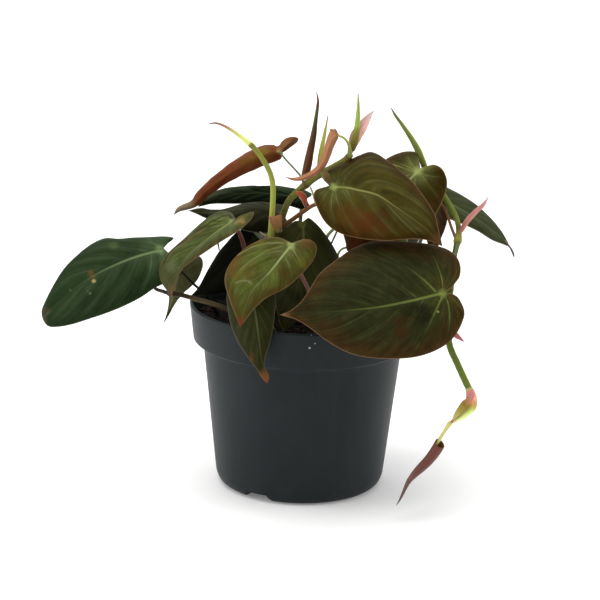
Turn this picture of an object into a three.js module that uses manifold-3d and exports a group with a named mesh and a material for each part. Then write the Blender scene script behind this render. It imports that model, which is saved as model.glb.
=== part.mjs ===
// Potted velvet-leaf philodendron in a 12 cm nursery pot.
// Millimetres, +Z up. The origin is the centre of the pot's underside, on the surface it stands on.
// -Y is the side the plant's display face looks to, +X is to its right.
import * as THREE from 'three';
import { mergeVertices } from 'three/addons/utils/BufferGeometryUtils.js';
import Module from 'manifold-3d';

const wasm = await Module();
wasm.setup();

// ---------------------------------------------------------------- driving dimensions (mm)
const RIM_RADIUS = 60;          // 12 cm pot: outside of the rim
const POT_HEIGHT = 98.76;
const BAND_LOW_RADIUS = 57.78;  // rim band, lower edge
const BAND_LOW_Z = 79.22;
const SHOULDER_RADIUS = 52.55;  // body just under the band
const SHOULDER_Z = 76.42;
const FOOT_RADIUS = 44.58;      // body where the foot rounding starts
const FOOT_Z = 5.85;
const SOLE_RADIUS = 38.7;       // flat ring that stands on the table
const WALL = 1.15;              // moulded wall
const FLOOR = 1.4;              // base plate
const CHANNEL = { count: 3, firstAngle: -121, halfLow: 8.8, halfHigh: 6.2, height: 3.2, inner: 22, roof: 1.5 };
const DRAIN_RADIUS = 3.6;
const SOIL_TOP = 91.2;          // soil at the middle
const SOIL_EDGE = 89.6;         // soil at the wall
const GAP = 0.32;               // clearance between neighbouring pieces
const BLADE = 0.42;             // half thickness of a leaf blade
const POT_SEGMENTS = 48;

// ---------------------------------------------------------------- growth data (mm)
// Leaf blades: midrib from the stalk joint to the drip tip, the two margins A and B from the notch to
// the tip, ta / tb = share of each margin that belongs to the lobe, N = normal of the upper face,
// phi = how strongly each half is arched (radians), stalk = leaf stalk [x, y, z, radius] from the blade down.
const LEAVES = {
  leaf_a: {
    mid: [[-75.7,-8.0,127.2],[-86.0,-10.0,124.5],[-95.2,-12.0,121.3],[-109.1,-15.0,114.7],[-121.8,-18.0,106.0],[-131.0,-20.0,98.2],[-135.1,-21.0,94.1]],
    A: [[-73.9,-7.0,128.6],[-69.6,-5.1,131.5],[-68.6,-4.2,133.1],[-71.8,-3.2,133.6],[-79.7,-3.2,133.4],[-89.1,-3.5,132.7],[-98.0,-3.3,131.9],[-104.8,-2.2,131.7],[-110.5,-3.1,129.3],[-117.6,-6.0,124.5],[-124.7,-9.0,118.1],[-130.1,-13.2,110.4],[-134.4,-17.2,101.7],[-136.5,-19.8,95.9],[-136.1,-21.5,93.1]],
    B: [[-73.6,-7.6,127.7],[-69.3,-9.5,124.6],[-67.0,-12.4,118.9],[-69.9,-15.0,113.1],[-77.6,-17.2,109.1],[-84.7,-19.5,104.5],[-93.4,-21.6,100.2],[-102.7,-23.1,96.4],[-111.9,-24.1,93.2],[-120.2,-24.7,90.4],[-127.5,-24.4,88.8],[-132.5,-24.2,88.9],[-135.0,-22.9,91.1],[-136.1,-21.5,93.1]],
    ta: 0.248, tb: 0.281, N: [-0.063,-0.873,0.484], phi: 0.5, on: "vine_left",
    stalk: [[-75.8,-5.5,125.7,0.9],[-77.5,-1.0,118.7,0.85],[-79.5,-2.0,111.3,0.85],[-78.3,-8.0,106.8,0.9],[-73.5,-15.5,106.9,1.0],[-69.1,-20.0,106.9,1.05]] },
  leaf_b: {
    mid: [[-37.7,-33.0,149.9],[-42.8,-34.5,146.7],[-47.3,-36.0,143.5],[-53.3,-37.5,139.0],[-58.8,-39.0,134.5],[-63.8,-40.0,127.7],[-66.7,-40.5,120.3],[-68.4,-41.0,114.0],[-68.7,-41.0,111.9]],
    A: [[-35.8,-30.0,150.5],[-37.5,-24.0,151.8],[-40.2,-19.0,151.9],[-43.9,-17.0,151.5],[-48.1,-16.0,149.7],[-52.6,-17.0,146.4],[-59.7,-20.0,140.6],[-66.2,-24.0,135.0],[-71.6,-28.0,130.1],[-74.7,-31.0,125.0],[-74.8,-33.0,120.7],[-73.1,-36.0,116.8],[-70.3,-39.0,114.0],[-68.7,-41.0,111.9]],
    B: [[-34.7,-34.0,151.8],[-30.5,-39.0,156.4],[-26.7,-42.0,158.0],[-27.3,-45.0,155.9],[-30.3,-47.0,152.7],[-34.2,-49.0,149.7],[-38.2,-50.0,147.2],[-44.7,-51.0,143.1],[-51.7,-51.5,138.1],[-57.8,-51.0,133.6],[-62.4,-49.5,129.1],[-65.2,-47.0,122.8],[-67.1,-43.5,116.4],[-68.7,-41.0,111.9]],
    ta: 0.278, tb: 0.373, N: [-0.661,-0.282,0.696], phi: 0.55, on: "soil",
    stalk: [[-37.0,-31.0,148.3,0.95],[-34.7,-30.0,144.9,1.0],[-32.8,-31.0,141.0,1.15],[-31.1,-33.0,135.7,1.2],[-28.0,-34.0,125.9,1.2],[-24.7,-31.0,113.4,1.2],[-22.5,-26.0,100.1,1.25],[-21.3,-24.0,89.8,1.3]] },
  leaf_c: {
    mid: [[-64.6,-12.0,117.2],[-66.4,-12.5,111.4],[-67.6,-13.0,106.0],[-69.1,-13.5,100.2],[-71.3,-14.0,94.2],[-73.3,-14.5,88.6]],
    A: [[-63.1,-11.4,119.0],[-59.8,-10.4,124.0],[-56.8,-8.9,125.3],[-54.0,-6.8,123.1],[-53.2,-5.5,119.3],[-54.2,-5.5,115.1],[-56.4,-6.5,110.5],[-59.7,-8.4,107.4],[-62.7,-10.3,105.1],[-65.5,-11.7,101.9],[-68.0,-12.8,98.1],[-70.0,-13.4,94.1],[-73.3,-14.5,88.6]],
    B: [[-65.2,-11.4,118.9],[-68.2,-9.5,120.5],[-71.4,-7.7,119.9],[-73.0,-7.5,116.9],[-72.6,-9.0,112.4],[-71.1,-10.8,108.0],[-70.5,-12.1,103.5],[-70.7,-13.1,98.9],[-71.5,-13.9,94.5],[-73.3,-14.5,88.6]],
    ta: 0.466, tb: 0.293, N: [-0.174,0.977,-0.121], phi: 0.5, on: "soil",
    stalk: [[-64.0,-14.5,117.4,0.6],[-61.6,-15.0,115.2,0.62],[-59.1,-12.5,111.8,0.65],[-56.0,-8.0,107.6,0.7],[-52.0,-3.0,102.5,0.8],[-47.7,0.0,95.1,0.9],[-44.5,1.0,88.3,1.0]] },
  leaf_d: {
    mid: [[-7.2,-50.0,142.8],[-12.1,-54.0,137.2],[-16.9,-58.0,131.6],[-21.9,-61.0,126.8],[-26.3,-63.5,122.1],[-29.1,-66.0,115.4],[-30.7,-68.0,110.2],[-31.9,-69.0,104.6]],
    A: [[-7.7,-49.3,144.2],[-9.3,-48.9,145.1],[-12.9,-48.2,146.5],[-19.0,-48.1,146.5],[-24.5,-49.1,144.5],[-30.0,-50.8,141.4],[-35.4,-53.5,137.0],[-39.3,-56.8,131.5],[-40.4,-59.7,126.5],[-39.2,-62.5,121.5],[-36.7,-65.8,115.4],[-33.7,-68.2,109.1],[-31.9,-69.0,104.6]],
    B: [[-6.2,-49.3,143.7],[-4.2,-48.4,144.8],[-1.2,-48.2,146.0],[2.4,-48.8,145.9],[5.3,-49.2,143.9],[6.0,-49.2,140.3],[4.5,-50.9,135.7],[-0.7,-55.1,129.9],[-8.6,-60.2,123.6],[-19.1,-64.4,118.6],[-25.5,-67.0,112.9],[-29.4,-68.6,107.7],[-31.9,-69.0,104.6]],
    ta: 0.193, tb: 0.383, N: [0.043,-0.89,0.454], phi: 0.6, on: "soil",
    stalk: [[-6.9,-47.0,140.9,0.9],[-4.5,-43.5,133.4,0.95],[-1.5,-43.2,125.5,1.05],[2.1,-45.0,118.6,1.05],[4.5,-47.5,112.0,1.1],[6.0,-48.5,104.3,1.15],[6.7,-48.0,96.1,1.2],[6.9,-46.0,91.3,1.25]] },
  leaf_e: {
    mid: [[-27.4,-56.0,121.0],[-26.0,-59.5,116.2],[-24.5,-62.5,110.8],[-22.5,-66.0,99.7],[-20.7,-67.0,87.9],[-19.3,-67.5,80.6],[-17.4,-67.5,74.6]],
    A: [[-28.5,-54.8,122.2],[-32.6,-52.7,124.2],[-37.3,-50.0,121.7],[-39.5,-49.4,115.6],[-39.0,-52.3,109.0],[-37.0,-56.1,101.2],[-33.4,-60.2,94.0],[-28.1,-63.9,87.0],[-23.1,-66.4,81.5],[-19.9,-67.1,76.8],[-17.4,-67.5,74.6]],
    B: [[-26.5,-54.9,122.3],[-21.5,-51.5,124.1],[-16.9,-49.9,122.2],[-14.2,-52.3,117.1],[-14.2,-57.3,110.1],[-15.2,-62.2,101.4],[-16.8,-64.8,93.7],[-19.1,-66.8,86.3],[-18.7,-67.1,82.7],[-16.7,-67.0,78.2],[-17.4,-67.5,74.6]],
    ta: 0.353, tb: 0.283, N: [-0.176,-0.942,0.286], phi: 0.5, on: "soil",
    stalk: [[-26.9,-53.5,119.2,0.8],[-24.3,-50.0,113.5,0.85],[-20.7,-47.0,106.9,0.9],[-17.0,-43.0,99.4,1.0],[-14.3,-38.0,91.0,1.1]] },
  leaf_f: {
    mid: [[70.0,-64.0,123.7],[61.1,-66.0,121.7],[52.4,-67.5,119.8],[39.5,-68.5,117.1],[26.7,-68.5,115.2],[13.4,-67.5,113.5],[1.3,-65.5,112.4],[-5.8,-64.0,111.0],[-12.1,-62.5,109.6]],
    A: [[72.5,-63.1,124.9],[75.2,-61.9,126.7],[78.4,-60.2,130.8],[79.1,-57.3,135.8],[77.1,-53.9,140.3],[72.5,-50.8,143.2],[65.4,-48.8,144.9],[55.8,-48.1,145.8],[44.1,-47.5,146.1],[32.9,-47.0,145.1],[23.4,-49.1,141.5],[14.4,-52.6,135.6],[7.4,-55.7,129.8],[2.5,-59.9,122.4],[-2.1,-62.5,116.1],[-6.8,-63.0,112.2],[-12.1,-62.5,109.6]],
    B: [[73.0,-63.7,123.7],[77.1,-64.0,122.6],[79.9,-65.7,119.2],[81.5,-67.4,114.8],[80.2,-68.8,109.1],[77.3,-70.8,103.8],[73.3,-72.5,99.7],[65.8,-74.5,95.7],[56.3,-75.9,93.0],[43.2,-76.5,92.0],[28.0,-75.9,93.0],[20.4,-74.6,95.3],[11.2,-72.2,99.9],[3.0,-68.8,105.2],[-3.7,-65.7,108.3],[-8.0,-64.1,109.1],[-12.1,-62.5,109.6]],
    ta: 0.363, tb: 0.296, N: [-0.055,-0.883,0.466], phi: 0.42, on: "vine_right",
    stalk: [[70.0,-60.5,123.5,1.2],[72.1,-52.0,127.2,1.15],[75.2,-43.5,133.4,1.1],[77.7,-34.5,138.4,1.1],[78.7,-28.0,141.5,1.15]] },
  leaf_g: {
    mid: [[13.5,-37.0,170.7],[19.6,-38.5,171.0],[26.0,-40.0,170.2],[35.8,-43.0,168.6],[46.1,-47.5,163.2],[53.2,-51.0,159.3],[59.3,-54.0,155.6],[64.9,-57.0,151.0],[69.3,-59.0,146.7]],
    A: [[11.9,-35.6,171.9],[10.3,-32.7,174.5],[10.5,-29.8,177.5],[13.8,-28.7,179.4],[19.3,-27.6,181.9],[25.7,-24.9,184.6],[32.0,-22.9,186.5],[36.1,-24.2,185.8],[40.2,-27.1,183.9],[46.4,-31.0,180.3],[54.1,-36.6,174.3],[61.3,-43.9,166.8],[65.6,-49.5,160.6],[67.2,-53.9,155.0],[69.3,-59.0,146.7]],
    B: [[11.2,-36.3,170.7],[6.8,-36.3,170.3],[4.1,-37.6,168.8],[3.7,-39.8,165.9],[5.6,-43.0,161.0],[9.5,-46.4,154.9],[13.9,-49.2,151.5],[19.0,-51.6,149.7],[27.7,-54.1,148.5],[41.3,-56.9,148.4],[54.8,-57.7,149.9],[62.9,-58.2,149.2],[69.3,-59.0,146.7]],
    ta: 0.231, tb: 0.386, N: [-0.073,-0.777,0.625], phi: 0.5, on: "vine_main",
    stalk: [[13.1,-33.5,170.6,1.1],[10.9,-30.5,171.9,1.05],[9.1,-28.5,173.2,1.0],[7.8,-25.0,174.4,1.05]] },
  leaf_h: {
    mid: [[57.1,-20.0,176.1],[52.8,-22.5,171.8],[47.0,-26.0,165.1],[40.0,-30.0,157.5],[33.0,-33.5,150.3],[27.0,-36.0,143.9],[21.5,-38.0,137.4]],
    A: [[58.1,-19.1,177.4],[57.7,-16.4,181.0],[56.7,-14.2,184.4],[51.4,-10.8,184.4],[45.8,-10.1,182.6],[40.7,-10.4,179.9],[35.6,-11.7,175.6],[31.1,-15.5,169.5],[26.6,-20.6,162.2],[22.7,-26.4,154.0],[19.3,-31.2,146.1],[20.7,-35.5,140.9],[21.5,-38.0,137.4]],
    B: [[58.6,-19.3,177.3],[60.9,-19.0,178.5],[64.7,-19.9,179.8],[68.8,-21.4,178.5],[71.3,-22.6,174.9],[72.3,-23.3,169.9],[71.2,-24.9,164.9],[69.0,-27.2,159.6],[66.3,-29.3,155.3],[58.7,-33.2,148.7],[48.5,-36.9,143.1],[38.3,-39.0,139.7],[29.2,-39.1,138.1],[21.5,-38.0,137.4]],
    ta: 0.336, tb: 0.353, N: [-0.132,-0.833,0.537], phi: 0.5, on: "vine_main",
    stalk: [[57.0,-17.0,174.8,1.05],[53.9,-11.0,170.0,1.0],[47.1,-5.0,163.6,1.0],[36.9,-2.0,158.3,1.0],[23.9,-5.0,156.0,1.0],[12.9,-11.0,156.2,1.0],[4.6,-15.0,155.6,1.05],[-0.5,-16.5,152.7,1.15],[-6.1,-16.5,148.3,1.2],[-11.4,-16.5,144.4,1.25]] },
  leaf_i: {
    mid: [[66.9,6.0,157.0],[72.3,7.0,154.2],[77.7,8.0,151.1],[84.7,8.0,147.2],[92.1,6.0,143.3],[99.0,3.0,139.1],[104.2,-1.0,135.4],[107.5,-4.0,132.0],[109.4,-6.0,127.7]],
    A: [[65.3,6.7,158.4],[63.8,9.7,160.9],[66.0,14.7,162.1],[70.4,17.3,160.8],[74.7,18.1,158.5],[81.8,19.2,154.6],[89.8,18.2,149.9],[97.7,12.4,144.2],[103.3,5.1,138.7],[106.5,-1.8,133.8],[108.1,-4.4,131.0],[109.4,-6.0,127.7]],
    B: [[65.3,3.5,156.5],[64.2,-1.2,153.9],[66.8,-3.0,150.7],[72.2,-1.9,147.6],[78.1,-0.7,145.0],[84.5,-0.1,142.5],[90.9,-1.0,139.7],[97.7,-3.2,136.1],[104.1,-3.8,133.7],[107.0,-4.0,132.3],[108.4,-4.9,130.1],[109.4,-6.0,127.7]],
    ta: 0.228, tb: 0.233, N: [0.396,-0.435,0.809], phi: 0.5, on: "soil",
    stalk: [[67.1,4.0,156.5,0.95],[65.7,7.0,148.6,0.95],[62.6,10.0,135.8,1.0],[56.9,13.0,118.4,1.05],[50.6,14.0,102.5,1.15],[46.2,14.0,90.7,1.2]] },
  leaf_j: {
    mid: [[67.4,-11.0,157.0],[67.2,-12.0,152.5],[67.1,-13.0,147.4],[66.8,-14.0,141.2],[66.5,-15.0,135.0],[66.1,-16.0,128.8]],
    A: [[67.8,-10.6,158.6],[69.9,-9.7,159.2],[72.1,-9.1,156.7],[73.3,-9.2,152.5],[73.5,-10.0,147.3],[72.3,-11.4,142.8],[70.6,-13.0,138.6],[68.9,-14.4,133.8],[66.1,-16.0,128.8]],
    B: [[66.6,-10.4,158.5],[63.7,-9.1,158.9],[60.8,-7.9,155.5],[59.9,-8.4,150.3],[60.8,-10.4,144.4],[62.8,-12.8,138.6],[64.5,-14.7,133.2],[66.1,-16.0,128.8]],
    ta: 0.246, tb: 0.261, N: [0.058,0.976,-0.212], phi: 0.5, on: "vine_right",
    stalk: [[67.7,-13.5,157.6,0.75],[69.8,-15.0,157.9,0.75],[72.7,-17.0,153.4,0.75],[74.9,-20.5,147.9,0.75],[77.1,-25.5,143.4,0.8],[78.2,-27.0,142.3,0.8]] },
  leaf_l: {
    mid: [[-1.7,35.0,145.7],[-8.6,35.0,146.9],[-18.3,35.0,148.0],[-30.0,34.0,148.3],[-40.6,31.0,147.6],[-48.9,26.0,146.5],[-54.5,20.0,145.4],[-57.1,17.0,144.5]],
    A: [[0.5,37.0,146.4],[3.1,43.0,146.6],[0.9,50.0,146.5],[-5.6,53.0,146.7],[-14.2,54.0,147.4],[-24.0,53.0,147.8],[-36.8,49.0,147.9],[-47.9,42.0,147.6],[-53.4,32.0,146.5],[-56.0,23.0,145.4],[-57.1,17.0,144.5]],
    B: [[0.5,34.0,144.9],[2.2,28.0,143.8],[-2.1,23.0,143.3],[-8.4,20.0,145.8],[-16.4,18.5,146.8],[-25.4,18.0,147.1],[-34.9,18.0,147.0],[-43.9,18.0,146.9],[-50.2,18.0,146.2],[-54.4,17.5,145.1],[-57.1,17.0,144.5]],
    ta: 0.248, tb: 0.283, N: [0.017,-0.068,0.998], phi: 0.55, on: "soil",
    stalk: [[-2.2,35.5,144.8,1.0],[-2.5,34.0,138.8,1.0],[-3.3,29.0,129.0,1.05],[-4.6,24.0,117.1,1.1],[-5.9,19.0,104.0,1.2],[-6.7,16.0,93.2,1.3]] },
  leaf_m: {
    mid: [[-13.0,2.0,146.2],[-19.8,1.0,148.2],[-27.2,0.0,149.1],[-34.4,-1.5,148.7],[-41.7,-3.0,147.6],[-49.0,-4.0,146.9],[-55.2,-4.5,147.1],[-61.5,-4.5,148.0]],
    A: [[-11.5,4.0,146.8],[-10.5,9.0,147.7],[-13.7,13.0,148.3],[-19.0,15.0,148.4],[-25.9,15.0,148.5],[-33.2,13.5,147.9],[-39.4,10.0,146.7],[-44.6,6.0,146.0],[-49.7,1.5,147.5],[-54.8,-2.0,149.0],[-61.5,-4.5,148.0]],
    B: [[-11.4,1.0,145.5],[-9.7,-2.0,143.0],[-12.7,-5.0,139.4],[-19.5,-7.0,137.6],[-26.8,-8.5,138.1],[-34.1,-9.0,139.7],[-41.4,-8.5,141.8],[-47.7,-7.5,143.5],[-53.0,-6.5,145.0],[-57.2,-5.5,146.6],[-61.5,-4.5,148.0]],
    ta: 0.253, tb: 0.261, N: [0.104,-0.359,0.928], phi: 0.5, on: "soil",
    stalk: [[-13.3,4.0,144.9,0.95],[-13.4,8.0,136.5,0.95],[-12.6,9.0,124.3,1.0],[-11.7,8.0,110.8,1.1],[-10.9,8.0,97.1,1.2]] },
  leaf_n: {
    mid: [[-26.3,-3.0,134.2],[-30.8,-5.0,129.5],[-35.4,-7.0,124.8],[-41.0,-9.5,119.3],[-47.1,-11.5,113.8],[-52.7,-13.0,108.9],[-58.9,-13.0,104.4]],
    A: [[-26.8,-2.3,135.9],[-29.0,-1.5,137.8],[-33.7,-1.2,137.6],[-37.8,-2.3,134.8],[-41.4,-4.0,130.8],[-44.9,-5.8,126.9],[-47.9,-8.0,122.3],[-50.9,-10.1,117.1],[-54.3,-12.4,110.3],[-56.4,-12.8,107.1],[-58.9,-13.0,104.4]],
    B: [[-24.7,-3.2,133.8],[-22.5,-3.9,131.8],[-21.9,-5.3,127.4],[-23.3,-7.1,121.8],[-26.8,-9.2,115.8],[-31.9,-11.5,110.9],[-38.1,-13.1,107.6],[-44.8,-14.1,105.9],[-51.1,-14.3,104.8],[-55.8,-13.7,104.2],[-58.9,-13.0,104.4]],
    ta: 0.195, tb: 0.175, N: [-0.001,-0.938,0.347], phi: 0.5, on: "soil",
    stalk: [[-26.0,-0.5,132.5,0.95],[-24.7,4.0,125.3,0.95],[-23.4,7.0,113.6,1.0],[-23.2,8.0,101.2,1.1],[-23.5,8.0,92.3,1.2]] },
  leaf_o: {
    mid: [[-1.3,-23.0,146.9],[-0.8,-27.0,138.1],[-1.4,-31.0,129.0],[-2.7,-36.0,120.8],[-4.7,-41.5,112.7],[-7.3,-46.5,105.5],[-10.4,-51.0,97.7]],
    A: [[-2.7,-22.2,148.0],[-5.0,-21.4,148.5],[-9.1,-21.2,145.4],[-13.6,-20.8,140.9],[-16.6,-21.7,134.1],[-18.2,-24.5,126.8],[-18.2,-29.9,119.7],[-16.4,-37.3,112.7],[-13.8,-44.1,106.2],[-12.1,-48.3,101.1],[-10.4,-51.0,97.7]],
    B: [[-0.6,-22.2,148.3],[1.2,-21.0,150.1],[4.8,-21.0,147.9],[10.1,-21.7,142.3],[14.4,-22.4,136.4],[17.7,-23.4,129.6],[18.4,-26.4,121.8],[15.5,-31.9,114.7],[9.5,-38.5,108.9],[2.4,-44.0,104.7],[-4.2,-47.9,101.4],[-7.7,-49.8,99.0],[-10.4,-51.0,97.7]],
    ta: 0.221, tb: 0.208, N: [0.079,-0.861,0.503], phi: 0.5, on: "soil",
    stalk: [[-1.0,-20.5,145.2,0.95],[0.5,-16.0,135.2,1.0],[2.3,-12.0,123.9,1.05],[3.7,-9.0,110.6,1.15],[4.0,-8.0,95.5,1.25]] },
  leaf_k: {
    mid: [[-14.1,-15.0,183.1],[-20.3,-17.0,182.6],[-25.3,-18.0,180.6],[-34.0,-19.5,176.2],[-42.1,-20.5,171.0],[-50.7,-21.0,164.0],[-55.3,-21.0,159.1],[-58.3,-20.5,155.7],[-63.0,-19.5,153.5],[-66.1,-19.0,151.9],[-68.3,-18.5,149.0]],
    A: [[-13.1,-14.0,183.4],[-15.3,-6.0,183.6],[-20.1,-6.0,178.9],[-25.1,-7.0,177.0],[-33.7,-9.6,173.0],[-41.8,-12.6,168.4],[-50.5,-14.4,161.8],[-55.1,-15.0,157.1],[-58.3,-16.4,154.3],[-63.0,-16.3,152.4],[-66.1,-16.8,151.2],[-68.3,-18.5,149.0]],
    B: [[-12.6,-14.5,184.0],[-9.6,-15.0,187.7],[-5.5,-14.0,190.4],[-5.0,-11.0,188.2],[-8.5,-7.0,184.0],[-13.7,-6.0,180.4],[-20.7,-6.0,181.0],[-26.0,-7.0,178.9],[-34.6,-9.6,174.6],[-42.7,-12.6,169.6],[-51.3,-14.4,162.8],[-55.9,-15.0,157.9],[-58.7,-16.4,155.0],[-63.2,-16.3,153.0],[-66.3,-16.8,151.5],[-68.3,-18.5,149.0]],
    NA: [0.527,-0.236,-0.816], NB: [-0.527,0.236,0.816],
    ta: 0.175, tb: 0.338, N: [-0.0,0.961,-0.278], phi: 2.6, on: "vine_main",
    stalk: [[-13.3,-15.5,181.9,0.55],[-10.4,-17.0,178.9,0.5],[-6.7,-18.5,175.4,0.5],[-3.2,-19.5,171.7,0.55],[-1.4,-20.8,168.6,0.6]] },
  young_leaf_pink: {
    mid: [[14.8,-34.0,197.2],[13.0,-35.0,195.8],[11.3,-35.5,192.8],[10.2,-35.5,188.8],[8.5,-35.0,183.7],[5.6,-34.0,178.9],[1.1,-33.0,175.5],[-3.5,-32.0,173.4],[-7.5,-31.0,172.9],[-11.1,-30.0,173.6]],
    A: [[15.5,-33.5,197.6],[14.2,-31.0,198.8],[13.7,-27.3,193.6],[12.0,-28.4,190.8],[10.8,-28.9,187.1],[9.1,-29.2,182.1],[5.9,-29.1,177.4],[1.3,-29.2,174.3],[-3.4,-29.1,172.4],[-7.6,-29.2,172.2],[-11.1,-30.0,173.6]],
    B: [[16.1,-33.5,197.1],[16.1,-31.0,194.4],[12.5,-27.3,194.5],[10.8,-28.4,191.3],[9.6,-28.9,187.4],[8.1,-29.2,182.6],[5.3,-29.1,178.1],[0.9,-29.2,174.9],[-3.5,-29.1,173.0],[-7.5,-29.2,172.6],[-11.1,-30.0,173.6]],
    NA: [0.64,-0.214,-0.738], NB: [-0.64,0.214,0.738],
    ta: 0.201, tb: 0.185, N: [-0.0,0.961,-0.278], phi: 2.6, on: "vine_main",
    stalk: [[15.7,-33.5,196.7,0.55],[17.6,-33.0,195.9,0.6],[19.7,-32.0,194.0,0.65],[21.2,-30.5,190.8,0.75],[21.7,-28.5,187.2,0.9],[21.3,-26.0,184.0,1.0]] },
  young_leaf_hanging: {
    mid: [[70.9,-63.0,44.2],[68.2,-64.0,40.2],[65.2,-65.0,36.1],[61.3,-66.0,31.2],[57.3,-66.0,27.3],[54.4,-65.5,22.1],[52.0,-65.0,16.5],[50.4,-64.5,11.3],[49.5,-64.0,8.4]],
    A: [[71.4,-62.5,44.9],[70.3,-59.0,45.0],[69.6,-52.8,35.7],[66.7,-53.2,31.3],[62.5,-55.6,26.9],[58.2,-58.3,24.1],[55.0,-61.0,20.3],[52.4,-62.1,15.3],[50.6,-62.7,10.6],[49.5,-64.0,8.4]],
    B: [[71.9,-62.5,44.6],[75.0,-59.5,42.1],[67.9,-52.8,37.0],[64.9,-53.2,32.8],[61.0,-55.6,28.3],[57.1,-58.3,25.1],[54.2,-61.0,20.8],[51.9,-62.1,15.5],[50.3,-62.7,10.7],[49.5,-64.0,8.4]],
    NA: [0.851,-0.146,-0.504], NB: [-0.851,0.146,0.504],
    ta: 0.16, tb: 0.183, N: [-0.0,0.961,-0.278], phi: 2.6, on: "free",
    stalk: [[71.7,-62.3,45.7,0.75],[73.6,-62.0,49.1,0.75],[76.6,-61.7,53.9,0.8]] },
  leaf_rear_1: {
    mid: [[-18.0,57.0,103.0],[-20.5,66.6,92.4],[-23.4,74.3,80.3],[-26.5,79.8,66.6],[-28.4,82.0,57.8],[-29.8,82.9,51.7]],
    A: [[-18.2,54.0,105.9],[-20.9,50.9,109.2],[-26.2,48.0,112.6],[-32.3,49.6,112.3],[-37.1,54.6,108.5],[-39.9,61.1,102.3],[-40.5,67.6,94.1],[-38.7,73.7,83.4],[-34.9,78.5,71.3],[-32.2,81.0,62.3],[-30.5,82.2,56.3],[-29.8,82.9,51.7]],
    B: [[-16.5,54.2,105.7],[-12.6,51.8,108.2],[-6.3,50.4,110.3],[-0.8,53.3,108.7],[1.9,59.2,104.1],[1.6,66.0,97.7],[-1.6,72.3,89.7],[-8.0,77.4,79.9],[-16.7,80.7,69.2],[-23.1,82.1,61.3],[-27.2,82.6,56.0],[-29.8,82.9,51.7]],
    ta: 0.373, tb: 0.373, N: [0.002,0.676,0.737], phi: 0.5, on: "vine_back",
    stalk: [[-17.6,55.5,101.3,1],[-15.0,48.0,100.0,1],[-10.0,39.0,99.5,1.05],[-5.0,33.0,99.0,1.1]] },
  leaf_rear_2: {
    mid: [[40.0,46.0,113.0],[46.2,55.1,103.5],[52.2,62.6,92.6],[57.9,68.3,80.2],[61.1,70.9,72.1],[63.2,72.2,66.6]],
    A: [[37.6,43.6,115.4],[33.1,42.5,117.6],[26.8,43.0,119.5],[23.0,47.6,118.0],[22.8,54.3,113.9],[25.8,61.0,108.1],[31.2,66.6,101.0],[39.5,70.3,92.2],[49.2,71.9,82.5],[56.1,72.2,75.3],[60.4,72.1,70.4],[63.2,72.2,66.6]],
    B: [[39.0,42.9,115.6],[40.2,38.9,118.6],[43.8,34.3,121.8],[49.8,33.8,121.7],[56.0,37.2,118.5],[61.1,42.9,113.0],[64.4,49.5,105.6],[65.6,56.9,95.8],[64.7,63.9,84.7],[63.8,68.2,76.4],[63.2,70.7,70.8],[63.2,72.2,66.6]],
    ta: 0.373, tb: 0.371, N: [0.187,0.579,0.794], phi: 0.5, on: "soil",
    stalk: [[39.2,44.8,111.0,1],[36.0,38.0,104.0,1],[31.0,30.0,96.0,1.1],[27.0,24.0,88.0,1.2],[25.0,22.0,78.0,1.2]] },
  leaf_rear_3: {
    mid: [[33.0,22.0,158.0],[32.3,35.1,154.7],[31.8,47.6,149.5],[31.3,59.3,142.3],[31.1,65.9,137.1],[31.0,70.0,133.2]],
    A: [[32.5,18.3,158.8],[29.7,14.5,159.9],[24.6,11.2,161.3],[19.2,13.2,162.0],[15.4,19.5,161.6],[13.9,27.9,160.2],[14.5,37.2,157.1],[17.8,47.3,152.1],[23.1,56.9,145.4],[27.0,63.2,140.0],[29.5,67.1,136.2],[31.0,70.0,133.2]],
    B: [[34.0,18.3,158.7],[37.2,14.8,159.4],[42.8,11.9,160.1],[48.0,14.4,160.1],[51.0,21.0,159.3],[51.7,29.5,157.7],[50.1,38.8,154.8],[45.9,48.5,150.2],[39.8,57.6,144.3],[35.4,63.6,139.5],[32.6,67.2,136.0],[31.0,70.0,133.2]],
    ta: 0.373, tb: 0.373, N: [0.058,0.172,0.983], phi: 0.5, on: "soil",
    stalk: [[32.5,21.0,155.8,0.9],[28.0,16.0,149.0,0.9],[18.0,8.0,140.0,0.9],[11.5,-1.0,135.0,0.9],[9.0,-2.0,128.0,0.95],[8.5,4.0,112.0,1.05],[9.0,8.0,96.0,1.15],[9.0,9.0,78.0,1.15]] },
  leaf_rear_4: {
    mid: [[44.0,36.0,131.0],[46.7,46.4,124.6],[49.1,55.7,116.3],[51.0,63.6,106.3],[52.0,67.6,99.5],[52.6,70.0,94.6]],
    A: [[42.6,33.1,132.6],[39.3,30.8,134.3],[34.4,29.5,136.0],[30.6,32.7,135.7],[29.2,38.8,133.5],[30.1,46.0,129.9],[32.9,52.9,124.7],[37.8,59.2,117.6],[44.0,64.3,109.2],[48.3,67.1,102.7],[51.0,68.7,98.2],[52.6,70.0,94.6]],
    B: [[43.8,32.8,132.5],[45.5,29.2,134.2],[49.2,25.5,135.7],[54.1,26.3,135.2],[58.3,31.0,133.0],[61.0,37.6,129.3],[61.9,45.0,124.2],[60.6,53.1,117.2],[57.6,60.6,109.0],[55.1,65.3,102.5],[53.4,68.1,98.1],[52.6,70.0,94.6]],
    ta: 0.366, tb: 0.366, N: [0.128,0.416,0.9], phi: 0.5, on: "soil",
    stalk: [[43.0,34.8,131.0,0.75],[36.0,24.0,128.0,0.7],[25.0,4.0,129.0,0.65],[18.5,-10.0,130.0,0.6],[17.2,-14.0,128.0,0.6],[19.0,-13.0,120.0,0.6],[21.5,-8.0,108.0,0.75],[23.0,-3.0,96.0,0.9],[23.5,-1.0,78.0,1.0]] },
  leaf_rear_5: {
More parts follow.
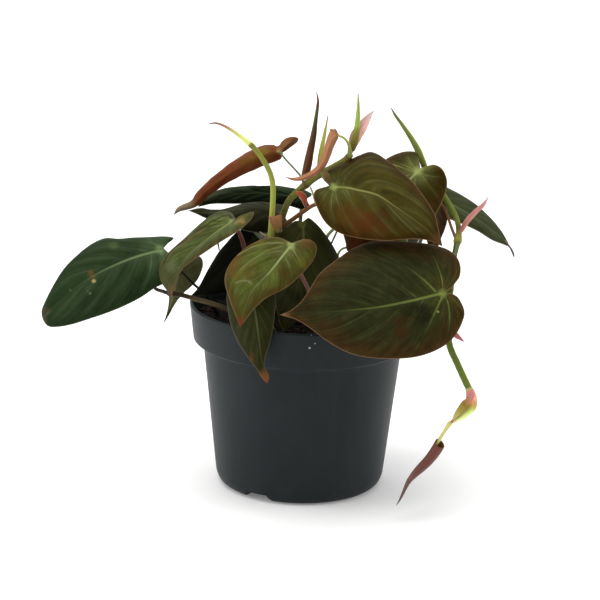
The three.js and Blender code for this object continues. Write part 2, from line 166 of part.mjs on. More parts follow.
    mid: [[-20.0,41.0,127.0],[-19.5,53.7,124.1],[-18.9,65.7,118.7],[-18.2,76.9,110.7],[-17.7,83.0,104.8],[-17.3,86.9,100.3]],
    A: [[-20.8,37.4,127.5],[-23.7,33.9,128.0],[-28.7,31.0,128.5],[-33.6,33.3,128.7],[-36.6,39.6,128.2],[-37.4,47.8,127.0],[-35.9,56.8,124.2],[-31.9,66.2,119.4],[-26.1,75.1,113.0],[-21.7,80.8,107.5],[-19.0,84.3,103.6],[-17.3,86.9,100.3]],
    B: [[-19.4,37.4,127.5],[-16.7,33.7,128.4],[-12.0,30.6,129.5],[-7.1,32.6,130.3],[-3.8,38.8,130.2],[-2.4,47.0,129.1],[-3.1,56.0,126.2],[-6.1,65.6,121.0],[-10.7,74.7,113.9],[-14.1,80.6,108.0],[-16.2,84.2,103.7],[-17.3,86.9,100.3]],
    ta: 0.366, tb: 0.366, N: [-0.057,0.126,0.99], phi: 0.5, on: "vine_back",
    stalk: [[-19.6,40.0,125.0,0.95],[-16.0,37.0,119.0,0.95],[-10.0,34.0,114.0,1.0],[-4.0,33.0,112.0,1.05]] },
};
const STEMS = {
  vine_main: { flat: 1, path: [[-17.0,-1.0,70.0,1.9],[-17.5,-3.0,84.0,1.9],[-18.5,-8.0,95.0,1.9],[-18.5,-10.0,107.6,1.9],[-17.5,-13.0,123.6,1.85],[-15.7,-15.5,136.2,1.85],[-13.7,-17.3,144.3,1.85],[-12.1,-18.3,149.4,1.8],[-8.9,-19.8,158.4,1.7],[-3.8,-21.0,164.4,1.75],[0.7,-22.0,168.7,1.75],[7.8,-23.7,174.5,1.7],[14.8,-24.8,179.1,1.6],[19.8,-25.5,182.6,1.55],[22.0,-25.8,185.0,1.5]] },
  vine_upright: { flat: 1, path: [[-22.0,-13.0,70.0,1.5],[-21.5,-13.0,84.0,1.5],[-21.3,-15.0,94.8,1.5],[-20.0,-17.0,109.5,1.5],[-18.9,-19.0,125.2,1.5],[-18.1,-20.5,138.6,1.5],[-17.4,-21.5,152.2,1.45],[-17.3,-22.3,166.8,1.4],[-18.9,-22.8,173.7,1.4],[-21.6,-23.3,179.0,1.35],[-26.3,-24.0,185.7,1.3],[-28.4,-24.2,188.0,1.5],[-34.1,-25.0,192.8,1.1],[-41.4,-26.0,197.9,0.75],[-47.0,-27.0,200.2,0.5],[-50.8,-28.0,199.8,0.22]] },
  vine_left: { flat: 1, path: [[-29.0,-31.0,70.0,1.4],[-27.5,-32.0,84.0,1.4],[-26.3,-34.5,92.8,1.4],[-31.1,-34.5,97.3,1.4],[-35.3,-33.0,100.2,1.4],[-39.5,-30.5,102.5,1.35],[-45.4,-27.0,103.6,1.35],[-50.7,-24.0,104.3,1.3],[-56.0,-22.0,105.0,1.3],[-59.7,-21.0,105.8,1.25],[-64.4,-20.5,106.8,1.25],[-68.1,-20.2,107.1,1.45],[-70.1,-20.0,107.1,1.2]] },
  vine_right: { flat: 1, path: [[38.0,4.0,70.0,1.6],[38.5,3.0,84.0,1.6],[40.9,-2.0,98.0,1.6],[46.2,-3.0,111.6,1.5],[50.4,-4.0,127.3,1.5],[54.0,-5.0,143.3,1.45],[56.7,-6.0,155.5,1.45],[59.6,-6.5,161.6,1.45],[63.1,-7.5,164.6,1.45],[67.1,-9.5,165.0,1.4],[70.3,-11.5,162.6,1.4],[72.6,-14.0,159.5,1.4],[74.9,-16.5,156.5,1.4],[77.0,-19.0,153.2,1.4],[78.6,-22.5,149.1,1.4],[79.1,-25.0,145.5,1.55],[78.6,-27.5,141.9,1.6],[77.1,-32.0,136.7,1.35],[76.1,-40.0,129.3,1.3],[74.7,-49.0,118.5,1.3],[73.8,-54.5,106.8,1.3],[74.8,-58.5,95.2,1.35],[79.2,-60.5,85.3,1.35],[85.5,-61.2,72.4,1.4]] },
  vine_back: { flat: 1, path: [[2.0,24.0,70.0,1.6],[1.5,25.5,86.0,1.6],[0.5,29.0,98.0,1.55],[-2.0,33.0,110.0,1.5],[-7.0,38.0,120.0,1.4],[-13.0,44.0,126.0,1.2],[-20.0,52.0,127.0,0.9],[-27.0,60.0,124.0,0.3]] },
  rolled_leaf_brown: { flat: 1, path: [[-0.8,-22.5,173.1,2.0],[0.2,-22.8,178.4,2.15],[1.5,-23.0,186.4,1.85],[2.9,-23.3,194.4,1.5],[3.8,-23.5,202.3,1.0],[4.6,-23.7,209.7,0.75],[4.7,-23.8,212.8,0.55],[3.9,-24.0,217.0,0.15]] },
  spike_1: { flat: 1, path: [[6.5,-22.3,177.7,1.15],[6.9,-21.5,182.0,1.2],[7.3,-21.0,186.1,1.1],[8.6,-20.5,194.4,0.75],[9.4,-20.2,199.6,0.5],[10.2,-20.0,204.8,0.15]] },
  spike_2: { flat: 1, path: [[22.9,-25.2,188.0,1.35],[23.9,-24.5,191.5,1.3],[24.9,-23.7,196.6,1.05],[25.3,-23.0,202.8,0.8],[25.4,-22.3,209.9,0.55],[25.0,-21.8,217.6,0.15]] },
  spike_3: { flat: 1, path: [[62.6,-9.0,168.7,1.3],[61.9,-11.0,173.4,1.35],[60.0,-12.5,179.6,1.35],[57.6,-13.5,185.4,1.5],[54.1,-14.3,191.5,1.15],[48.5,-15.2,199.5,0.85],[44.9,-15.8,204.3,0.55],[42.1,-16.2,208.5,0.15]] },
  sheath_crown: { flat: 0.55, path: [[23.5,-29.8,186.8,0.9],[24.7,-30.3,190.0,1.3],[26.3,-30.6,195.1,1.75],[27.7,-30.6,199.9,2.0],[29.3,-30.4,204.3,1.9],[31.3,-30.2,207.1,1.1],[33.4,-30.0,209.8,0.15]] },
  sheath_right: { flat: 0.6, path: [[79.9,-29.2,146.9,1.2],[81.8,-30.0,151.1,1.7],[84.2,-30.2,154.8,1.75],[87.1,-30.2,158.1,1.65],[90.4,-30.0,161.3,1.35],[93.3,-29.6,165.9,0.15]] },
  sheath_fork: { flat: 0.28, path: [[-14.0,-22.2,142.1,0.35],[-14.6,-23.4,145.3,1.3],[-15.3,-24.6,148.8,2.3],[-16.0,-25.2,152.5,3.3]] },
  sheath_red: { flat: 0.45, path: [[-5.3,-24.6,164.2,0.55],[-3.3,-25.3,163.8,1.4],[-1.5,-25.6,161.9,1.7],[-0.6,-25.4,159.0,1.2],[0.0,-24.9,155.9,0.3]] },
  sheath_brown: { flat: 0.5, path: [[8.8,-35.2,178.2,0.7],[9.4,-36.2,176.9,1.4],[10.2,-37.6,174.9,1.3],[11.2,-38.8,172.9,0.3]] },
  sheath_low: { flat: 0.6, path: [[77.0,-51.5,98.8,1.3],[79.1,-52.0,97.4,1.2],[82.4,-52.4,94.9,0.15]] },
  sheath_hanging: { flat: 0.8, path: [[86.2,-61.5,71.0,1.75],[86.8,-61.8,68.5,2.35],[87.1,-62.0,65.6,2.7],[86.1,-62.2,62.5,3.0],[82.9,-62.1,59.5,2.4],[79.5,-61.9,56.5,1.4],[77.1,-61.8,54.7,0.75]] },
  root_main: { flat: 1, path: [[2.0,-24.8,167.2,0.45],[3.2,-25.6,164.4,0.5],[4.1,-25.8,161.3,0.45],[4.9,-25.6,158.6,0.3]] },
  root_fork: { flat: 1, path: [[-19.6,-22.6,139.9,0.5],[-21.3,-23.6,140.9,0.45],[-23.4,-24.2,142.6,0.25]] },
  root_left: { flat: 1, path: [[-45.8,-24.0,138.8,0.4],[-45.0,-22.5,135.2,0.45],[-44.3,-20.5,130.9,0.45],[-43.5,-18.0,126.5,0.4]] },
  root_gap: { flat: 1, path: [[16.8,-24.0,146.0,0.5],[15.7,-23.0,142.3,0.55],[13.7,-21.2,136.9,0.5],[11.2,-18.8,130.3,0.45]] },
};

// ---------------------------------------------------------------- helpers
const V = (a) => new THREE.Vector3(a[0], a[1], a[2]);
const curve = (pts) => new THREE.CatmullRomCurve3(pts.map(V), false, 'centripetal');

function toManifold(positions, indices) {
  let g = new THREE.BufferGeometry();
  g.setAttribute('position', new THREE.Float32BufferAttribute(positions, 3));
  g.setIndex(indices);
  g = mergeVertices(g, 1e-4);
  const p = g.attributes.position, idx = g.index.array, tri = [];
  for (let i = 0; i < idx.length; i += 3) {
    const [a, b, c] = [idx[i], idx[i + 1], idx[i + 2]];
    if (a !== b && b !== c && a !== c) tri.push(a, b, c);
  }
  let vol = 0;
  const P = (i) => new THREE.Vector3().fromBufferAttribute(p, i);
  for (let i = 0; i < tri.length; i += 3) vol += P(tri[i]).dot(P(tri[i + 1]).cross(P(tri[i + 2])));
  if (vol < 0) for (let i = 0; i < tri.length; i += 3) [tri[i + 1], tri[i + 2]] = [tri[i + 2], tri[i + 1]];
  const m = new wasm.Manifold(new wasm.Mesh({ numProp: 3, vertProperties: new Float32Array(p.array), triVerts: new Uint32Array(tri) }));
  return m;
}

function toGeometry(m) {
  const mesh = m.getMesh();
  const n = mesh.numProp, out = [];
  for (let i = 0; i < mesh.vertProperties.length; i += n) out.push(mesh.vertProperties[i], mesh.vertProperties[i + 1], mesh.vertProperties[i + 2]);
  const g = new THREE.BufferGeometry();
  g.setAttribute('position', new THREE.Float32BufferAttribute(out, 3));
  g.setIndex(Array.from(mesh.triVerts));
  g.computeVertexNormals();
  return g;
}

function lathe(profile, segments) {
  let g = new THREE.LatheGeometry(profile.map(([r, z]) => new THREE.Vector2(Math.max(r, 0), z)), segments);
  g.rotateX(Math.PI / 2);
  g.deleteAttribute('normal'); g.deleteAttribute('uv');
  const p = g.attributes.position;
  for (let i = 0; i < p.count; i++) if (Math.hypot(p.getX(i), p.getY(i)) < 1e-3) { p.setX(i, 0); p.setY(i, 0); }
  return toManifold(Array.from(p.array), Array.from(g.index.array));
}

function solidFrom(geometry) {
  const g = geometry.index ? geometry : mergeVertices(geometry);
  g.deleteAttribute('normal'); g.deleteAttribute('uv');
  return toManifold(Array.from(g.attributes.position.array), Array.from(g.index.array));
}

// round or flattened shoot along a path of [x, y, z, radius]; grow adds to the radius for clearance cuts
function shoot(path, { flat = 1, sides = 7, step = 7, grow = 0, overrun = 0 } = {}) {
  const pts = path.map(V), c = curve(path), n = path.length - 1;
  const centre = [], radius = [];
  for (let k = 0; k < n; k++) {
    const m = Math.max(1, Math.round(pts[k].distanceTo(pts[k + 1]) / step));
    for (let j = 0; j < m; j++) {
      const t = (k + j / m) / n;
      centre.push(c.getPoint(t)); radius.push(path[k][3] + (path[k + 1][3] - path[k][3]) * j / m);
    }
  }
  centre.push(c.getPoint(1)); radius.push(path[n][3]);
  const last = centre.length - 1;
  if (overrun) {
    centre[0].addScaledVector(centre[0].clone().sub(centre[1]).normalize(), overrun);
    centre[last].addScaledVector(centre[last].clone().sub(centre[last - 1]).normalize(), overrun);
  }
  const pos = [], idx = [];
  let u = null;
  for (let i = 0; i <= last; i++) {
    const t = centre[Math.min(i + 1, last)].clone().sub(centre[Math.max(i - 1, 0)]).normalize();
    let v;
    if (flat < 1 || !u) {
      v = new THREE.Vector3(0, 1, 0).addScaledVector(t, -t.y);
      if (v.length() < 0.2) v = new THREE.Vector3(1, 0, 0).addScaledVector(t, -t.x);
      v.normalize();
      u = v.clone().cross(t).normalize();
    } else {
      u = u.clone().addScaledVector(t, -u.dot(t)).normalize();
      v = t.clone().cross(u).normalize();
    }
    for (let s = 0; s < sides; s++) {
      const a = (s / sides) * 2 * Math.PI, r = radius[i] + grow, rf = radius[i] * flat + grow;
      const q = centre[i].clone().addScaledVector(u, Math.cos(a) * r).addScaledVector(v, Math.sin(a) * rf);
      pos.push(q.x, q.y, q.z);
    }
  }
  for (let i = 0; i < last; i++) for (let s = 0; s < sides; s++) {
    const a = i * sides + s, b = i * sides + (s + 1) % sides, d = a + sides, e = b + sides;
    idx.push(a, b, e, a, e, d);
  }
  for (let s = 1; s < sides - 1; s++) {
    idx.push(0, s + 1, s);
    const o = last * sides;
    idx.push(o, o + s, o + s + 1);
  }
  return toManifold(pos, idx);
}

// closed blade with an arched half on each side of the midrib
function blade(L, { lobeRows = 4, bodyRows = 6, steps = 2, half = BLADE } = {}) {
  const mid = curve(L.mid), sideA = curve(L.A), sideB = curve(L.B);
  const rows = [];
  for (let i = 0; i <= lobeRows; i++) rows.push([0, L.ta * i / lobeRows, L.tb * i / lobeRows]);
  for (let j = 1; j <= bodyRows; j++) { const f = j / bodyRows; rows.push([f, L.ta + (1 - L.ta) * f, L.tb + (1 - L.tb) * f]); }
  const N = V(L.N), NA = L.NA ? V(L.NA) : N, NB = L.NB ? V(L.NB) : N;
  const grid = [], width = [];
  rows.forEach(([m, a, b], r) => {
    const M = mid.getPointAt(Math.min(m, 1));
    const line = [];
    const ramp = Math.min(1, r / 2) * (r === rows.length - 1 ? 0 : 1);
    const arm = (E, guide, phi, dir) => {
      const D = E.clone().sub(M), w = D.length(), out = [];
      const n = guide.clone();
      if (w > 1e-6) { const d = D.clone().divideScalar(w); n.addScaledVector(d, -n.dot(d)).normalize(); }
      for (let k = 1; k <= steps; k++) {
        const s = k / steps, p = Math.max(phi * ramp, 1e-3), R = w / (2 * Math.sin(p / 2)), th = -p / 2 + p * s;
        const x = R * (Math.sin(th) + Math.sin(p / 2)), y = R * (Math.cos(th) - Math.cos(p / 2));
        out.push(M.clone().addScaledVector(D, w > 1e-6 ? x / w : 0).addScaledVector(n, y));
      }
      return [out, w];
    };
    const [la, wa] = arm(sideA.getPointAt(Math.min(a, 1)), NA, L.phi), [lb, wb] = arm(sideB.getPointAt(Math.min(b, 1)), NB, L.phi);
    line.push(...la.reverse(), M, ...lb);
    if (r === 0) for (let k = 0; k < steps; k++) { const q = la[k].clone().add(lb[steps - 1 - k]).multiplyScalar(0.5); line[k] = q; line[2 * steps - k] = q.clone(); }
    grid.push(line); width.push(Math.max(0.05, wa + wb));
  });
  // merge equal vertices
  const key = new Map(), vert = [], wid = [], id = grid.map((line, r) => line.map((p) => {
    const k = `${p.x.toFixed(3)},${p.y.toFixed(3)},${p.z.toFixed(3)}`;
    if (!key.has(k)) { key.set(k, vert.length); vert.push(p); wid.push(width[r]); }
    return key.get(k);
  }));
  const tri = [];
  const add = (a, b, c) => { if (a !== b && b !== c && a !== c) tri.push([a, b, c]); };
  for (let r = 0; r < grid.length - 1; r++) for (let c = 0; c < grid[0].length - 1; c++) {
    const [a, b, d, e] = [id[r][c], id[r][c + 1], id[r + 1][c], id[r + 1][c + 1]];
    if (c < steps) { add(a, d, e); add(a, e, b); } else { add(a, d, b); add(b, d, e); }
  }
  const normal = vert.map(() => new THREE.Vector3());
  const edges = new Map();
  for (const [a, b, c] of tri) {
    const n = vert[b].clone().sub(vert[a]).cross(vert[c].clone().sub(vert[a]));
    for (const i of [a, b, c]) normal[i].add(n);
    for (const [p, q] of [[a, b], [b, c], [c, a]]) edges.set(`${p},${q}`, [p, q]);
  }
  normal.forEach((n) => n.normalize());
  const rim = [...edges.values()].filter(([p, q]) => !edges.has(`${q},${p}`));
  const onRim = new Set(rim.flat());
  const pos = [], n = vert.length;
  for (const s of [1, -1]) vert.forEach((p, i) => {
    const h = Math.min(half * (onRim.has(i) ? 0.8 : 1), 0.1 * wid[i] + 0.06);
    const q = p.clone().addScaledVector(normal[i], s * h);
    pos.push(q.x, q.y, q.z);
  });
  const idx = [];
  for (const [a, b, c] of tri) idx.push(a, b, c, a + n, c + n, b + n);
  for (const [p, q] of rim) idx.push(q, p, p + n, q, p + n, q + n);
  const upper = normal.reduce((s, v) => s + v.dot(V(L.N)), 0) < 0 ? -1 : 1;
  return { solid: toManifold(pos, idx), upper };
}

// ---------------------------------------------------------------- pot
const outer = [
  [0, 0], [SOLE_RADIUS, 0], [SOLE_RADIUS + 2.6, 0.7], [SOLE_RADIUS + 4.6, 2.6], [FOOT_RADIUS, FOOT_Z],
  [SHOULDER_RADIUS, SHOULDER_Z], [SHOULDER_RADIUS + 1.2, SHOULDER_Z + 1.3], [BAND_LOW_RADIUS - 0.5, BAND_LOW_Z - 0.5], [BAND_LOW_RADIUS, BAND_LOW_Z],
  [RIM_RADIUS, POT_HEIGHT - 0.7], [RIM_RADIUS - 0.5, POT_HEIGHT],
];
const inner = [
  [RIM_RADIUS - WALL - 0.1, POT_HEIGHT], [RIM_RADIUS - WALL - 0.2, POT_HEIGHT - 0.5], [BAND_LOW_RADIUS - WALL, BAND_LOW_Z + 0.6],
  [SHOULDER_RADIUS - WALL, SHOULDER_Z + 0.6], [FOOT_RADIUS - WALL, FOOT_Z + 0.5], [SOLE_RADIUS + 2.2, FLOOR + 0.6], [SOLE_RADIUS - 0.4, FLOOR], [0, FLOOR],
];
function channelBlock(grow, height, from, to, angle) {
  const a = CHANNEL.halfLow + grow, b = CHANNEL.halfHigh + grow, low = -0.5;
  const shape = new THREE.Shape([[-a - 0.4, low], [a + 0.4, low], [b, height], [-b, height]].map(([x, y]) => new THREE.Vector2(x, y)));
  const g = new THREE.ExtrudeGeometry(shape, { depth: to - from, bevelEnabled: false });
  g.rotateX(Math.PI / 2); g.rotateZ(Math.PI / 2); g.translate(from, 0, 0);
  g.rotateZ(THREE.MathUtils.degToRad(angle));
  return solidFrom(g);
}
function pillar(radius, low, high, x, y) {
  const g = new THREE.CylinderGeometry(radius, radius, high - low, 20);
  g.rotateX(Math.PI / 2); g.translate(x, y, (low + high) / 2);
  return solidFrom(g);
}
const potBody = lathe([...outer, ...inner], POT_SEGMENTS);
const potFilled = lathe([...outer, [0, POT_HEIGHT]], POT_SEGMENTS);
let pot = potBody;
let roofs = null;
const angles = Array.from({ length: CHANNEL.count }, (_, i) => CHANNEL.firstAngle + i * 360 / CHANNEL.count);
for (const a of angles) {
  const roof = channelBlock(CHANNEL.roof, CHANNEL.height + CHANNEL.roof, CHANNEL.inner - CHANNEL.roof, SOLE_RADIUS + 12, a).intersect(potFilled);
  pot = pot.add(roof.intersect(lathe([[0, 0.01], [SOLE_RADIUS + 12, 0.01], [SOLE_RADIUS + 12, 9], [0, 9]], 24)));
  const wide = channelBlock(CHANNEL.roof + GAP, CHANNEL.height + CHANNEL.roof + GAP, CHANNEL.inner - CHANNEL.roof - GAP, SOLE_RADIUS + 12, a);
  roofs = roofs ? roofs.add(wide) : wide;
}
for (const a of angles) {
  pot = pot.subtract(channelBlock(0, CHANNEL.height, CHANNEL.inner, SOLE_RADIUS + 14, a));
  const r = THREE.MathUtils.degToRad(a), q = THREE.MathUtils.degToRad(a + 60);
  pot = pot.subtract(pillar(DRAIN_RADIUS, 1, 8, 31 * Math.cos(r), 31 * Math.sin(r)));
  pot = pot.subtract(pillar(DRAIN_RADIUS, -1, 3, 29 * Math.cos(q), 29 * Math.sin(q)));
}

// ---------------------------------------------------------------- soil, with a well for every stem that enters it
const SINK = 76;
const wallAt = (z) => FOOT_RADIUS - WALL + (SHOULDER_RADIUS - FOOT_RADIUS) * (z - FOOT_Z) / (SHOULDER_Z - FOOT_Z);
let soil = lathe([
  [0, FLOOR + GAP], [SOLE_RADIUS - 0.8, FLOOR + GAP], [SOLE_RADIUS + 1.7, FLOOR + 1.0], [wallAt(FOOT_Z) - 0.7, FOOT_Z + 0.9],
  [wallAt(SHOULDER_Z) - 0.4, SHOULDER_Z + 1.0], [BAND_LOW_RADIUS - WALL - 0.5, BAND_LOW_Z + 1.1],
  [BAND_LOW_RADIUS - WALL + 0.65, SOIL_EDGE], [30, SOIL_TOP - 0.3], [0, SOIL_TOP],
], 36).subtract(roofs);

// ---------------------------------------------------------------- plant
const solids = {};
for (const [name, s] of Object.entries(STEMS)) {
  const thick = s.path.some((p) => p[3] > 1.2);
  solids[name] = shoot(s.path, { flat: s.flat, sides: s.flat < 1 ? 8 : thick ? 7 : 6, step: name.startsWith('vine') ? 8 : 7 });
}
for (const [name, L] of Object.entries(LEAVES)) {
  const rolled = !!L.NA;
  const { solid } = blade(L, rolled ? { lobeRows: 2, bodyRows: 8, steps: 3, half: 0.36 } : {});
  const N = V(L.N), hub = V(L.mid[0]);
  const side = Math.sign(N.dot(V(L.stalk[0]).sub(hub))) || -1;
  const start = hub.clone().addScaledVector(N, side * 0.1);
  const path = [[start.x, start.y, start.z, L.stalk[0][3]], ...L.stalk];
  if (L.on === 'soil') { const e = L.stalk[L.stalk.length - 1]; if (e[2] > SINK + 2) path.push([e[0] * 0.97, e[1] * 0.97, SINK, e[3]]); }
  L.path = path;
  let whole = solid.add(shoot(path, { sides: 6, step: 10 }));
  if (STEMS[L.on]) whole = whole.subtract(shoot(STEMS[L.on].path, { flat: STEMS[L.on].flat, grow: GAP, sides: 7, step: 8 }));
  solids[name] = whole;
}
// the part of a cut piece that is left beyond a vine is dropped, so every piece stays one body
for (const name of Object.keys(solids)) {
  const parts = solids[name].decompose();
  if (parts.length > 1) solids[name] = parts.reduce((a, b) => (a.volume() > b.volume() ? a : b));
}
for (const [name, s] of Object.entries(STEMS)) if (s.path.some((p) => p[2] < SOIL_TOP + 1)) {
  const low = s.path.filter((p) => p[2] < SOIL_TOP + 30);
  if (Math.hypot(low[0][0], low[0][1]) < 57) soil = soil.subtract(shoot(low.length > 1 ? low : s.path, { flat: s.flat, grow: GAP, sides: 7, step: 8, overrun: 0.4 }));
}
for (const [name, L] of Object.entries(LEAVES)) if (L.on === 'soil') soil = soil.subtract(shoot(L.path, { grow: GAP, sides: 6, step: 10, overrun: 0.4 }));

// ---------------------------------------------------------------- scene graph
const material = (hex, roughness = 0.6, metalness = 0) => new THREE.MeshStandardMaterial({ color: hex, roughness, metalness });
const COLOURS = {
  pot: 0x3b4143, soil: 0x2b211b,
  vine_main: 0x8a9a3f, vine_upright: 0xa3ad52, vine_left: 0x6b5d3f, vine_right: 0x7c8f3c, vine_back: 0x7f8c45,
  leaf_a: 0x3f5b43, leaf_b: 0x74764a, leaf_c: 0x5f6349, leaf_d: 0x7d8045, leaf_e: 0x4c4d2a, leaf_f: 0x4d4a2c, leaf_g: 0x6b5d31,
  leaf_h: 0x6d6a2c, leaf_i: 0x41553f, leaf_j: 0x543a22, leaf_k: 0x7a3a26, leaf_l: 0x35443a, leaf_m: 0x3a4238, leaf_n: 0x25271f, leaf_o: 0x3d4534,
  leaf_rear_1: 0x3f4a33, leaf_rear_2: 0x47492d, leaf_rear_3: 0x4e4f2e, leaf_rear_4: 0x454b31, leaf_rear_5: 0x3c4a36,
  young_leaf_pink: 0xc39480, young_leaf_hanging: 0x7d4f48, rolled_leaf_brown: 0x6b4030,
  spike_1: 0xa9b568, spike_2: 0x97a850, spike_3: 0x8d9e4a,
  sheath_crown: 0xd9a094, sheath_right: 0xe0a09a, sheath_fork: 0xcc9a78, sheath_red: 0xa85a45, sheath_brown: 0x7a6636, sheath_low: 0xcf6f70, sheath_hanging: 0xb9b271,
  root_main: 0xb7ad92, root_fork: 0xa9a894, root_left: 0x4b4534, root_gap: 0x5c4a30,
};
const plant = new THREE.Group();
const holder = new THREE.Group();
const put = (group, name, m, rough) => {
  const mesh = new THREE.Mesh(toGeometry(m), material(COLOURS[name] ?? 0x888888, rough));
  mesh.name = name;
  group.add(mesh);
};
put(holder, 'pot', pot, 0.55);
put(holder, 'soil', soil, 0.95);
for (const [name, m] of Object.entries(solids)) put(plant, name, m, name.startsWith('leaf') ? 0.65 : 0.5);

const root = new THREE.Group();
root.add(holder, plant);
export default root;
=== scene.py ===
# Potted velvet-leaf philodendron in a 12 cm nursery pot: fine surfaces and finishes.
# The growth tables are in millimetres, in the part's own frame. Meshes are made in metres.
import math

import bpy
import bmesh
import numpy as np
from mathutils import Matrix, Vector, noise


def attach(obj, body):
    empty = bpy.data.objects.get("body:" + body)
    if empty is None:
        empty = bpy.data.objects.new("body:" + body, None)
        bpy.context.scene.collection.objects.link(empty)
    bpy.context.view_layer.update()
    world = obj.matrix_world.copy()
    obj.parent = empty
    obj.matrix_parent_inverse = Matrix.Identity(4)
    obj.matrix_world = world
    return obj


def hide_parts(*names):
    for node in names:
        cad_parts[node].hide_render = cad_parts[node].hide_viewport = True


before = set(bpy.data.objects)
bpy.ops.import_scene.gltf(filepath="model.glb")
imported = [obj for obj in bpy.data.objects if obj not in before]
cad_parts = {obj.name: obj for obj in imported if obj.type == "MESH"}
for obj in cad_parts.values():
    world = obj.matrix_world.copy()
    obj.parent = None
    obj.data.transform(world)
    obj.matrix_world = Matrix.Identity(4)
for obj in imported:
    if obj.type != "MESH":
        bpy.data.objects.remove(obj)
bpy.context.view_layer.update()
MM = 0.001
scene = bpy.context.scene

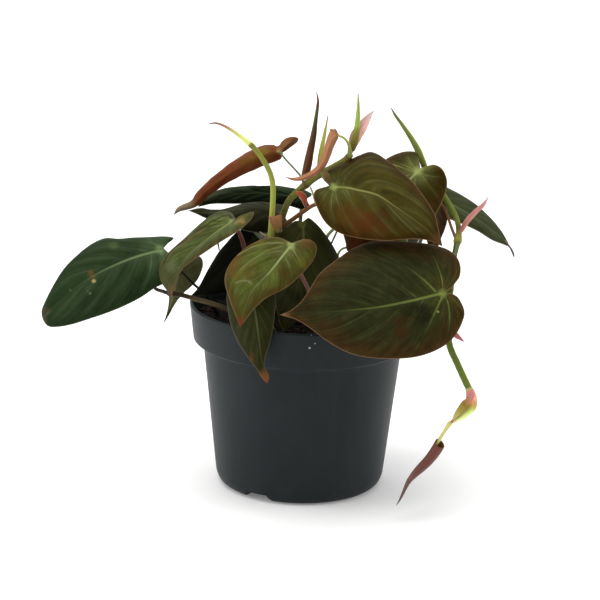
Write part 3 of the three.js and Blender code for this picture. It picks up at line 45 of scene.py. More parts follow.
# ---------------------------------------------------------------- growth tables
LEAVES = {
    "leaf_a": {"on": "vine_left", "phi": 0.5, "ta": 0.248, "tb": 0.281, "N": [-0.063, -0.873, 0.484], "mid": [[-75.7, -8.0, 127.2], [-86.0, -10.0, 124.5], [-95.2, -12.0, 121.3], [-109.1, -15.0, 114.7], [-121.8, -18.0, 106.0], [-131.0, -20.0, 98.2], [-135.1, -21.0, 94.1]], "A": [[-73.9, -7.0, 128.6], [-69.6, -5.1, 131.5], [-68.6, -4.2, 133.1], [-71.8, -3.2, 133.6], [-79.7, -3.2, 133.4], [-89.1, -3.5, 132.7], [-98.0, -3.3, 131.9], [-104.8, -2.2, 131.7], [-110.5, -3.1, 129.3], [-117.6, -6.0, 124.5], [-124.7, -9.0, 118.1], [-130.1, -13.2, 110.4], [-134.4, -17.2, 101.7], [-136.5, -19.8, 95.9], [-136.1, -21.5, 93.1]], "B": [[-73.6, -7.6, 127.7], [-69.3, -9.5, 124.6], [-67.0, -12.4, 118.9], [-69.9, -15.0, 113.1], [-77.6, -17.2, 109.1], [-84.7, -19.5, 104.5], [-93.4, -21.6, 100.2], [-102.7, -23.1, 96.4], [-111.9, -24.1, 93.2], [-120.2, -24.7, 90.4], [-127.5, -24.4, 88.8], [-132.5, -24.2, 88.9], [-135.0, -22.9, 91.1], [-136.1, -21.5, 93.1]], "stalk": [[-75.8, -5.5, 125.7, 0.9], [-77.5, -1.0, 118.7, 0.85], [-79.5, -2.0, 111.3, 0.85], [-78.3, -8.0, 106.8, 0.9], [-73.5, -15.5, 106.9, 1.0], [-69.1, -20.0, 106.9, 1.05]]},
    "leaf_b": {"on": "soil", "phi": 0.55, "ta": 0.278, "tb": 0.373, "N": [-0.661, -0.282, 0.696], "mid": [[-37.7, -33.0, 149.9], [-42.8, -34.5, 146.7], [-47.3, -36.0, 143.5], [-53.3, -37.5, 139.0], [-58.8, -39.0, 134.5], [-63.8, -40.0, 127.7], [-66.7, -40.5, 120.3], [-68.4, -41.0, 114.0], [-68.7, -41.0, 111.9]], "A": [[-35.8, -30.0, 150.5], [-37.5, -24.0, 151.8], [-40.2, -19.0, 151.9], [-43.9, -17.0, 151.5], [-48.1, -16.0, 149.7], [-52.6, -17.0, 146.4], [-59.7, -20.0, 140.6], [-66.2, -24.0, 135.0], [-71.6, -28.0, 130.1], [-74.7, -31.0, 125.0], [-74.8, -33.0, 120.7], [-73.1, -36.0, 116.8], [-70.3, -39.0, 114.0], [-68.7, -41.0, 111.9]], "B": [[-34.7, -34.0, 151.8], [-30.5, -39.0, 156.4], [-26.7, -42.0, 158.0], [-27.3, -45.0, 155.9], [-30.3, -47.0, 152.7], [-34.2, -49.0, 149.7], [-38.2, -50.0, 147.2], [-44.7, -51.0, 143.1], [-51.7, -51.5, 138.1], [-57.8, -51.0, 133.6], [-62.4, -49.5, 129.1], [-65.2, -47.0, 122.8], [-67.1, -43.5, 116.4], [-68.7, -41.0, 111.9]], "stalk": [[-37.0, -31.0, 148.3, 0.95], [-34.7, -30.0, 144.9, 1.0], [-32.8, -31.0, 141.0, 1.15], [-31.1, -33.0, 135.7, 1.2], [-28.0, -34.0, 125.9, 1.2], [-24.7, -31.0, 113.4, 1.2], [-22.5, -26.0, 100.1, 1.25], [-21.3, -24.0, 89.8, 1.3]]},
    "leaf_c": {"on": "soil", "phi": 0.5, "ta": 0.466, "tb": 0.293, "N": [-0.174, 0.977, -0.121], "mid": [[-64.6, -12.0, 117.2], [-66.4, -12.5, 111.4], [-67.6, -13.0, 106.0], [-69.1, -13.5, 100.2], [-71.3, -14.0, 94.2], [-73.3, -14.5, 88.6]], "A": [[-63.1, -11.4, 119.0], [-59.8, -10.4, 124.0], [-56.8, -8.9, 125.3], [-54.0, -6.8, 123.1], [-53.2, -5.5, 119.3], [-54.2, -5.5, 115.1], [-56.4, -6.5, 110.5], [-59.7, -8.4, 107.4], [-62.7, -10.3, 105.1], [-65.5, -11.7, 101.9], [-68.0, -12.8, 98.1], [-70.0, -13.4, 94.1], [-73.3, -14.5, 88.6]], "B": [[-65.2, -11.4, 118.9], [-68.2, -9.5, 120.5], [-71.4, -7.7, 119.9], [-73.0, -7.5, 116.9], [-72.6, -9.0, 112.4], [-71.1, -10.8, 108.0], [-70.5, -12.1, 103.5], [-70.7, -13.1, 98.9], [-71.5, -13.9, 94.5], [-73.3, -14.5, 88.6]], "stalk": [[-64.0, -14.5, 117.4, 0.6], [-61.6, -15.0, 115.2, 0.62], [-59.1, -12.5, 111.8, 0.65], [-56.0, -8.0, 107.6, 0.7], [-52.0, -3.0, 102.5, 0.8], [-47.7, 0.0, 95.1, 0.9], [-44.5, 1.0, 88.3, 1.0]]},
    "leaf_d": {"on": "soil", "phi": 0.6, "ta": 0.193, "tb": 0.383, "N": [0.043, -0.89, 0.454], "mid": [[-7.2, -50.0, 142.8], [-12.1, -54.0, 137.2], [-16.9, -58.0, 131.6], [-21.9, -61.0, 126.8], [-26.3, -63.5, 122.1], [-29.1, -66.0, 115.4], [-30.7, -68.0, 110.2], [-31.9, -69.0, 104.6]], "A": [[-7.7, -49.3, 144.2], [-9.3, -48.9, 145.1], [-12.9, -48.2, 146.5], [-19.0, -48.1, 146.5], [-24.5, -49.1, 144.5], [-30.0, -50.8, 141.4], [-35.4, -53.5, 137.0], [-39.3, -56.8, 131.5], [-40.4, -59.7, 126.5], [-39.2, -62.5, 121.5], [-36.7, -65.8, 115.4], [-33.7, -68.2, 109.1], [-31.9, -69.0, 104.6]], "B": [[-6.2, -49.3, 143.7], [-4.2, -48.4, 144.8], [-1.2, -48.2, 146.0], [2.4, -48.8, 145.9], [5.3, -49.2, 143.9], [6.0, -49.2, 140.3], [4.5, -50.9, 135.7], [-0.7, -55.1, 129.9], [-8.6, -60.2, 123.6], [-19.1, -64.4, 118.6], [-25.5, -67.0, 112.9], [-29.4, -68.6, 107.7], [-31.9, -69.0, 104.6]], "stalk": [[-6.9, -47.0, 140.9, 0.9], [-4.5, -43.5, 133.4, 0.95], [-1.5, -43.2, 125.5, 1.05], [2.1, -45.0, 118.6, 1.05], [4.5, -47.5, 112.0, 1.1], [6.0, -48.5, 104.3, 1.15], [6.7, -48.0, 96.1, 1.2], [6.9, -46.0, 91.3, 1.25]]},
    "leaf_e": {"on": "soil", "phi": 0.5, "ta": 0.353, "tb": 0.283, "N": [-0.176, -0.942, 0.286], "mid": [[-27.4, -56.0, 121.0], [-26.0, -59.5, 116.2], [-24.5, -62.5, 110.8], [-22.5, -66.0, 99.7], [-20.7, -67.0, 87.9], [-19.3, -67.5, 80.6], [-17.4, -67.5, 74.6]], "A": [[-28.5, -54.8, 122.2], [-32.6, -52.7, 124.2], [-37.3, -50.0, 121.7], [-39.5, -49.4, 115.6], [-39.0, -52.3, 109.0], [-37.0, -56.1, 101.2], [-33.4, -60.2, 94.0], [-28.1, -63.9, 87.0], [-23.1, -66.4, 81.5], [-19.9, -67.1, 76.8], [-17.4, -67.5, 74.6]], "B": [[-26.5, -54.9, 122.3], [-21.5, -51.5, 124.1], [-16.9, -49.9, 122.2], [-14.2, -52.3, 117.1], [-14.2, -57.3, 110.1], [-15.2, -62.2, 101.4], [-16.8, -64.8, 93.7], [-19.1, -66.8, 86.3], [-18.7, -67.1, 82.7], [-16.7, -67.0, 78.2], [-17.4, -67.5, 74.6]], "stalk": [[-26.9, -53.5, 119.2, 0.8], [-24.3, -50.0, 113.5, 0.85], [-20.7, -47.0, 106.9, 0.9], [-17.0, -43.0, 99.4, 1.0], [-14.3, -38.0, 91.0, 1.1]]},
    "leaf_f": {"on": "vine_right", "phi": 0.42, "ta": 0.363, "tb": 0.296, "N": [-0.055, -0.883, 0.466], "mid": [[70.0, -64.0, 123.7], [61.1, -66.0, 121.7], [52.4, -67.5, 119.8], [39.5, -68.5, 117.1], [26.7, -68.5, 115.2], [13.4, -67.5, 113.5], [1.3, -65.5, 112.4], [-5.8, -64.0, 111.0], [-12.1, -62.5, 109.6]], "A": [[72.5, -63.1, 124.9], [75.2, -61.9, 126.7], [78.4, -60.2, 130.8], [79.1, -57.3, 135.8], [77.1, -53.9, 140.3], [72.5, -50.8, 143.2], [65.4, -48.8, 144.9], [55.8, -48.1, 145.8], [44.1, -47.5, 146.1], [32.9, -47.0, 145.1], [23.4, -49.1, 141.5], [14.4, -52.6, 135.6], [7.4, -55.7, 129.8], [2.5, -59.9, 122.4], [-2.1, -62.5, 116.1], [-6.8, -63.0, 112.2], [-12.1, -62.5, 109.6]], "B": [[73.0, -63.7, 123.7], [77.1, -64.0, 122.6], [79.9, -65.7, 119.2], [81.5, -67.4, 114.8], [80.2, -68.8, 109.1], [77.3, -70.8, 103.8], [73.3, -72.5, 99.7], [65.8, -74.5, 95.7], [56.3, -75.9, 93.0], [43.2, -76.5, 92.0], [28.0, -75.9, 93.0], [20.4, -74.6, 95.3], [11.2, -72.2, 99.9], [3.0, -68.8, 105.2], [-3.7, -65.7, 108.3], [-8.0, -64.1, 109.1], [-12.1, -62.5, 109.6]], "stalk": [[70.0, -60.5, 123.5, 1.2], [72.1, -52.0, 127.2, 1.15], [75.2, -43.5, 133.4, 1.1], [77.7, -34.5, 138.4, 1.1], [78.7, -28.0, 141.5, 1.15]]},
    "leaf_g": {"on": "vine_main", "phi": 0.5, "ta": 0.231, "tb": 0.386, "N": [-0.073, -0.777, 0.625], "mid": [[13.5, -37.0, 170.7], [19.6, -38.5, 171.0], [26.0, -40.0, 170.2], [35.8, -43.0, 168.6], [46.1, -47.5, 163.2], [53.2, -51.0, 159.3], [59.3, -54.0, 155.6], [64.9, -57.0, 151.0], [69.3, -59.0, 146.7]], "A": [[11.9, -35.6, 171.9], [10.3, -32.7, 174.5], [10.5, -29.8, 177.5], [13.8, -28.7, 179.4], [19.3, -27.6, 181.9], [25.7, -24.9, 184.6], [32.0, -22.9, 186.5], [36.1, -24.2, 185.8], [40.2, -27.1, 183.9], [46.4, -31.0, 180.3], [54.1, -36.6, 174.3], [61.3, -43.9, 166.8], [65.6, -49.5, 160.6], [67.2, -53.9, 155.0], [69.3, -59.0, 146.7]], "B": [[11.2, -36.3, 170.7], [6.8, -36.3, 170.3], [4.1, -37.6, 168.8], [3.7, -39.8, 165.9], [5.6, -43.0, 161.0], [9.5, -46.4, 154.9], [13.9, -49.2, 151.5], [19.0, -51.6, 149.7], [27.7, -54.1, 148.5], [41.3, -56.9, 148.4], [54.8, -57.7, 149.9], [62.9, -58.2, 149.2], [69.3, -59.0, 146.7]], "stalk": [[13.1, -33.5, 170.6, 1.1], [10.9, -30.5, 171.9, 1.05], [9.1, -28.5, 173.2, 1.0], [7.8, -25.0, 174.4, 1.05]]},
    "leaf_h": {"on": "vine_main", "phi": 0.5, "ta": 0.336, "tb": 0.353, "N": [-0.132, -0.833, 0.537], "mid": [[57.1, -20.0, 176.1], [52.8, -22.5, 171.8], [47.0, -26.0, 165.1], [40.0, -30.0, 157.5], [33.0, -33.5, 150.3], [27.0, -36.0, 143.9], [21.5, -38.0, 137.4]], "A": [[58.1, -19.1, 177.4], [57.7, -16.4, 181.0], [56.7, -14.2, 184.4], [51.4, -10.8, 184.4], [45.8, -10.1, 182.6], [40.7, -10.4, 179.9], [35.6, -11.7, 175.6], [31.1, -15.5, 169.5], [26.6, -20.6, 162.2], [22.7, -26.4, 154.0], [19.3, -31.2, 146.1], [20.7, -35.5, 140.9], [21.5, -38.0, 137.4]], "B": [[58.6, -19.3, 177.3], [60.9, -19.0, 178.5], [64.7, -19.9, 179.8], [68.8, -21.4, 178.5], [71.3, -22.6, 174.9], [72.3, -23.3, 169.9], [71.2, -24.9, 164.9], [69.0, -27.2, 159.6], [66.3, -29.3, 155.3], [58.7, -33.2, 148.7], [48.5, -36.9, 143.1], [38.3, -39.0, 139.7], [29.2, -39.1, 138.1], [21.5, -38.0, 137.4]], "stalk": [[57.0, -17.0, 174.8, 1.05], [53.9, -11.0, 170.0, 1.0], [47.1, -5.0, 163.6, 1.0], [36.9, -2.0, 158.3, 1.0], [23.9, -5.0, 156.0, 1.0], [12.9, -11.0, 156.2, 1.0], [4.6, -15.0, 155.6, 1.05], [-0.5, -16.5, 152.7, 1.15], [-6.1, -16.5, 148.3, 1.2], [-11.4, -16.5, 144.4, 1.25]]},
    "leaf_i": {"on": "soil", "phi": 0.5, "ta": 0.228, "tb": 0.233, "N": [0.396, -0.435, 0.809], "mid": [[66.9, 6.0, 157.0], [72.3, 7.0, 154.2], [77.7, 8.0, 151.1], [84.7, 8.0, 147.2], [92.1, 6.0, 143.3], [99.0, 3.0, 139.1], [104.2, -1.0, 135.4], [107.5, -4.0, 132.0], [109.4, -6.0, 127.7]], "A": [[65.3, 6.7, 158.4], [63.8, 9.7, 160.9], [66.0, 14.7, 162.1], [70.4, 17.3, 160.8], [74.7, 18.1, 158.5], [81.8, 19.2, 154.6], [89.8, 18.2, 149.9], [97.7, 12.4, 144.2], [103.3, 5.1, 138.7], [106.5, -1.8, 133.8], [108.1, -4.4, 131.0], [109.4, -6.0, 127.7]], "B": [[65.3, 3.5, 156.5], [64.2, -1.2, 153.9], [66.8, -3.0, 150.7], [72.2, -1.9, 147.6], [78.1, -0.7, 145.0], [84.5, -0.1, 142.5], [90.9, -1.0, 139.7], [97.7, -3.2, 136.1], [104.1, -3.8, 133.7], [107.0, -4.0, 132.3], [108.4, -4.9, 130.1], [109.4, -6.0, 127.7]], "stalk": [[67.1, 4.0, 156.5, 0.95], [65.7, 7.0, 148.6, 0.95], [62.6, 10.0, 135.8, 1.0], [56.9, 13.0, 118.4, 1.05], [50.6, 14.0, 102.5, 1.15], [46.2, 14.0, 90.7, 1.2]]},
    "leaf_j": {"on": "vine_right", "phi": 0.5, "ta": 0.246, "tb": 0.261, "N": [0.058, 0.976, -0.212], "mid": [[67.4, -11.0, 157.0], [67.2, -12.0, 152.5], [67.1, -13.0, 147.4], [66.8, -14.0, 141.2], [66.5, -15.0, 135.0], [66.1, -16.0, 128.8]], "A": [[67.8, -10.6, 158.6], [69.9, -9.7, 159.2], [72.1, -9.1, 156.7], [73.3, -9.2, 152.5], [73.5, -10.0, 147.3], [72.3, -11.4, 142.8], [70.6, -13.0, 138.6], [68.9, -14.4, 133.8], [66.1, -16.0, 128.8]], "B": [[66.6, -10.4, 158.5], [63.7, -9.1, 158.9], [60.8, -7.9, 155.5], [59.9, -8.4, 150.3], [60.8, -10.4, 144.4], [62.8, -12.8, 138.6], [64.5, -14.7, 133.2], [66.1, -16.0, 128.8]], "stalk": [[67.7, -13.5, 157.6, 0.75], [69.8, -15.0, 157.9, 0.75], [72.7, -17.0, 153.4, 0.75], [74.9, -20.5, 147.9, 0.75], [77.1, -25.5, 143.4, 0.8], [78.2, -27.0, 142.3, 0.8]]},
    "leaf_l": {"on": "soil", "phi": 0.55, "ta": 0.248, "tb": 0.283, "N": [0.017, -0.068, 0.998], "mid": [[-1.7, 35.0, 145.7], [-8.6, 35.0, 146.9], [-18.3, 35.0, 148.0], [-30.0, 34.0, 148.3], [-40.6, 31.0, 147.6], [-48.9, 26.0, 146.5], [-54.5, 20.0, 145.4], [-57.1, 17.0, 144.5]], "A": [[0.5, 37.0, 146.4], [3.1, 43.0, 146.6], [0.9, 50.0, 146.5], [-5.6, 53.0, 146.7], [-14.2, 54.0, 147.4], [-24.0, 53.0, 147.8], [-36.8, 49.0, 147.9], [-47.9, 42.0, 147.6], [-53.4, 32.0, 146.5], [-56.0, 23.0, 145.4], [-57.1, 17.0, 144.5]], "B": [[0.5, 34.0, 144.9], [2.2, 28.0, 143.8], [-2.1, 23.0, 143.3], [-8.4, 20.0, 145.8], [-16.4, 18.5, 146.8], [-25.4, 18.0, 147.1], [-34.9, 18.0, 147.0], [-43.9, 18.0, 146.9], [-50.2, 18.0, 146.2], [-54.4, 17.5, 145.1], [-57.1, 17.0, 144.5]], "stalk": [[-2.2, 35.5, 144.8, 1.0], [-2.5, 34.0, 138.8, 1.0], [-3.3, 29.0, 129.0, 1.05], [-4.6, 24.0, 117.1, 1.1], [-5.9, 19.0, 104.0, 1.2], [-6.7, 16.0, 93.2, 1.3]]},
    "leaf_m": {"on": "soil", "phi": 0.5, "ta": 0.253, "tb": 0.261, "N": [0.104, -0.359, 0.928], "mid": [[-13.0, 2.0, 146.2], [-19.8, 1.0, 148.2], [-27.2, 0.0, 149.1], [-34.4, -1.5, 148.7], [-41.7, -3.0, 147.6], [-49.0, -4.0, 146.9], [-55.2, -4.5, 147.1], [-61.5, -4.5, 148.0]], "A": [[-11.5, 4.0, 146.8], [-10.5, 9.0, 147.7], [-13.7, 13.0, 148.3], [-19.0, 15.0, 148.4], [-25.9, 15.0, 148.5], [-33.2, 13.5, 147.9], [-39.4, 10.0, 146.7], [-44.6, 6.0, 146.0], [-49.7, 1.5, 147.5], [-54.8, -2.0, 149.0], [-61.5, -4.5, 148.0]], "B": [[-11.4, 1.0, 145.5], [-9.7, -2.0, 143.0], [-12.7, -5.0, 139.4], [-19.5, -7.0, 137.6], [-26.8, -8.5, 138.1], [-34.1, -9.0, 139.7], [-41.4, -8.5, 141.8], [-47.7, -7.5, 143.5], [-53.0, -6.5, 145.0], [-57.2, -5.5, 146.6], [-61.5, -4.5, 148.0]], "stalk": [[-13.3, 4.0, 144.9, 0.95], [-13.4, 8.0, 136.5, 0.95], [-12.6, 9.0, 124.3, 1.0], [-11.7, 8.0, 110.8, 1.1], [-10.9, 8.0, 97.1, 1.2]]},
    "leaf_n": {"on": "soil", "phi": 0.5, "ta": 0.195, "tb": 0.175, "N": [-0.001, -0.938, 0.347], "mid": [[-26.3, -3.0, 134.2], [-30.8, -5.0, 129.5], [-35.4, -7.0, 124.8], [-41.0, -9.5, 119.3], [-47.1, -11.5, 113.8], [-52.7, -13.0, 108.9], [-58.9, -13.0, 104.4]], "A": [[-26.8, -2.3, 135.9], [-29.0, -1.5, 137.8], [-33.7, -1.2, 137.6], [-37.8, -2.3, 134.8], [-41.4, -4.0, 130.8], [-44.9, -5.8, 126.9], [-47.9, -8.0, 122.3], [-50.9, -10.1, 117.1], [-54.3, -12.4, 110.3], [-56.4, -12.8, 107.1], [-58.9, -13.0, 104.4]], "B": [[-24.7, -3.2, 133.8], [-22.5, -3.9, 131.8], [-21.9, -5.3, 127.4], [-23.3, -7.1, 121.8], [-26.8, -9.2, 115.8], [-31.9, -11.5, 110.9], [-38.1, -13.1, 107.6], [-44.8, -14.1, 105.9], [-51.1, -14.3, 104.8], [-55.8, -13.7, 104.2], [-58.9, -13.0, 104.4]], "stalk": [[-26.0, -0.5, 132.5, 0.95], [-24.7, 4.0, 125.3, 0.95], [-23.4, 7.0, 113.6, 1.0], [-23.2, 8.0, 101.2, 1.1], [-23.5, 8.0, 92.3, 1.2]]},
    "leaf_o": {"on": "soil", "phi": 0.5, "ta": 0.221, "tb": 0.208, "N": [0.079, -0.861, 0.503], "mid": [[-1.3, -23.0, 146.9], [-0.8, -27.0, 138.1], [-1.4, -31.0, 129.0], [-2.7, -36.0, 120.8], [-4.7, -41.5, 112.7], [-7.3, -46.5, 105.5], [-10.4, -51.0, 97.7]], "A": [[-2.7, -22.2, 148.0], [-5.0, -21.4, 148.5], [-9.1, -21.2, 145.4], [-13.6, -20.8, 140.9], [-16.6, -21.7, 134.1], [-18.2, -24.5, 126.8], [-18.2, -29.9, 119.7], [-16.4, -37.3, 112.7], [-13.8, -44.1, 106.2], [-12.1, -48.3, 101.1], [-10.4, -51.0, 97.7]], "B": [[-0.6, -22.2, 148.3], [1.2, -21.0, 150.1], [4.8, -21.0, 147.9], [10.1, -21.7, 142.3], [14.4, -22.4, 136.4], [17.7, -23.4, 129.6], [18.4, -26.4, 121.8], [15.5, -31.9, 114.7], [9.5, -38.5, 108.9], [2.4, -44.0, 104.7], [-4.2, -47.9, 101.4], [-7.7, -49.8, 99.0], [-10.4, -51.0, 97.7]], "stalk": [[-1.0, -20.5, 145.2, 0.95], [0.5, -16.0, 135.2, 1.0], [2.3, -12.0, 123.9, 1.05], [3.7, -9.0, 110.6, 1.15], [4.0, -8.0, 95.5, 1.25]]},
    "leaf_k": {"on": "vine_main", "phi": 2.6, "ta": 0.175, "tb": 0.338, "N": [-0.0, 0.961, -0.278], "NA": [0.527, -0.236, -0.816], "NB": [-0.527, 0.236, 0.816], "mid": [[-14.1, -15.0, 183.1], [-20.3, -17.0, 182.6], [-25.3, -18.0, 180.6], [-34.0, -19.5, 176.2], [-42.1, -20.5, 171.0], [-50.7, -21.0, 164.0], [-55.3, -21.0, 159.1], [-58.3, -20.5, 155.7], [-63.0, -19.5, 153.5], [-66.1, -19.0, 151.9], [-68.3, -18.5, 149.0]], "A": [[-13.1, -14.0, 183.4], [-15.3, -6.0, 183.6], [-20.1, -6.0, 178.9], [-25.1, -7.0, 177.0], [-33.7, -9.6, 173.0], [-41.8, -12.6, 168.4], [-50.5, -14.4, 161.8], [-55.1, -15.0, 157.1], [-58.3, -16.4, 154.3], [-63.0, -16.3, 152.4], [-66.1, -16.8, 151.2], [-68.3, -18.5, 149.0]], "B": [[-12.6, -14.5, 184.0], [-9.6, -15.0, 187.7], [-5.5, -14.0, 190.4], [-5.0, -11.0, 188.2], [-8.5, -7.0, 184.0], [-13.7, -6.0, 180.4], [-20.7, -6.0, 181.0], [-26.0, -7.0, 178.9], [-34.6, -9.6, 174.6], [-42.7, -12.6, 169.6], [-51.3, -14.4, 162.8], [-55.9, -15.0, 157.9], [-58.7, -16.4, 155.0], [-63.2, -16.3, 153.0], [-66.3, -16.8, 151.5], [-68.3, -18.5, 149.0]], "stalk": [[-13.3, -15.5, 181.9, 0.55], [-10.4, -17.0, 178.9, 0.5], [-6.7, -18.5, 175.4, 0.5], [-3.2, -19.5, 171.7, 0.55], [-1.4, -20.8, 168.6, 0.6]]},
    "young_leaf_pink": {"on": "vine_main", "phi": 2.1, "ta": 0.201, "tb": 0.185, "N": [-0.0, 0.961, -0.278], "NA": [0.64, -0.214, -0.738], "NB": [-0.64, 0.214, 0.738], "mid": [[14.8, -34.0, 197.2], [13.0, -35.0, 195.8], [11.3, -35.5, 192.8], [10.2, -35.5, 188.8], [8.5, -35.0, 183.7], [5.6, -34.0, 178.9], [1.1, -33.0, 175.5], [-3.5, -32.0, 173.4], [-7.5, -31.0, 172.9], [-11.1, -30.0, 173.6]], "A": [[15.5, -33.5, 197.6], [13.4, -31.0, 199.7], [12.7, -27.3, 194.4], [12.0, -28.4, 190.8], [10.8, -28.9, 187.1], [9.1, -29.2, 182.1], [5.9, -29.1, 177.4], [1.3, -29.2, 174.3], [-3.4, -29.1, 172.4], [-7.6, -29.2, 172.2], [-11.1, -30.0, 173.6]], "B": [[16.1, -33.5, 197.1], [11.4, -32.0, 199.8], [11.9, -27.3, 195.3], [10.8, -28.4, 191.3], [9.6, -28.9, 187.4], [8.1, -29.2, 182.6], [5.3, -29.1, 178.1], [0.9, -29.2, 174.9], [-3.5, -29.1, 173.0], [-7.5, -29.2, 172.6], [-11.1, -30.0, 173.6]], "stalk": [[15.7, -33.5, 196.7, 0.55], [17.6, -33.0, 195.9, 0.6], [19.7, -32.0, 194.0, 0.65], [21.2, -30.5, 190.8, 0.75], [21.7, -28.5, 187.2, 0.9], [21.3, -26.0, 184.0, 1.0]]},
    "young_leaf_hanging": {"on": "free", "phi": 2.6, "ta": 0.16, "tb": 0.183, "N": [-0.0, 0.961, -0.278], "NA": [0.851, -0.146, -0.504], "NB": [-0.851, 0.146, 0.504], "mid": [[70.9, -63.0, 44.2], [68.2, -64.0, 40.2], [65.2, -65.0, 36.1], [61.3, -66.0, 31.2], [57.3, -66.0, 27.3], [54.4, -65.5, 22.1], [52.0, -65.0, 16.5], [50.4, -64.5, 11.3], [49.5, -64.0, 8.4]], "A": [[71.4, -62.5, 44.9], [70.3, -59.0, 45.0], [69.6, -52.8, 35.7], [66.7, -53.2, 31.3], [62.5, -55.6, 26.9], [58.2, -58.3, 24.1], [55.0, -61.0, 20.3], [52.4, -62.1, 15.3], [50.6, -62.7, 10.6], [49.5, -64.0, 8.4]], "B": [[71.9, -62.5, 44.6], [75.0, -59.5, 42.1], [67.9, -52.8, 37.0], [64.9, -53.2, 32.8], [61.0, -55.6, 28.3], [57.1, -58.3, 25.1], [54.2, -61.0, 20.8], [51.9, -62.1, 15.5], [50.3, -62.7, 10.7], [49.5, -64.0, 8.4]], "stalk": [[71.7, -62.3, 45.7, 0.75], [73.6, -62.0, 49.1, 0.75], [76.6, -61.7, 53.9, 0.8]]},
    "leaf_rear_1": {"on": "vine_back", "phi": 0.5, "ta": 0.373, "tb": 0.373, "N": [0.002, 0.676, 0.737], "mid": [[-18.0, 57.0, 103.0], [-20.5, 66.6, 92.4], [-23.4, 74.3, 80.3], [-26.5, 79.8, 66.6], [-28.4, 82.0, 57.8], [-29.8, 82.9, 51.7]], "A": [[-18.2, 54.0, 105.9], [-20.9, 50.9, 109.2], [-26.2, 48.0, 112.6], [-32.3, 49.6, 112.3], [-37.1, 54.6, 108.5], [-39.9, 61.1, 102.3], [-40.5, 67.6, 94.1], [-38.7, 73.7, 83.4], [-34.9, 78.5, 71.3], [-32.2, 81.0, 62.3], [-30.5, 82.2, 56.3], [-29.8, 82.9, 51.7]], "B": [[-16.5, 54.2, 105.7], [-12.6, 51.8, 108.2], [-6.3, 50.4, 110.3], [-0.8, 53.3, 108.7], [1.9, 59.2, 104.1], [1.6, 66.0, 97.7], [-1.6, 72.3, 89.7], [-8.0, 77.4, 79.9], [-16.7, 80.7, 69.2], [-23.1, 82.1, 61.3], [-27.2, 82.6, 56.0], [-29.8, 82.9, 51.7]], "stalk": [[-17.6, 55.5, 101.3, 1], [-15.0, 48.0, 100.0, 1], [-10.0, 39.0, 99.5, 1.05], [-5.0, 33.0, 99.0, 1.1]]},
    "leaf_rear_2": {"on": "soil", "phi": 0.5, "ta": 0.373, "tb": 0.371, "N": [0.187, 0.579, 0.794], "mid": [[40.0, 46.0, 113.0], [46.2, 55.1, 103.5], [52.2, 62.6, 92.6], [57.9, 68.3, 80.2], [61.1, 70.9, 72.1], [63.2, 72.2, 66.6]], "A": [[37.6, 43.6, 115.4], [33.1, 42.5, 117.6], [26.8, 43.0, 119.5], [23.0, 47.6, 118.0], [22.8, 54.3, 113.9], [25.8, 61.0, 108.1], [31.2, 66.6, 101.0], [39.5, 70.3, 92.2], [49.2, 71.9, 82.5], [56.1, 72.2, 75.3], [60.4, 72.1, 70.4], [63.2, 72.2, 66.6]], "B": [[39.0, 42.9, 115.6], [40.2, 38.9, 118.6], [43.8, 34.3, 121.8], [49.8, 33.8, 121.7], [56.0, 37.2, 118.5], [61.1, 42.9, 113.0], [64.4, 49.5, 105.6], [65.6, 56.9, 95.8], [64.7, 63.9, 84.7], [63.8, 68.2, 76.4], [63.2, 70.7, 70.8], [63.2, 72.2, 66.6]], "stalk": [[39.2, 44.8, 111.0, 1], [36.0, 38.0, 104.0, 1], [31.0, 30.0, 96.0, 1.1], [27.0, 24.0, 88.0, 1.2], [25.0, 22.0, 78.0, 1.2]]},
    "leaf_rear_3": {"on": "soil", "phi": 0.5, "ta": 0.373, "tb": 0.373, "N": [0.058, 0.172, 0.983], "mid": [[33.0, 22.0, 158.0], [32.3, 35.1, 154.7], [31.8, 47.6, 149.5], [31.3, 59.3, 142.3], [31.1, 65.9, 137.1], [31.0, 70.0, 133.2]], "A": [[32.5, 18.3, 158.8], [29.7, 14.5, 159.9], [24.6, 11.2, 161.3], [19.2, 13.2, 162.0], [15.4, 19.5, 161.6], [13.9, 27.9, 160.2], [14.5, 37.2, 157.1], [17.8, 47.3, 152.1], [23.1, 56.9, 145.4], [27.0, 63.2, 140.0], [29.5, 67.1, 136.2], [31.0, 70.0, 133.2]], "B": [[34.0, 18.3, 158.7], [37.2, 14.8, 159.4], [42.8, 11.9, 160.1], [48.0, 14.4, 160.1], [51.0, 21.0, 159.3], [51.7, 29.5, 157.7], [50.1, 38.8, 154.8], [45.9, 48.5, 150.2], [39.8, 57.6, 144.3], [35.4, 63.6, 139.5], [32.6, 67.2, 136.0], [31.0, 70.0, 133.2]], "stalk": [[32.5, 21.0, 155.8, 0.9], [28.0, 16.0, 149.0, 0.9], [18.0, 8.0, 140.0, 0.9], [11.5, -1.0, 135.0, 0.9], [9.0, -2.0, 128.0, 0.95], [8.5, 4.0, 112.0, 1.05], [9.0, 8.0, 96.0, 1.15], [9.0, 9.0, 78.0, 1.15]]},
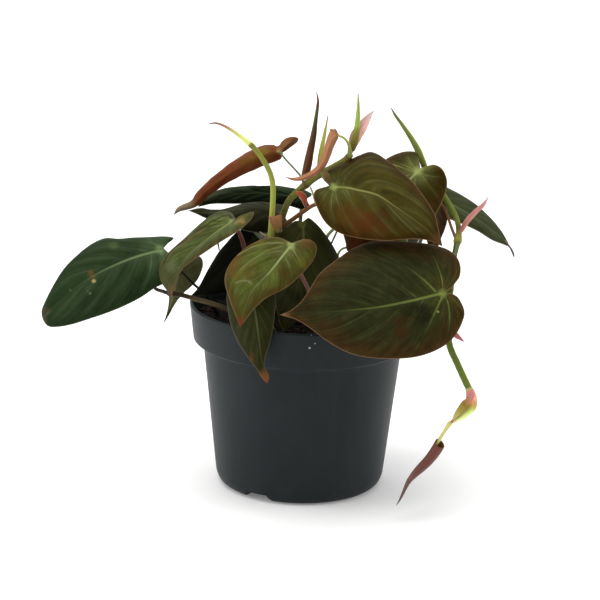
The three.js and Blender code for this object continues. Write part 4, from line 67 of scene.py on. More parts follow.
    "leaf_rear_4": {"on": "soil", "phi": 0.5, "ta": 0.366, "tb": 0.366, "N": [0.128, 0.416, 0.9], "mid": [[44.0, 36.0, 131.0], [46.7, 46.4, 124.6], [49.1, 55.7, 116.3], [51.0, 63.6, 106.3], [52.0, 67.6, 99.5], [52.6, 70.0, 94.6]], "A": [[42.6, 33.1, 132.6], [39.3, 30.8, 134.3], [34.4, 29.5, 136.0], [30.6, 32.7, 135.7], [29.2, 38.8, 133.5], [30.1, 46.0, 129.9], [32.9, 52.9, 124.7], [37.8, 59.2, 117.6], [44.0, 64.3, 109.2], [48.3, 67.1, 102.7], [51.0, 68.7, 98.2], [52.6, 70.0, 94.6]], "B": [[43.8, 32.8, 132.5], [45.5, 29.2, 134.2], [49.2, 25.5, 135.7], [54.1, 26.3, 135.2], [58.3, 31.0, 133.0], [61.0, 37.6, 129.3], [61.9, 45.0, 124.2], [60.6, 53.1, 117.2], [57.6, 60.6, 109.0], [55.1, 65.3, 102.5], [53.4, 68.1, 98.1], [52.6, 70.0, 94.6]], "stalk": [[43.0, 34.8, 131.0, 0.75], [36.0, 24.0, 128.0, 0.7], [25.0, 4.0, 129.0, 0.65], [18.5, -10.0, 130.0, 0.6], [17.2, -14.0, 128.0, 0.6], [19.0, -13.0, 120.0, 0.6], [21.5, -8.0, 108.0, 0.75], [23.0, -3.0, 96.0, 0.9], [23.5, -1.0, 78.0, 1.0]]},
    "leaf_rear_5": {"on": "vine_back", "phi": 0.5, "ta": 0.366, "tb": 0.366, "N": [-0.057, 0.126, 0.99], "mid": [[-20.0, 41.0, 127.0], [-19.5, 53.7, 124.1], [-18.9, 65.7, 118.7], [-18.2, 76.9, 110.7], [-17.7, 83.0, 104.8], [-17.3, 86.9, 100.3]], "A": [[-20.8, 37.4, 127.5], [-23.7, 33.9, 128.0], [-28.7, 31.0, 128.5], [-33.6, 33.3, 128.7], [-36.6, 39.6, 128.2], [-37.4, 47.8, 127.0], [-35.9, 56.8, 124.2], [-31.9, 66.2, 119.4], [-26.1, 75.1, 113.0], [-21.7, 80.8, 107.5], [-19.0, 84.3, 103.6], [-17.3, 86.9, 100.3]], "B": [[-19.4, 37.4, 127.5], [-16.7, 33.7, 128.4], [-12.0, 30.6, 129.5], [-7.1, 32.6, 130.3], [-3.8, 38.8, 130.2], [-2.4, 47.0, 129.1], [-3.1, 56.0, 126.2], [-6.1, 65.6, 121.0], [-10.7, 74.7, 113.9], [-14.1, 80.6, 108.0], [-16.2, 84.2, 103.7], [-17.3, 86.9, 100.3]], "stalk": [[-19.6, 40.0, 125.0, 0.95], [-16.0, 37.0, 119.0, 0.95], [-10.0, 34.0, 114.0, 1.0], [-4.0, 33.0, 112.0, 1.05]]},
}
STEMS = {
    "vine_main": {"flat": 1, "path": [[-17.0, -1.0, 70.0, 1.9], [-17.5, -3.0, 84.0, 1.9], [-18.5, -8.0, 95.0, 1.9], [-18.5, -10.0, 107.6, 1.9], [-17.5, -13.0, 123.6, 1.85], [-15.7, -15.5, 136.2, 1.85], [-13.7, -17.3, 144.3, 1.85], [-12.1, -18.3, 149.4, 1.8], [-8.9, -19.8, 158.4, 1.7], [-3.8, -21.0, 164.4, 1.75], [0.7, -22.0, 168.7, 1.75], [7.8, -23.7, 174.5, 1.7], [14.8, -24.8, 179.1, 1.6], [19.8, -25.5, 182.6, 1.55], [22.0, -25.8, 185.0, 1.5]]},
    "vine_upright": {"flat": 1, "path": [[-22.0, -13.0, 70.0, 1.5], [-21.5, -13.0, 84.0, 1.5], [-21.3, -15.0, 94.8, 1.5], [-20.0, -17.0, 109.5, 1.5], [-18.9, -19.0, 125.2, 1.5], [-18.1, -20.5, 138.6, 1.5], [-17.4, -21.5, 152.2, 1.45], [-17.3, -22.3, 166.8, 1.4], [-18.9, -22.8, 173.7, 1.4], [-21.6, -23.3, 179.0, 1.35], [-26.3, -24.0, 185.7, 1.3], [-28.4, -24.2, 188.0, 1.5], [-34.1, -25.0, 192.8, 1.1], [-41.4, -26.0, 197.9, 0.75], [-47.0, -27.0, 200.2, 0.5], [-50.8, -28.0, 199.8, 0.22]]},
    "vine_left": {"flat": 1, "path": [[-29.0, -31.0, 70.0, 1.4], [-27.5, -32.0, 84.0, 1.4], [-26.3, -34.5, 92.8, 1.4], [-31.1, -34.5, 97.3, 1.4], [-35.3, -33.0, 100.2, 1.4], [-39.5, -30.5, 102.5, 1.35], [-45.4, -27.0, 103.6, 1.35], [-50.7, -24.0, 104.3, 1.3], [-56.0, -22.0, 105.0, 1.3], [-59.7, -21.0, 105.8, 1.25], [-64.4, -20.5, 106.8, 1.25], [-68.1, -20.2, 107.1, 1.45], [-70.1, -20.0, 107.1, 1.2]]},
    "vine_right": {"flat": 1, "path": [[38.0, 4.0, 70.0, 1.6], [38.5, 3.0, 84.0, 1.6], [40.9, -2.0, 98.0, 1.6], [46.2, -3.0, 111.6, 1.5], [50.4, -4.0, 127.3, 1.5], [54.0, -5.0, 143.3, 1.45], [56.7, -6.0, 155.5, 1.45], [59.6, -6.5, 161.6, 1.45], [63.1, -7.5, 164.6, 1.45], [67.1, -9.5, 165.0, 1.4], [70.3, -11.5, 162.6, 1.4], [72.6, -14.0, 159.5, 1.4], [74.9, -16.5, 156.5, 1.4], [77.0, -19.0, 153.2, 1.4], [78.6, -22.5, 149.1, 1.4], [79.1, -25.0, 145.5, 1.55], [78.6, -27.5, 141.9, 1.6], [77.1, -32.0, 136.7, 1.35], [76.1, -40.0, 129.3, 1.3], [74.7, -49.0, 118.5, 1.3], [73.8, -54.5, 106.8, 1.3], [74.8, -58.5, 95.2, 1.35], [79.2, -60.5, 85.3, 1.35], [85.5, -61.2, 72.4, 1.4]]},
    "vine_back": {"flat": 1, "path": [[2.0, 24.0, 70.0, 1.6], [1.5, 25.5, 86.0, 1.6], [0.5, 29.0, 98.0, 1.55], [-2.0, 33.0, 110.0, 1.5], [-7.0, 38.0, 120.0, 1.4], [-13.0, 44.0, 126.0, 1.2], [-20.0, 52.0, 127.0, 0.9], [-27.0, 60.0, 124.0, 0.3]]},
    "rolled_leaf_brown": {"flat": 1, "path": [[-0.8, -22.5, 173.1, 2.0], [0.2, -22.8, 178.4, 2.15], [1.5, -23.0, 186.4, 1.85], [2.9, -23.3, 194.4, 1.5], [3.8, -23.5, 202.3, 1.0], [4.6, -23.7, 209.7, 0.75], [4.7, -23.8, 212.8, 0.55], [3.9, -24.0, 217.0, 0.15]]},
    "spike_1": {"flat": 1, "path": [[6.5, -22.3, 177.7, 1.15], [6.9, -21.5, 182.0, 1.2], [7.3, -21.0, 186.1, 1.1], [8.6, -20.5, 194.4, 0.75], [9.4, -20.2, 199.6, 0.5], [10.2, -20.0, 204.8, 0.15]]},
    "spike_2": {"flat": 1, "path": [[22.9, -25.2, 188.0, 1.35], [23.9, -24.5, 191.5, 1.3], [24.9, -23.7, 196.6, 1.05], [25.3, -23.0, 202.8, 0.8], [25.4, -22.3, 209.9, 0.55], [25.0, -21.8, 217.6, 0.15]]},
    "spike_3": {"flat": 1, "path": [[62.6, -9.0, 168.7, 1.5], [61.7, -11.0, 173.4, 1.65], [59.6, -12.5, 179.6, 1.65], [57.1, -13.5, 185.4, 1.7], [53.6, -14.3, 191.5, 1.4], [48.1, -15.2, 199.5, 0.95], [44.5, -15.8, 204.3, 0.65], [42.0, -16.2, 208.5, 0.1]]},
    "sheath_crown": {"flat": 0.55, "path": [[21.5, -25.5, 183.9, 1.1], [21.9, -22.6, 185.8, 1.6], [22.8, -21.0, 188.4, 2.1], [24.5, -20.2, 193.2, 3.0], [27.4, -20.0, 198.5, 2.75], [30.7, -20.0, 203.6, 1.45], [33.5, -20.0, 207.2, 0.12]]},
    "sheath_right": {"flat": 0.6, "path": [[79.9, -29.2, 146.9, 1.2], [81.8, -30.0, 151.1, 1.7], [84.2, -30.2, 154.8, 1.75], [87.1, -30.2, 158.1, 1.65], [90.4, -30.0, 161.3, 1.35], [93.3, -29.6, 165.9, 0.15]]},
    "sheath_fork": {"flat": 0.28, "path": [[-14.0, -22.2, 142.1, 0.35], [-14.6, -23.4, 145.3, 1.3], [-15.3, -24.6, 148.8, 2.3], [-16.0, -25.2, 152.5, 3.3]]},
    "sheath_red": {"flat": 0.45, "path": [[-5.3, -24.6, 164.2, 0.55], [-3.3, -25.3, 163.8, 1.4], [-1.5, -25.6, 161.9, 1.7], [-0.6, -25.4, 159.0, 1.2], [0.0, -24.9, 155.9, 0.3]]},
    "sheath_brown": {"flat": 0.5, "path": [[8.8, -35.2, 178.2, 0.7], [9.4, -36.2, 176.9, 1.4], [10.2, -37.6, 174.9, 1.3], [11.2, -38.8, 172.9, 0.3]]},
    "sheath_low": {"flat": 0.6, "path": [[77.0, -51.5, 98.8, 1.3], [79.1, -52.0, 97.4, 1.2], [82.4, -52.4, 94.9, 0.15]]},
    "sheath_hanging": {"flat": 0.8, "path": [[86.2, -61.5, 71.0, 1.75], [86.8, -61.8, 68.5, 2.35], [87.1, -62.0, 65.6, 2.7], [86.1, -62.2, 62.5, 3.0], [82.9, -62.1, 59.5, 2.4], [79.5, -61.9, 56.5, 1.4], [77.1, -61.8, 54.7, 0.75]]},
    "root_main": {"flat": 1, "path": [[2.0, -24.8, 167.2, 0.45], [3.2, -25.6, 164.4, 0.5], [4.1, -25.8, 161.3, 0.45], [4.9, -25.6, 158.6, 0.3]]},
    "root_fork": {"flat": 1, "path": [[-19.6, -22.6, 139.9, 0.5], [-21.3, -23.6, 140.9, 0.45], [-23.4, -24.2, 142.6, 0.25]]},
    "root_left": {"flat": 1, "path": [[-45.8, -24.0, 138.8, 0.4], [-45.3, -23.1, 136.6, 0.48], [-44.8, -22.0, 134.2, 0.45], [-44.4, -20.9, 131.7, 0.3], [-44.3, -20.6, 131.0, 0.08]]},
    "root_gap": {"flat": 1, "path": [[16.8, -24.0, 146.0, 0.5], [15.7, -23.0, 142.3, 0.55], [13.7, -21.2, 136.9, 0.5], [11.2, -18.8, 130.3, 0.45]]},
}


# ---------------------------------------------------------------- camera, light and floor
def rgb(r, g, b):
    """sRGB 0..255 to linear"""
    out = []
    for v in (r, g, b):
        v = v / 255
        out.append(v / 12.92 if v <= 0.04045 else ((v + 0.055) / 1.055) ** 2.4)
    return (*out, 1.0)


def set_camera():
    e, roll = math.radians(16.148), math.radians(1.443)
    back = Vector((0, -math.cos(e), math.sin(e)))
    right, up = Vector((1, 0, 0)), Vector((0, math.sin(e), math.cos(e)))
    r = right * math.cos(roll) + up * math.sin(roll)
    u = -right * math.sin(roll) + up * math.cos(roll)
    cam = bpy.data.cameras.new("camera")
    cam.lens, cam.sensor_width, cam.clip_end = 181.98, 36.0, 30.0
    ob = bpy.data.objects.new("camera", cam)
    m = Matrix.Identity(4)
    place = Vector((-0.001895, 0, 0.09964)) + back * 1.6
    for i in range(3):
        m[i][0], m[i][1], m[i][2], m[i][3] = r[i], u[i], back[i], place[i]
    ob.matrix_world = m
    scene.collection.objects.link(ob)
    scene.camera = ob


def softbox(name, at, aim, size, power, colour=(1, 1, 1)):
    lamp = bpy.data.lights.new(name, "AREA")
    lamp.shape, lamp.size, lamp.size_y, lamp.energy, lamp.color = "RECTANGLE", size[0], size[1], power, colour
    ob = bpy.data.objects.new(name, lamp)
    ob.location = at
    ob.rotation_euler = (Vector(aim) - Vector(at)).to_track_quat("-Z", "Y").to_euler()
    scene.collection.objects.link(ob)


def set_light():
    world = bpy.data.worlds.new("studio")
    scene.world = world
    world.use_nodes = True
    back = world.node_tree.nodes["Background"]
    back.inputs["Color"].default_value = (1.0, 1.0, 1.0, 1)
    back.inputs["Strength"].default_value = LIGHT["world"]
    softbox("top_softbox", (-0.15, -0.10, 1.25), (0, 0.02, 0.1), (1.3, 1.1), LIGHT["top"], (1.0, 0.985, 0.965))
    softbox("left_softbox", (-1.25, -0.15, 0.45), (0, 0, 0.1), (0.9, 0.9), LIGHT["left"], (0.97, 0.985, 1.0))
    softbox("right_softbox", (1.25, 0.05, 0.40), (0, 0, 0.1), (0.9, 0.9), LIGHT["right"], (0.98, 0.99, 1.0))
    softbox("rear_softbox", (0.0, 1.35, 1.5), (0, 1.35, 0), (2.2, 1.2), LIGHT["rear"])
    softbox("front_softbox", (-0.25, -1.6, 0.95), (0, 0, 0.12), (0.8, 0.6), LIGHT["front"], (1.0, 0.985, 0.96))
    scene.view_settings.view_transform = "Standard"
    scene.view_settings.look = "None"
    scene.view_settings.exposure = 0.0
    scene.view_settings.gamma = 1.0


LIGHT = {"world": 0.30, "top": 14.5, "left": 8.0, "right": 5.6, "front": 1.0, "rear": 17.0}


# ---------------------------------------------------------------- curves
def spline(points, per=24):
    """dense centripetal Catmull-Rom polyline through points of three coordinates"""
    P = np.asarray(points, float)[:, :3]
    n = len(P)
    t = np.linspace(0, 1, per, endpoint=False)[:, None]
    out = []
    for i in range(n - 1):
        p1, p2 = P[i], P[i + 1]
        p0 = P[i - 1] if i > 0 else 2 * P[0] - P[1]
        p3 = P[i + 2] if i + 2 < n else 2 * P[-1] - P[-2]
        d0, d1, d2 = (max(float(np.linalg.norm(b - a)), 1e-9) ** 0.5 for a, b in ((p0, p1), (p1, p2), (p2, p3)))
        d1 = d1 if d1 > 1e-4 else 1.0
        d0 = d0 if d0 > 1e-4 else d1
        d2 = d2 if d2 > 1e-4 else d1
        a = ((p1 - p0) / d0 - (p2 - p0) / (d0 + d1) + (p2 - p1) / d1) * d1
        b = ((p2 - p1) / d1 - (p3 - p1) / (d1 + d2) + (p3 - p2) / d2) * d1
        out.append(p1 + a * t + (-3 * p1 + 3 * p2 - 2 * a - b) * t**2 + (2 * p1 - 2 * p2 + a + b) * t**3)
    out.append(P[-1][None])
    return np.concatenate(out)


def lengths(line):
    return np.concatenate([[0], np.cumsum(np.linalg.norm(np.diff(line, axis=0), axis=1))])


def at(line, u):
    """points at shares u of the line's length"""
    s = lengths(line)
    u = np.clip(np.asarray(u, float), 0, 1) * s[-1]
    return np.stack([np.interp(u, s, line[:, k]) for k in range(3)], -1)


def unit(v):
    v = np.asarray(v, float)
    return v / np.maximum(np.linalg.norm(v, axis=-1, keepdims=True), 1e-12)


def smooth(x, a=0.0, b=1.0):
    x = np.clip((np.asarray(x, float) - a) / (b - a), 0, 1)
    return x * x * (3 - 2 * x)


def wave(P, scale, seed, octaves=3):
    """smooth noise in -1..1 at points in mm, scale in mm"""
    P = np.asarray(P, float).reshape(-1, 3) / scale + seed * 17.31
    out = np.empty(len(P))
    for i, p in enumerate(P):
        v, a, q = 0.0, 1.0, Vector(p)
        for _ in range(octaves):
            v += a * noise.noise(q)
            q, a = q * 2.03, a * 0.5
        out[i] = v
    return out


# ---------------------------------------------------------------- mesh objects
def build(name, verts, faces, node, material, values=None, uv=None, sharp=None, smooth_faces=True):
    """A mesh object in metres that rides on the root body and stands for its CAD node."""
    me = bpy.data.meshes.new(name)
    me.from_pydata((np.asarray(verts, float) * MM).tolist(), [], faces)
    me.polygons.foreach_set("use_smooth", [smooth_faces] * len(me.polygons))
    for key, arr in (values or {}).items():
        me.attributes.new(key, "FLOAT", "POINT").data.foreach_set("value", np.asarray(arr, np.float32))
    if uv is not None:
        me.uv_layers.new(name="OFBake").data.foreach_set("uv", np.asarray(uv, np.float32).ravel())
    me.update()
    if sharp:
        me.set_sharp_from_angle(angle=math.radians(sharp))
    ob = bpy.data.objects.new(name, me)
    scene.collection.objects.link(ob)
    for m in material if isinstance(material, (list, tuple)) else [material]:
        me.materials.append(m)
    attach(ob, "root")
    if node:
        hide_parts(node)
    return ob


def weld(verts, faces, uvs, values):
    """joins vertices that share a place and drops faces without area"""
    key = np.round(verts, 5)
    _, first, back = np.unique(key, axis=0, return_index=True, return_inverse=True)
    back = back.ravel()
    order = np.argsort(first)
    rank = np.empty_like(order)
    rank[order] = np.arange(len(order))
    index = rank[back]
    keep = first[order]
    out, uv = [], []
    for f, t in zip(faces, uvs):
        g, h = [], []
        for i, c in zip(f, t):
            j = int(index[i])
            if j not in g:
                g.append(j)
                h.append(c)
        if len(g) > 2:
            out.append(g)
            uv.extend(h)
    return verts[keep], out, uv, {k: v[keep] for k, v in values.items()}


def grid_normals(P):
    """vertex normals of a grid [rows, columns, 3], weighted by area"""
    a, b, c, d = P[:-1, :-1], P[:-1, 1:], P[1:, :-1], P[1:, 1:]
    n = np.cross(c - b, d - a)
    out = np.zeros_like(P)
    out[:-1, :-1] += n
    out[:-1, 1:] += n
    out[1:, :-1] += n
    out[1:, 1:] += n
    return out


def place_normals(P):
    """grid normals, summed over grid points that share a place"""
    n = grid_normals(P).reshape(-1, 3)
    key = np.round(P.reshape(-1, 3), 5)
    _, back = np.unique(key, axis=0, return_inverse=True)
    back = back.ravel()
    total = np.zeros((back.max() + 1, 3))
    np.add.at(total, back, n)
    return unit(total[back]).reshape(P.shape)


# ---------------------------------------------------------------- leaf blades
STATIONS = (0.0, 0.25, 0.5, 0.75, 1.0)
VEINS = [
    (-0.55, -0.66, -0.74, -0.80, -0.86), (-0.26, -0.30, -0.36, -0.42, -0.46), (-0.06, -0.02, -0.01, -0.02, -0.04), (0.03, 0.14, 0.22, 0.28, 0.33),
    (0.18, 0.30, 0.39, 0.46, 0.52), (0.36, 0.48, 0.56, 0.63, 0.69), (0.55, 0.65, 0.73, 0.79, 0.84), (0.74, 0.82, 0.87, 0.90, 0.93),
]


def vein_field(g, s, veins):
    """q is k on vein k and runs evenly between veins; g = place along the leaf, s = 0 midrib to 1 margin.
    A vein is its g at five stations from the midrib to the margin."""
    q = np.empty((len(g), len(s)))
    table = np.array(veins, float)
    fine = np.linspace(0, 1, 41)
    rounded = []
    for row in table:
        v = np.interp(fine, STATIONS, row)
        for _ in range(30):
            v[1:-1] = (v[:-2] + 2 * v[1:-1] + v[2:]) / 4
        rounded.append(v)
    rounded = np.array(rounded)
    for k, x in enumerate(s):
        at_x = np.array([np.interp(x, fine, v) for v in rounded])
        q[:, k] = np.interp(g, at_x, np.arange(len(veins)))
        low, high = at_x[1] - at_x[0], at_x[-1] - at_x[-2]
        q[:, k] = np.where(g < at_x[0], (g - at_x[0]) / low, q[:, k])
        q[:, k] = np.where(g > at_x[-1], len(veins) - 1 + (g - at_x[-1]) / high, q[:, k])
    return np.clip(q, -0.5, len(veins) - 0.5)


def arm(M, E, guide, phi, s):
    """circular arcs from midrib points M to margin points E, bulging along the guide; [rows, s, 3]"""
    D = E - M
    w = np.linalg.norm(D, axis=1)
    d = D / np.maximum(w, 1e-9)[:, None]
    n = unit(guide[None] - d * (d @ guide)[:, None])
    p = np.maximum(phi, 1e-3)[:, None]
    R = w[:, None] / (2 * np.sin(p / 2))
    th = -p / 2 + p * s[None]
    x = R * (np.sin(th) + np.sin(p / 2))
    y = R * (np.cos(th) - np.cos(p / 2))
    return M[:, None] + d[:, None] * x[..., None] + n[:, None] * y[..., None], w


def blade(name, L, look):
    cell = look.get("cell", 0.8)
    mid, A, B = spline(L["mid"]), spline(L["A"]), spline(L["B"])
    long, la, lb = lengths(mid)[-1], lengths(A)[-1], lengths(B)[-1]
    ta, tb = L["ta"], L["tb"]
    nb = int(np.clip(long / cell, 26, 120))
    nl = int(np.clip(max(la * ta, lb * tb) / cell / 1.15, 8, 44))
    g = np.concatenate([np.linspace(-1, 0, nl + 1)[:-1], np.linspace(0, 1, nb + 1)])
    lobe = np.clip(1 + g, 0, 1)
    body = np.clip(g, 0, 1)
    pa = np.where(g < 0, ta * lobe, ta + (1 - ta) * body)
    pb = np.where(g < 0, tb * lobe, tb + (1 - tb) * body)
    M, EA, EB = at(mid, body), at(A, pa), at(B, pb)
    notch = (EA[0] + EB[0]) / 2
    near = smooth(lobe, 0, look.get("notch", 0.14))[:, None]
    EA, EB = notch + (EA - notch) * near, notch + (EB - notch) * near
    wide = max(np.linalg.norm(EA - M, axis=1).max(), np.linalg.norm(EB - M, axis=1).max())
    K = int(np.clip(wide / cell, 8, 52))
    s = np.linspace(0, 1, K + 1)
    N = np.array(L["N"])
    NA, NB = np.array(L.get("NA", L["N"])), np.array(L.get("NB", L["N"]))
    phi = L["phi"] * smooth(np.minimum(1, 2.2 * lobe))
    left, wa = arm(M, EA, NA, phi, s)
    right, wb = arm(M, EB, NB, phi, s)
    seam = (left[0] + right[0]) / 2
    left[0], right[0] = seam, seam
    P = np.concatenate([left[:, ::-1], right[:, 1:]], 1)
    S = np.concatenate([-s[::-1], s[1:]])
    W = np.concatenate([np.repeat(wa[:, None], K + 1, 1), np.repeat(wb[:, None], K, 1)], 1)
    veins = look.get("veins", (VEINS, VEINS))
    qa, qb = vein_field(g, s, veins[0]), vein_field(g, s, veins[1])
    Q = np.concatenate([qa[:, ::-1], qb[:, 1:]], 1)
    G = np.repeat(g[:, None], 2 * K + 1, 1)
    Sg = np.repeat(S[None], len(g), 0)
    # distance to the margin
    rim = np.concatenate([at(A, np.linspace(0, 1, 220)), at(B, np.linspace(0, 1, 220))])
    flat = P.reshape(-1, 3)
    edge = np.empty(len(flat))
    for i in range(0, len(flat), 2000):
        edge[i : i + 2000] = np.sqrt(((flat[i : i + 2000, None] - rim[None]) ** 2).sum(-1).min(1))
    edge = edge.reshape(Sg.shape)
    edge[:, 0] = np.where(g > -1, 0, edge[:, 0])
    edge[:, -1] = np.where(g > -1, 0, edge[:, -1])
    dmid = np.abs(Sg) * W
    # width of one vein field, in mm
    Pr, Pc = np.gradient(P, axis=0), np.gradient(P, axis=1)
    half_a, half_b = slice(0, K + 1), slice(K, 2 * K + 1)
    qr, qc = np.zeros_like(Q), np.zeros_like(Q)
    for h, q in ((half_a, qa[:, ::-1]), (half_b, qb)):
        r_, c_ = np.gradient(q)
        qr[:, h], qc[:, h] = r_, c_
    Ee, Ff, Gg = (Pr * Pr).sum(-1), (Pr * Pc).sum(-1), (Pc * Pc).sum(-1)
    det = np.maximum(Ee * Gg - Ff**2, 1e-6)
    slope = np.sqrt(np.maximum((Gg * qr**2 - 2 * Ff * qr * qc + Ee * qc**2) / det, 1e-8))
    VW = np.clip(1 / slope, 0.3, 14)
    # relief: the fields between the veins are raised, the midrib lies in a groove, the margin waves a little
    n = place_normals(P)
    if (n.reshape(-1, 3) @ N).sum() * look.get("flip", 1) < 0:
        n = -n
    size = np.clip(long / 70, 0.35, 1.1)
    field = 0.5 - 0.5 * np.cos(2 * math.pi * Q)
    puff = look.get("puff", 0.42) * size * field * smooth(dmid, 0.6, 5.5) * smooth(edge, 0.3, 6.0) * np.clip(VW / 8, 0.25, 1.2)
    soft = wave(P[::2, ::2].reshape(-1, 3), look.get("wave_mm", 16), look["seed"], 2)
    soft = soft.reshape(P[::2, ::2].shape[:2])
    rr, cc = np.arange(P.shape[0]) / 2, np.arange(P.shape[1]) / 2
    tmp = np.stack([np.interp(cc, np.arange(soft.shape[1]), row) for row in soft])
    soft = np.stack([np.interp(rr, np.arange(soft.shape[0]), tmp[:, j]) for j in range(tmp.shape[1])], 1)
    still = smooth(dmid, 0, 6) * smooth(1 - np.clip(G, 0, 1), 0.02, 0.3)
    lift = puff + look.get("wave", 0.35) * size * soft * still
    lift = lift - look.get("curl", 0.5) * size * (1 - smooth(edge, 0, 3.2)) ** 2 * still
    lift[0] = (lift[0] + lift[0][::-1]) / 2
    P = P + n * lift[..., None]
    n = place_normals(P)
    if (n.reshape(-1, 3) @ N).sum() * look.get("flip", 1) < 0:
        n = -n
    half = look.get("half", 0.2)
    thick = half * (0.35 + 0.65 * smooth(edge, 0, 1.1))
    thick = np.minimum(thick, 0.1 * np.maximum(W, 0) + 0.05)
    taper = 1 - 0.82 * np.clip(G, 0, 1)
    lobes = np.where(G < 0, np.exp(-((dmid / 2.2) ** 2)), 1.0)
    rib = look.get("rib_high", 0.62) * size * taper * lobes
    groove = -0.34 * rib * np.exp(-((dmid / (0.75 * size + 0.15)) ** 2)) * smooth(edge, 0, 1.5)
    def even(x):  # both arms of the first row are one and the same line
        x[0] = (x[0] + x[0][::-1]) / 2
        return x

    vein_d = np.abs(Q - np.round(Q)) * VW
    vein_on = smooth(dmid, 0.3, 1.6) * smooth(edge, 0.4, 4.5)
    groove = groove - 0.07 * size * np.exp(-((vein_d / 0.5) ** 2)) * vein_on
    keel = rib * np.exp(-((dmid / (0.8 * size * (0.4 + 0.6 * taper) + 0.12)) ** 2)) * smooth(edge, 0, 1.5)
    keel = keel + 0.16 * size * np.exp(-((vein_d / 0.55) ** 2)) * vein_on
    top = P + n * even(thick + groove)[..., None]
    low = P - n * even(thick + keel)[..., None]
    R, C = P.shape[:2]
    idx = np.arange(R * C).reshape(R, C)
    verts = np.concatenate([top.reshape(-1, 3), low.reshape(-1, 3)])
    a, b, c, d = idx[:-1, :-1].ravel(), idx[:-1, 1:].ravel(), idx[1:, :-1].ravel(), idx[1:, 1:].ravel()
    ccw = np.stack([a, b, d, c], 1)
    # winding: outward on top
    t = P[R // 2, C // 4]
    quad = (P[R // 2 + 1, C // 4] - t, P[R // 2, C // 4 + 1] - t)
    if np.cross(quad[1], quad[0]) @ n[R // 2, C // 4] < 0:
        ccw = ccw[:, ::-1]
    faces = ccw.tolist() + (ccw[:, ::-1] + R * C).tolist()
    U = np.linspace(0.01, 0.99, C)
    V = np.linspace(0, 1, R)
    uv = np.empty((2 * R * C, 2))
    uu, vv = np.meshgrid(U, V)
    uv[: R * C] = np.stack([uu.ravel(), 0.51 + 0.48 * vv.ravel()], 1)
    uv[R * C :] = np.stack([uu.ravel(), 0.01 + 0.48 * vv.ravel()], 1)
    uvs = [[uv[i] for i in f] for f in faces]
    # rim
    loop = [(r, 0) for r in range(R)] + [(r, C - 1) for r in range(R - 2, -1, -1)]
    if (ccw[0] == [a[0], b[0], d[0], c[0]]).all():
        loop = loop[::-1]
    total = len(loop) - 1
    for i in range(total):
        (r0, c0), (r1, c1) = loop[i], loop[i + 1]
        p, q = idx[r0, c0], idx[r1, c1]
        faces.append([int(q), int(p), int(p + R * C), int(q + R * C)])
        x0, x1 = 0.01 + 0.98 * i / total, 0.01 + 0.98 * (i + 1) / total
        uvs.append([(x1, 0.503), (x0, 0.503), (x0, 0.497), (x1, 0.497)])
    twice = lambda x: np.concatenate([x.ravel(), x.ravel()])
    hub = np.linalg.norm(P - M[0], axis=-1)
    values = {
        "q": twice(Q), "vw": twice(VW), "sd": twice(Sg), "g": twice(G), "edge": twice(edge), "dmid": twice(dmid), "hub": twice(hub),
        "top": np.concatenate([np.ones(R * C), np.zeros(R * C)]),
    }
    verts, faces, uvs, values = weld(verts, faces, uvs, values)
    return build(name + "_blade", verts, faces, name, leaf_material(name, look), values, uvs, sharp=55)


# ---------------------------------------------------------------- round shoots and stalks
def frames(line, start=None):
    """tangent and two side vectors along a line, without twist"""
    t = unit(np.gradient(line, axis=0))
    u = np.empty_like(t)
    first = np.array(start if start is not None else (0, 1, 0), float)
    first = first - t[0] * (first @ t[0])
    if np.linalg.norm(first) < 0.1:
        first = np.cross(t[0], (1, 0, 0))
    u[0] = unit(first)
    for i in range(1, len(t)):
        v = u[i - 1] - t[i] * (u[i - 1] @ t[i])
        u[i] = unit(v)
    return t, u, np.cross(t, u)


def radii(path, per=24):
    r = np.array([p[3] for p in path], float)
    n = len(r)
    x = np.arange(n)
    fine = np.concatenate([np.arange(n - 1)[:, None] + np.linspace(0, 1, per, endpoint=False)[None]]).ravel()
    fine = np.append(fine, n - 1)
    slope = np.gradient(r)
    i = np.minimum(fine.astype(int), n - 2)
    t = fine - i
    h = (2 * t**3 - 3 * t**2 + 1) * r[i] + (t**3 - 2 * t**2 + t) * slope[i] + (-2 * t**3 + 3 * t**2) * r[i + 1] + (t**3 - t**2) * slope[i + 1]
    return np.maximum(h, 0.06)


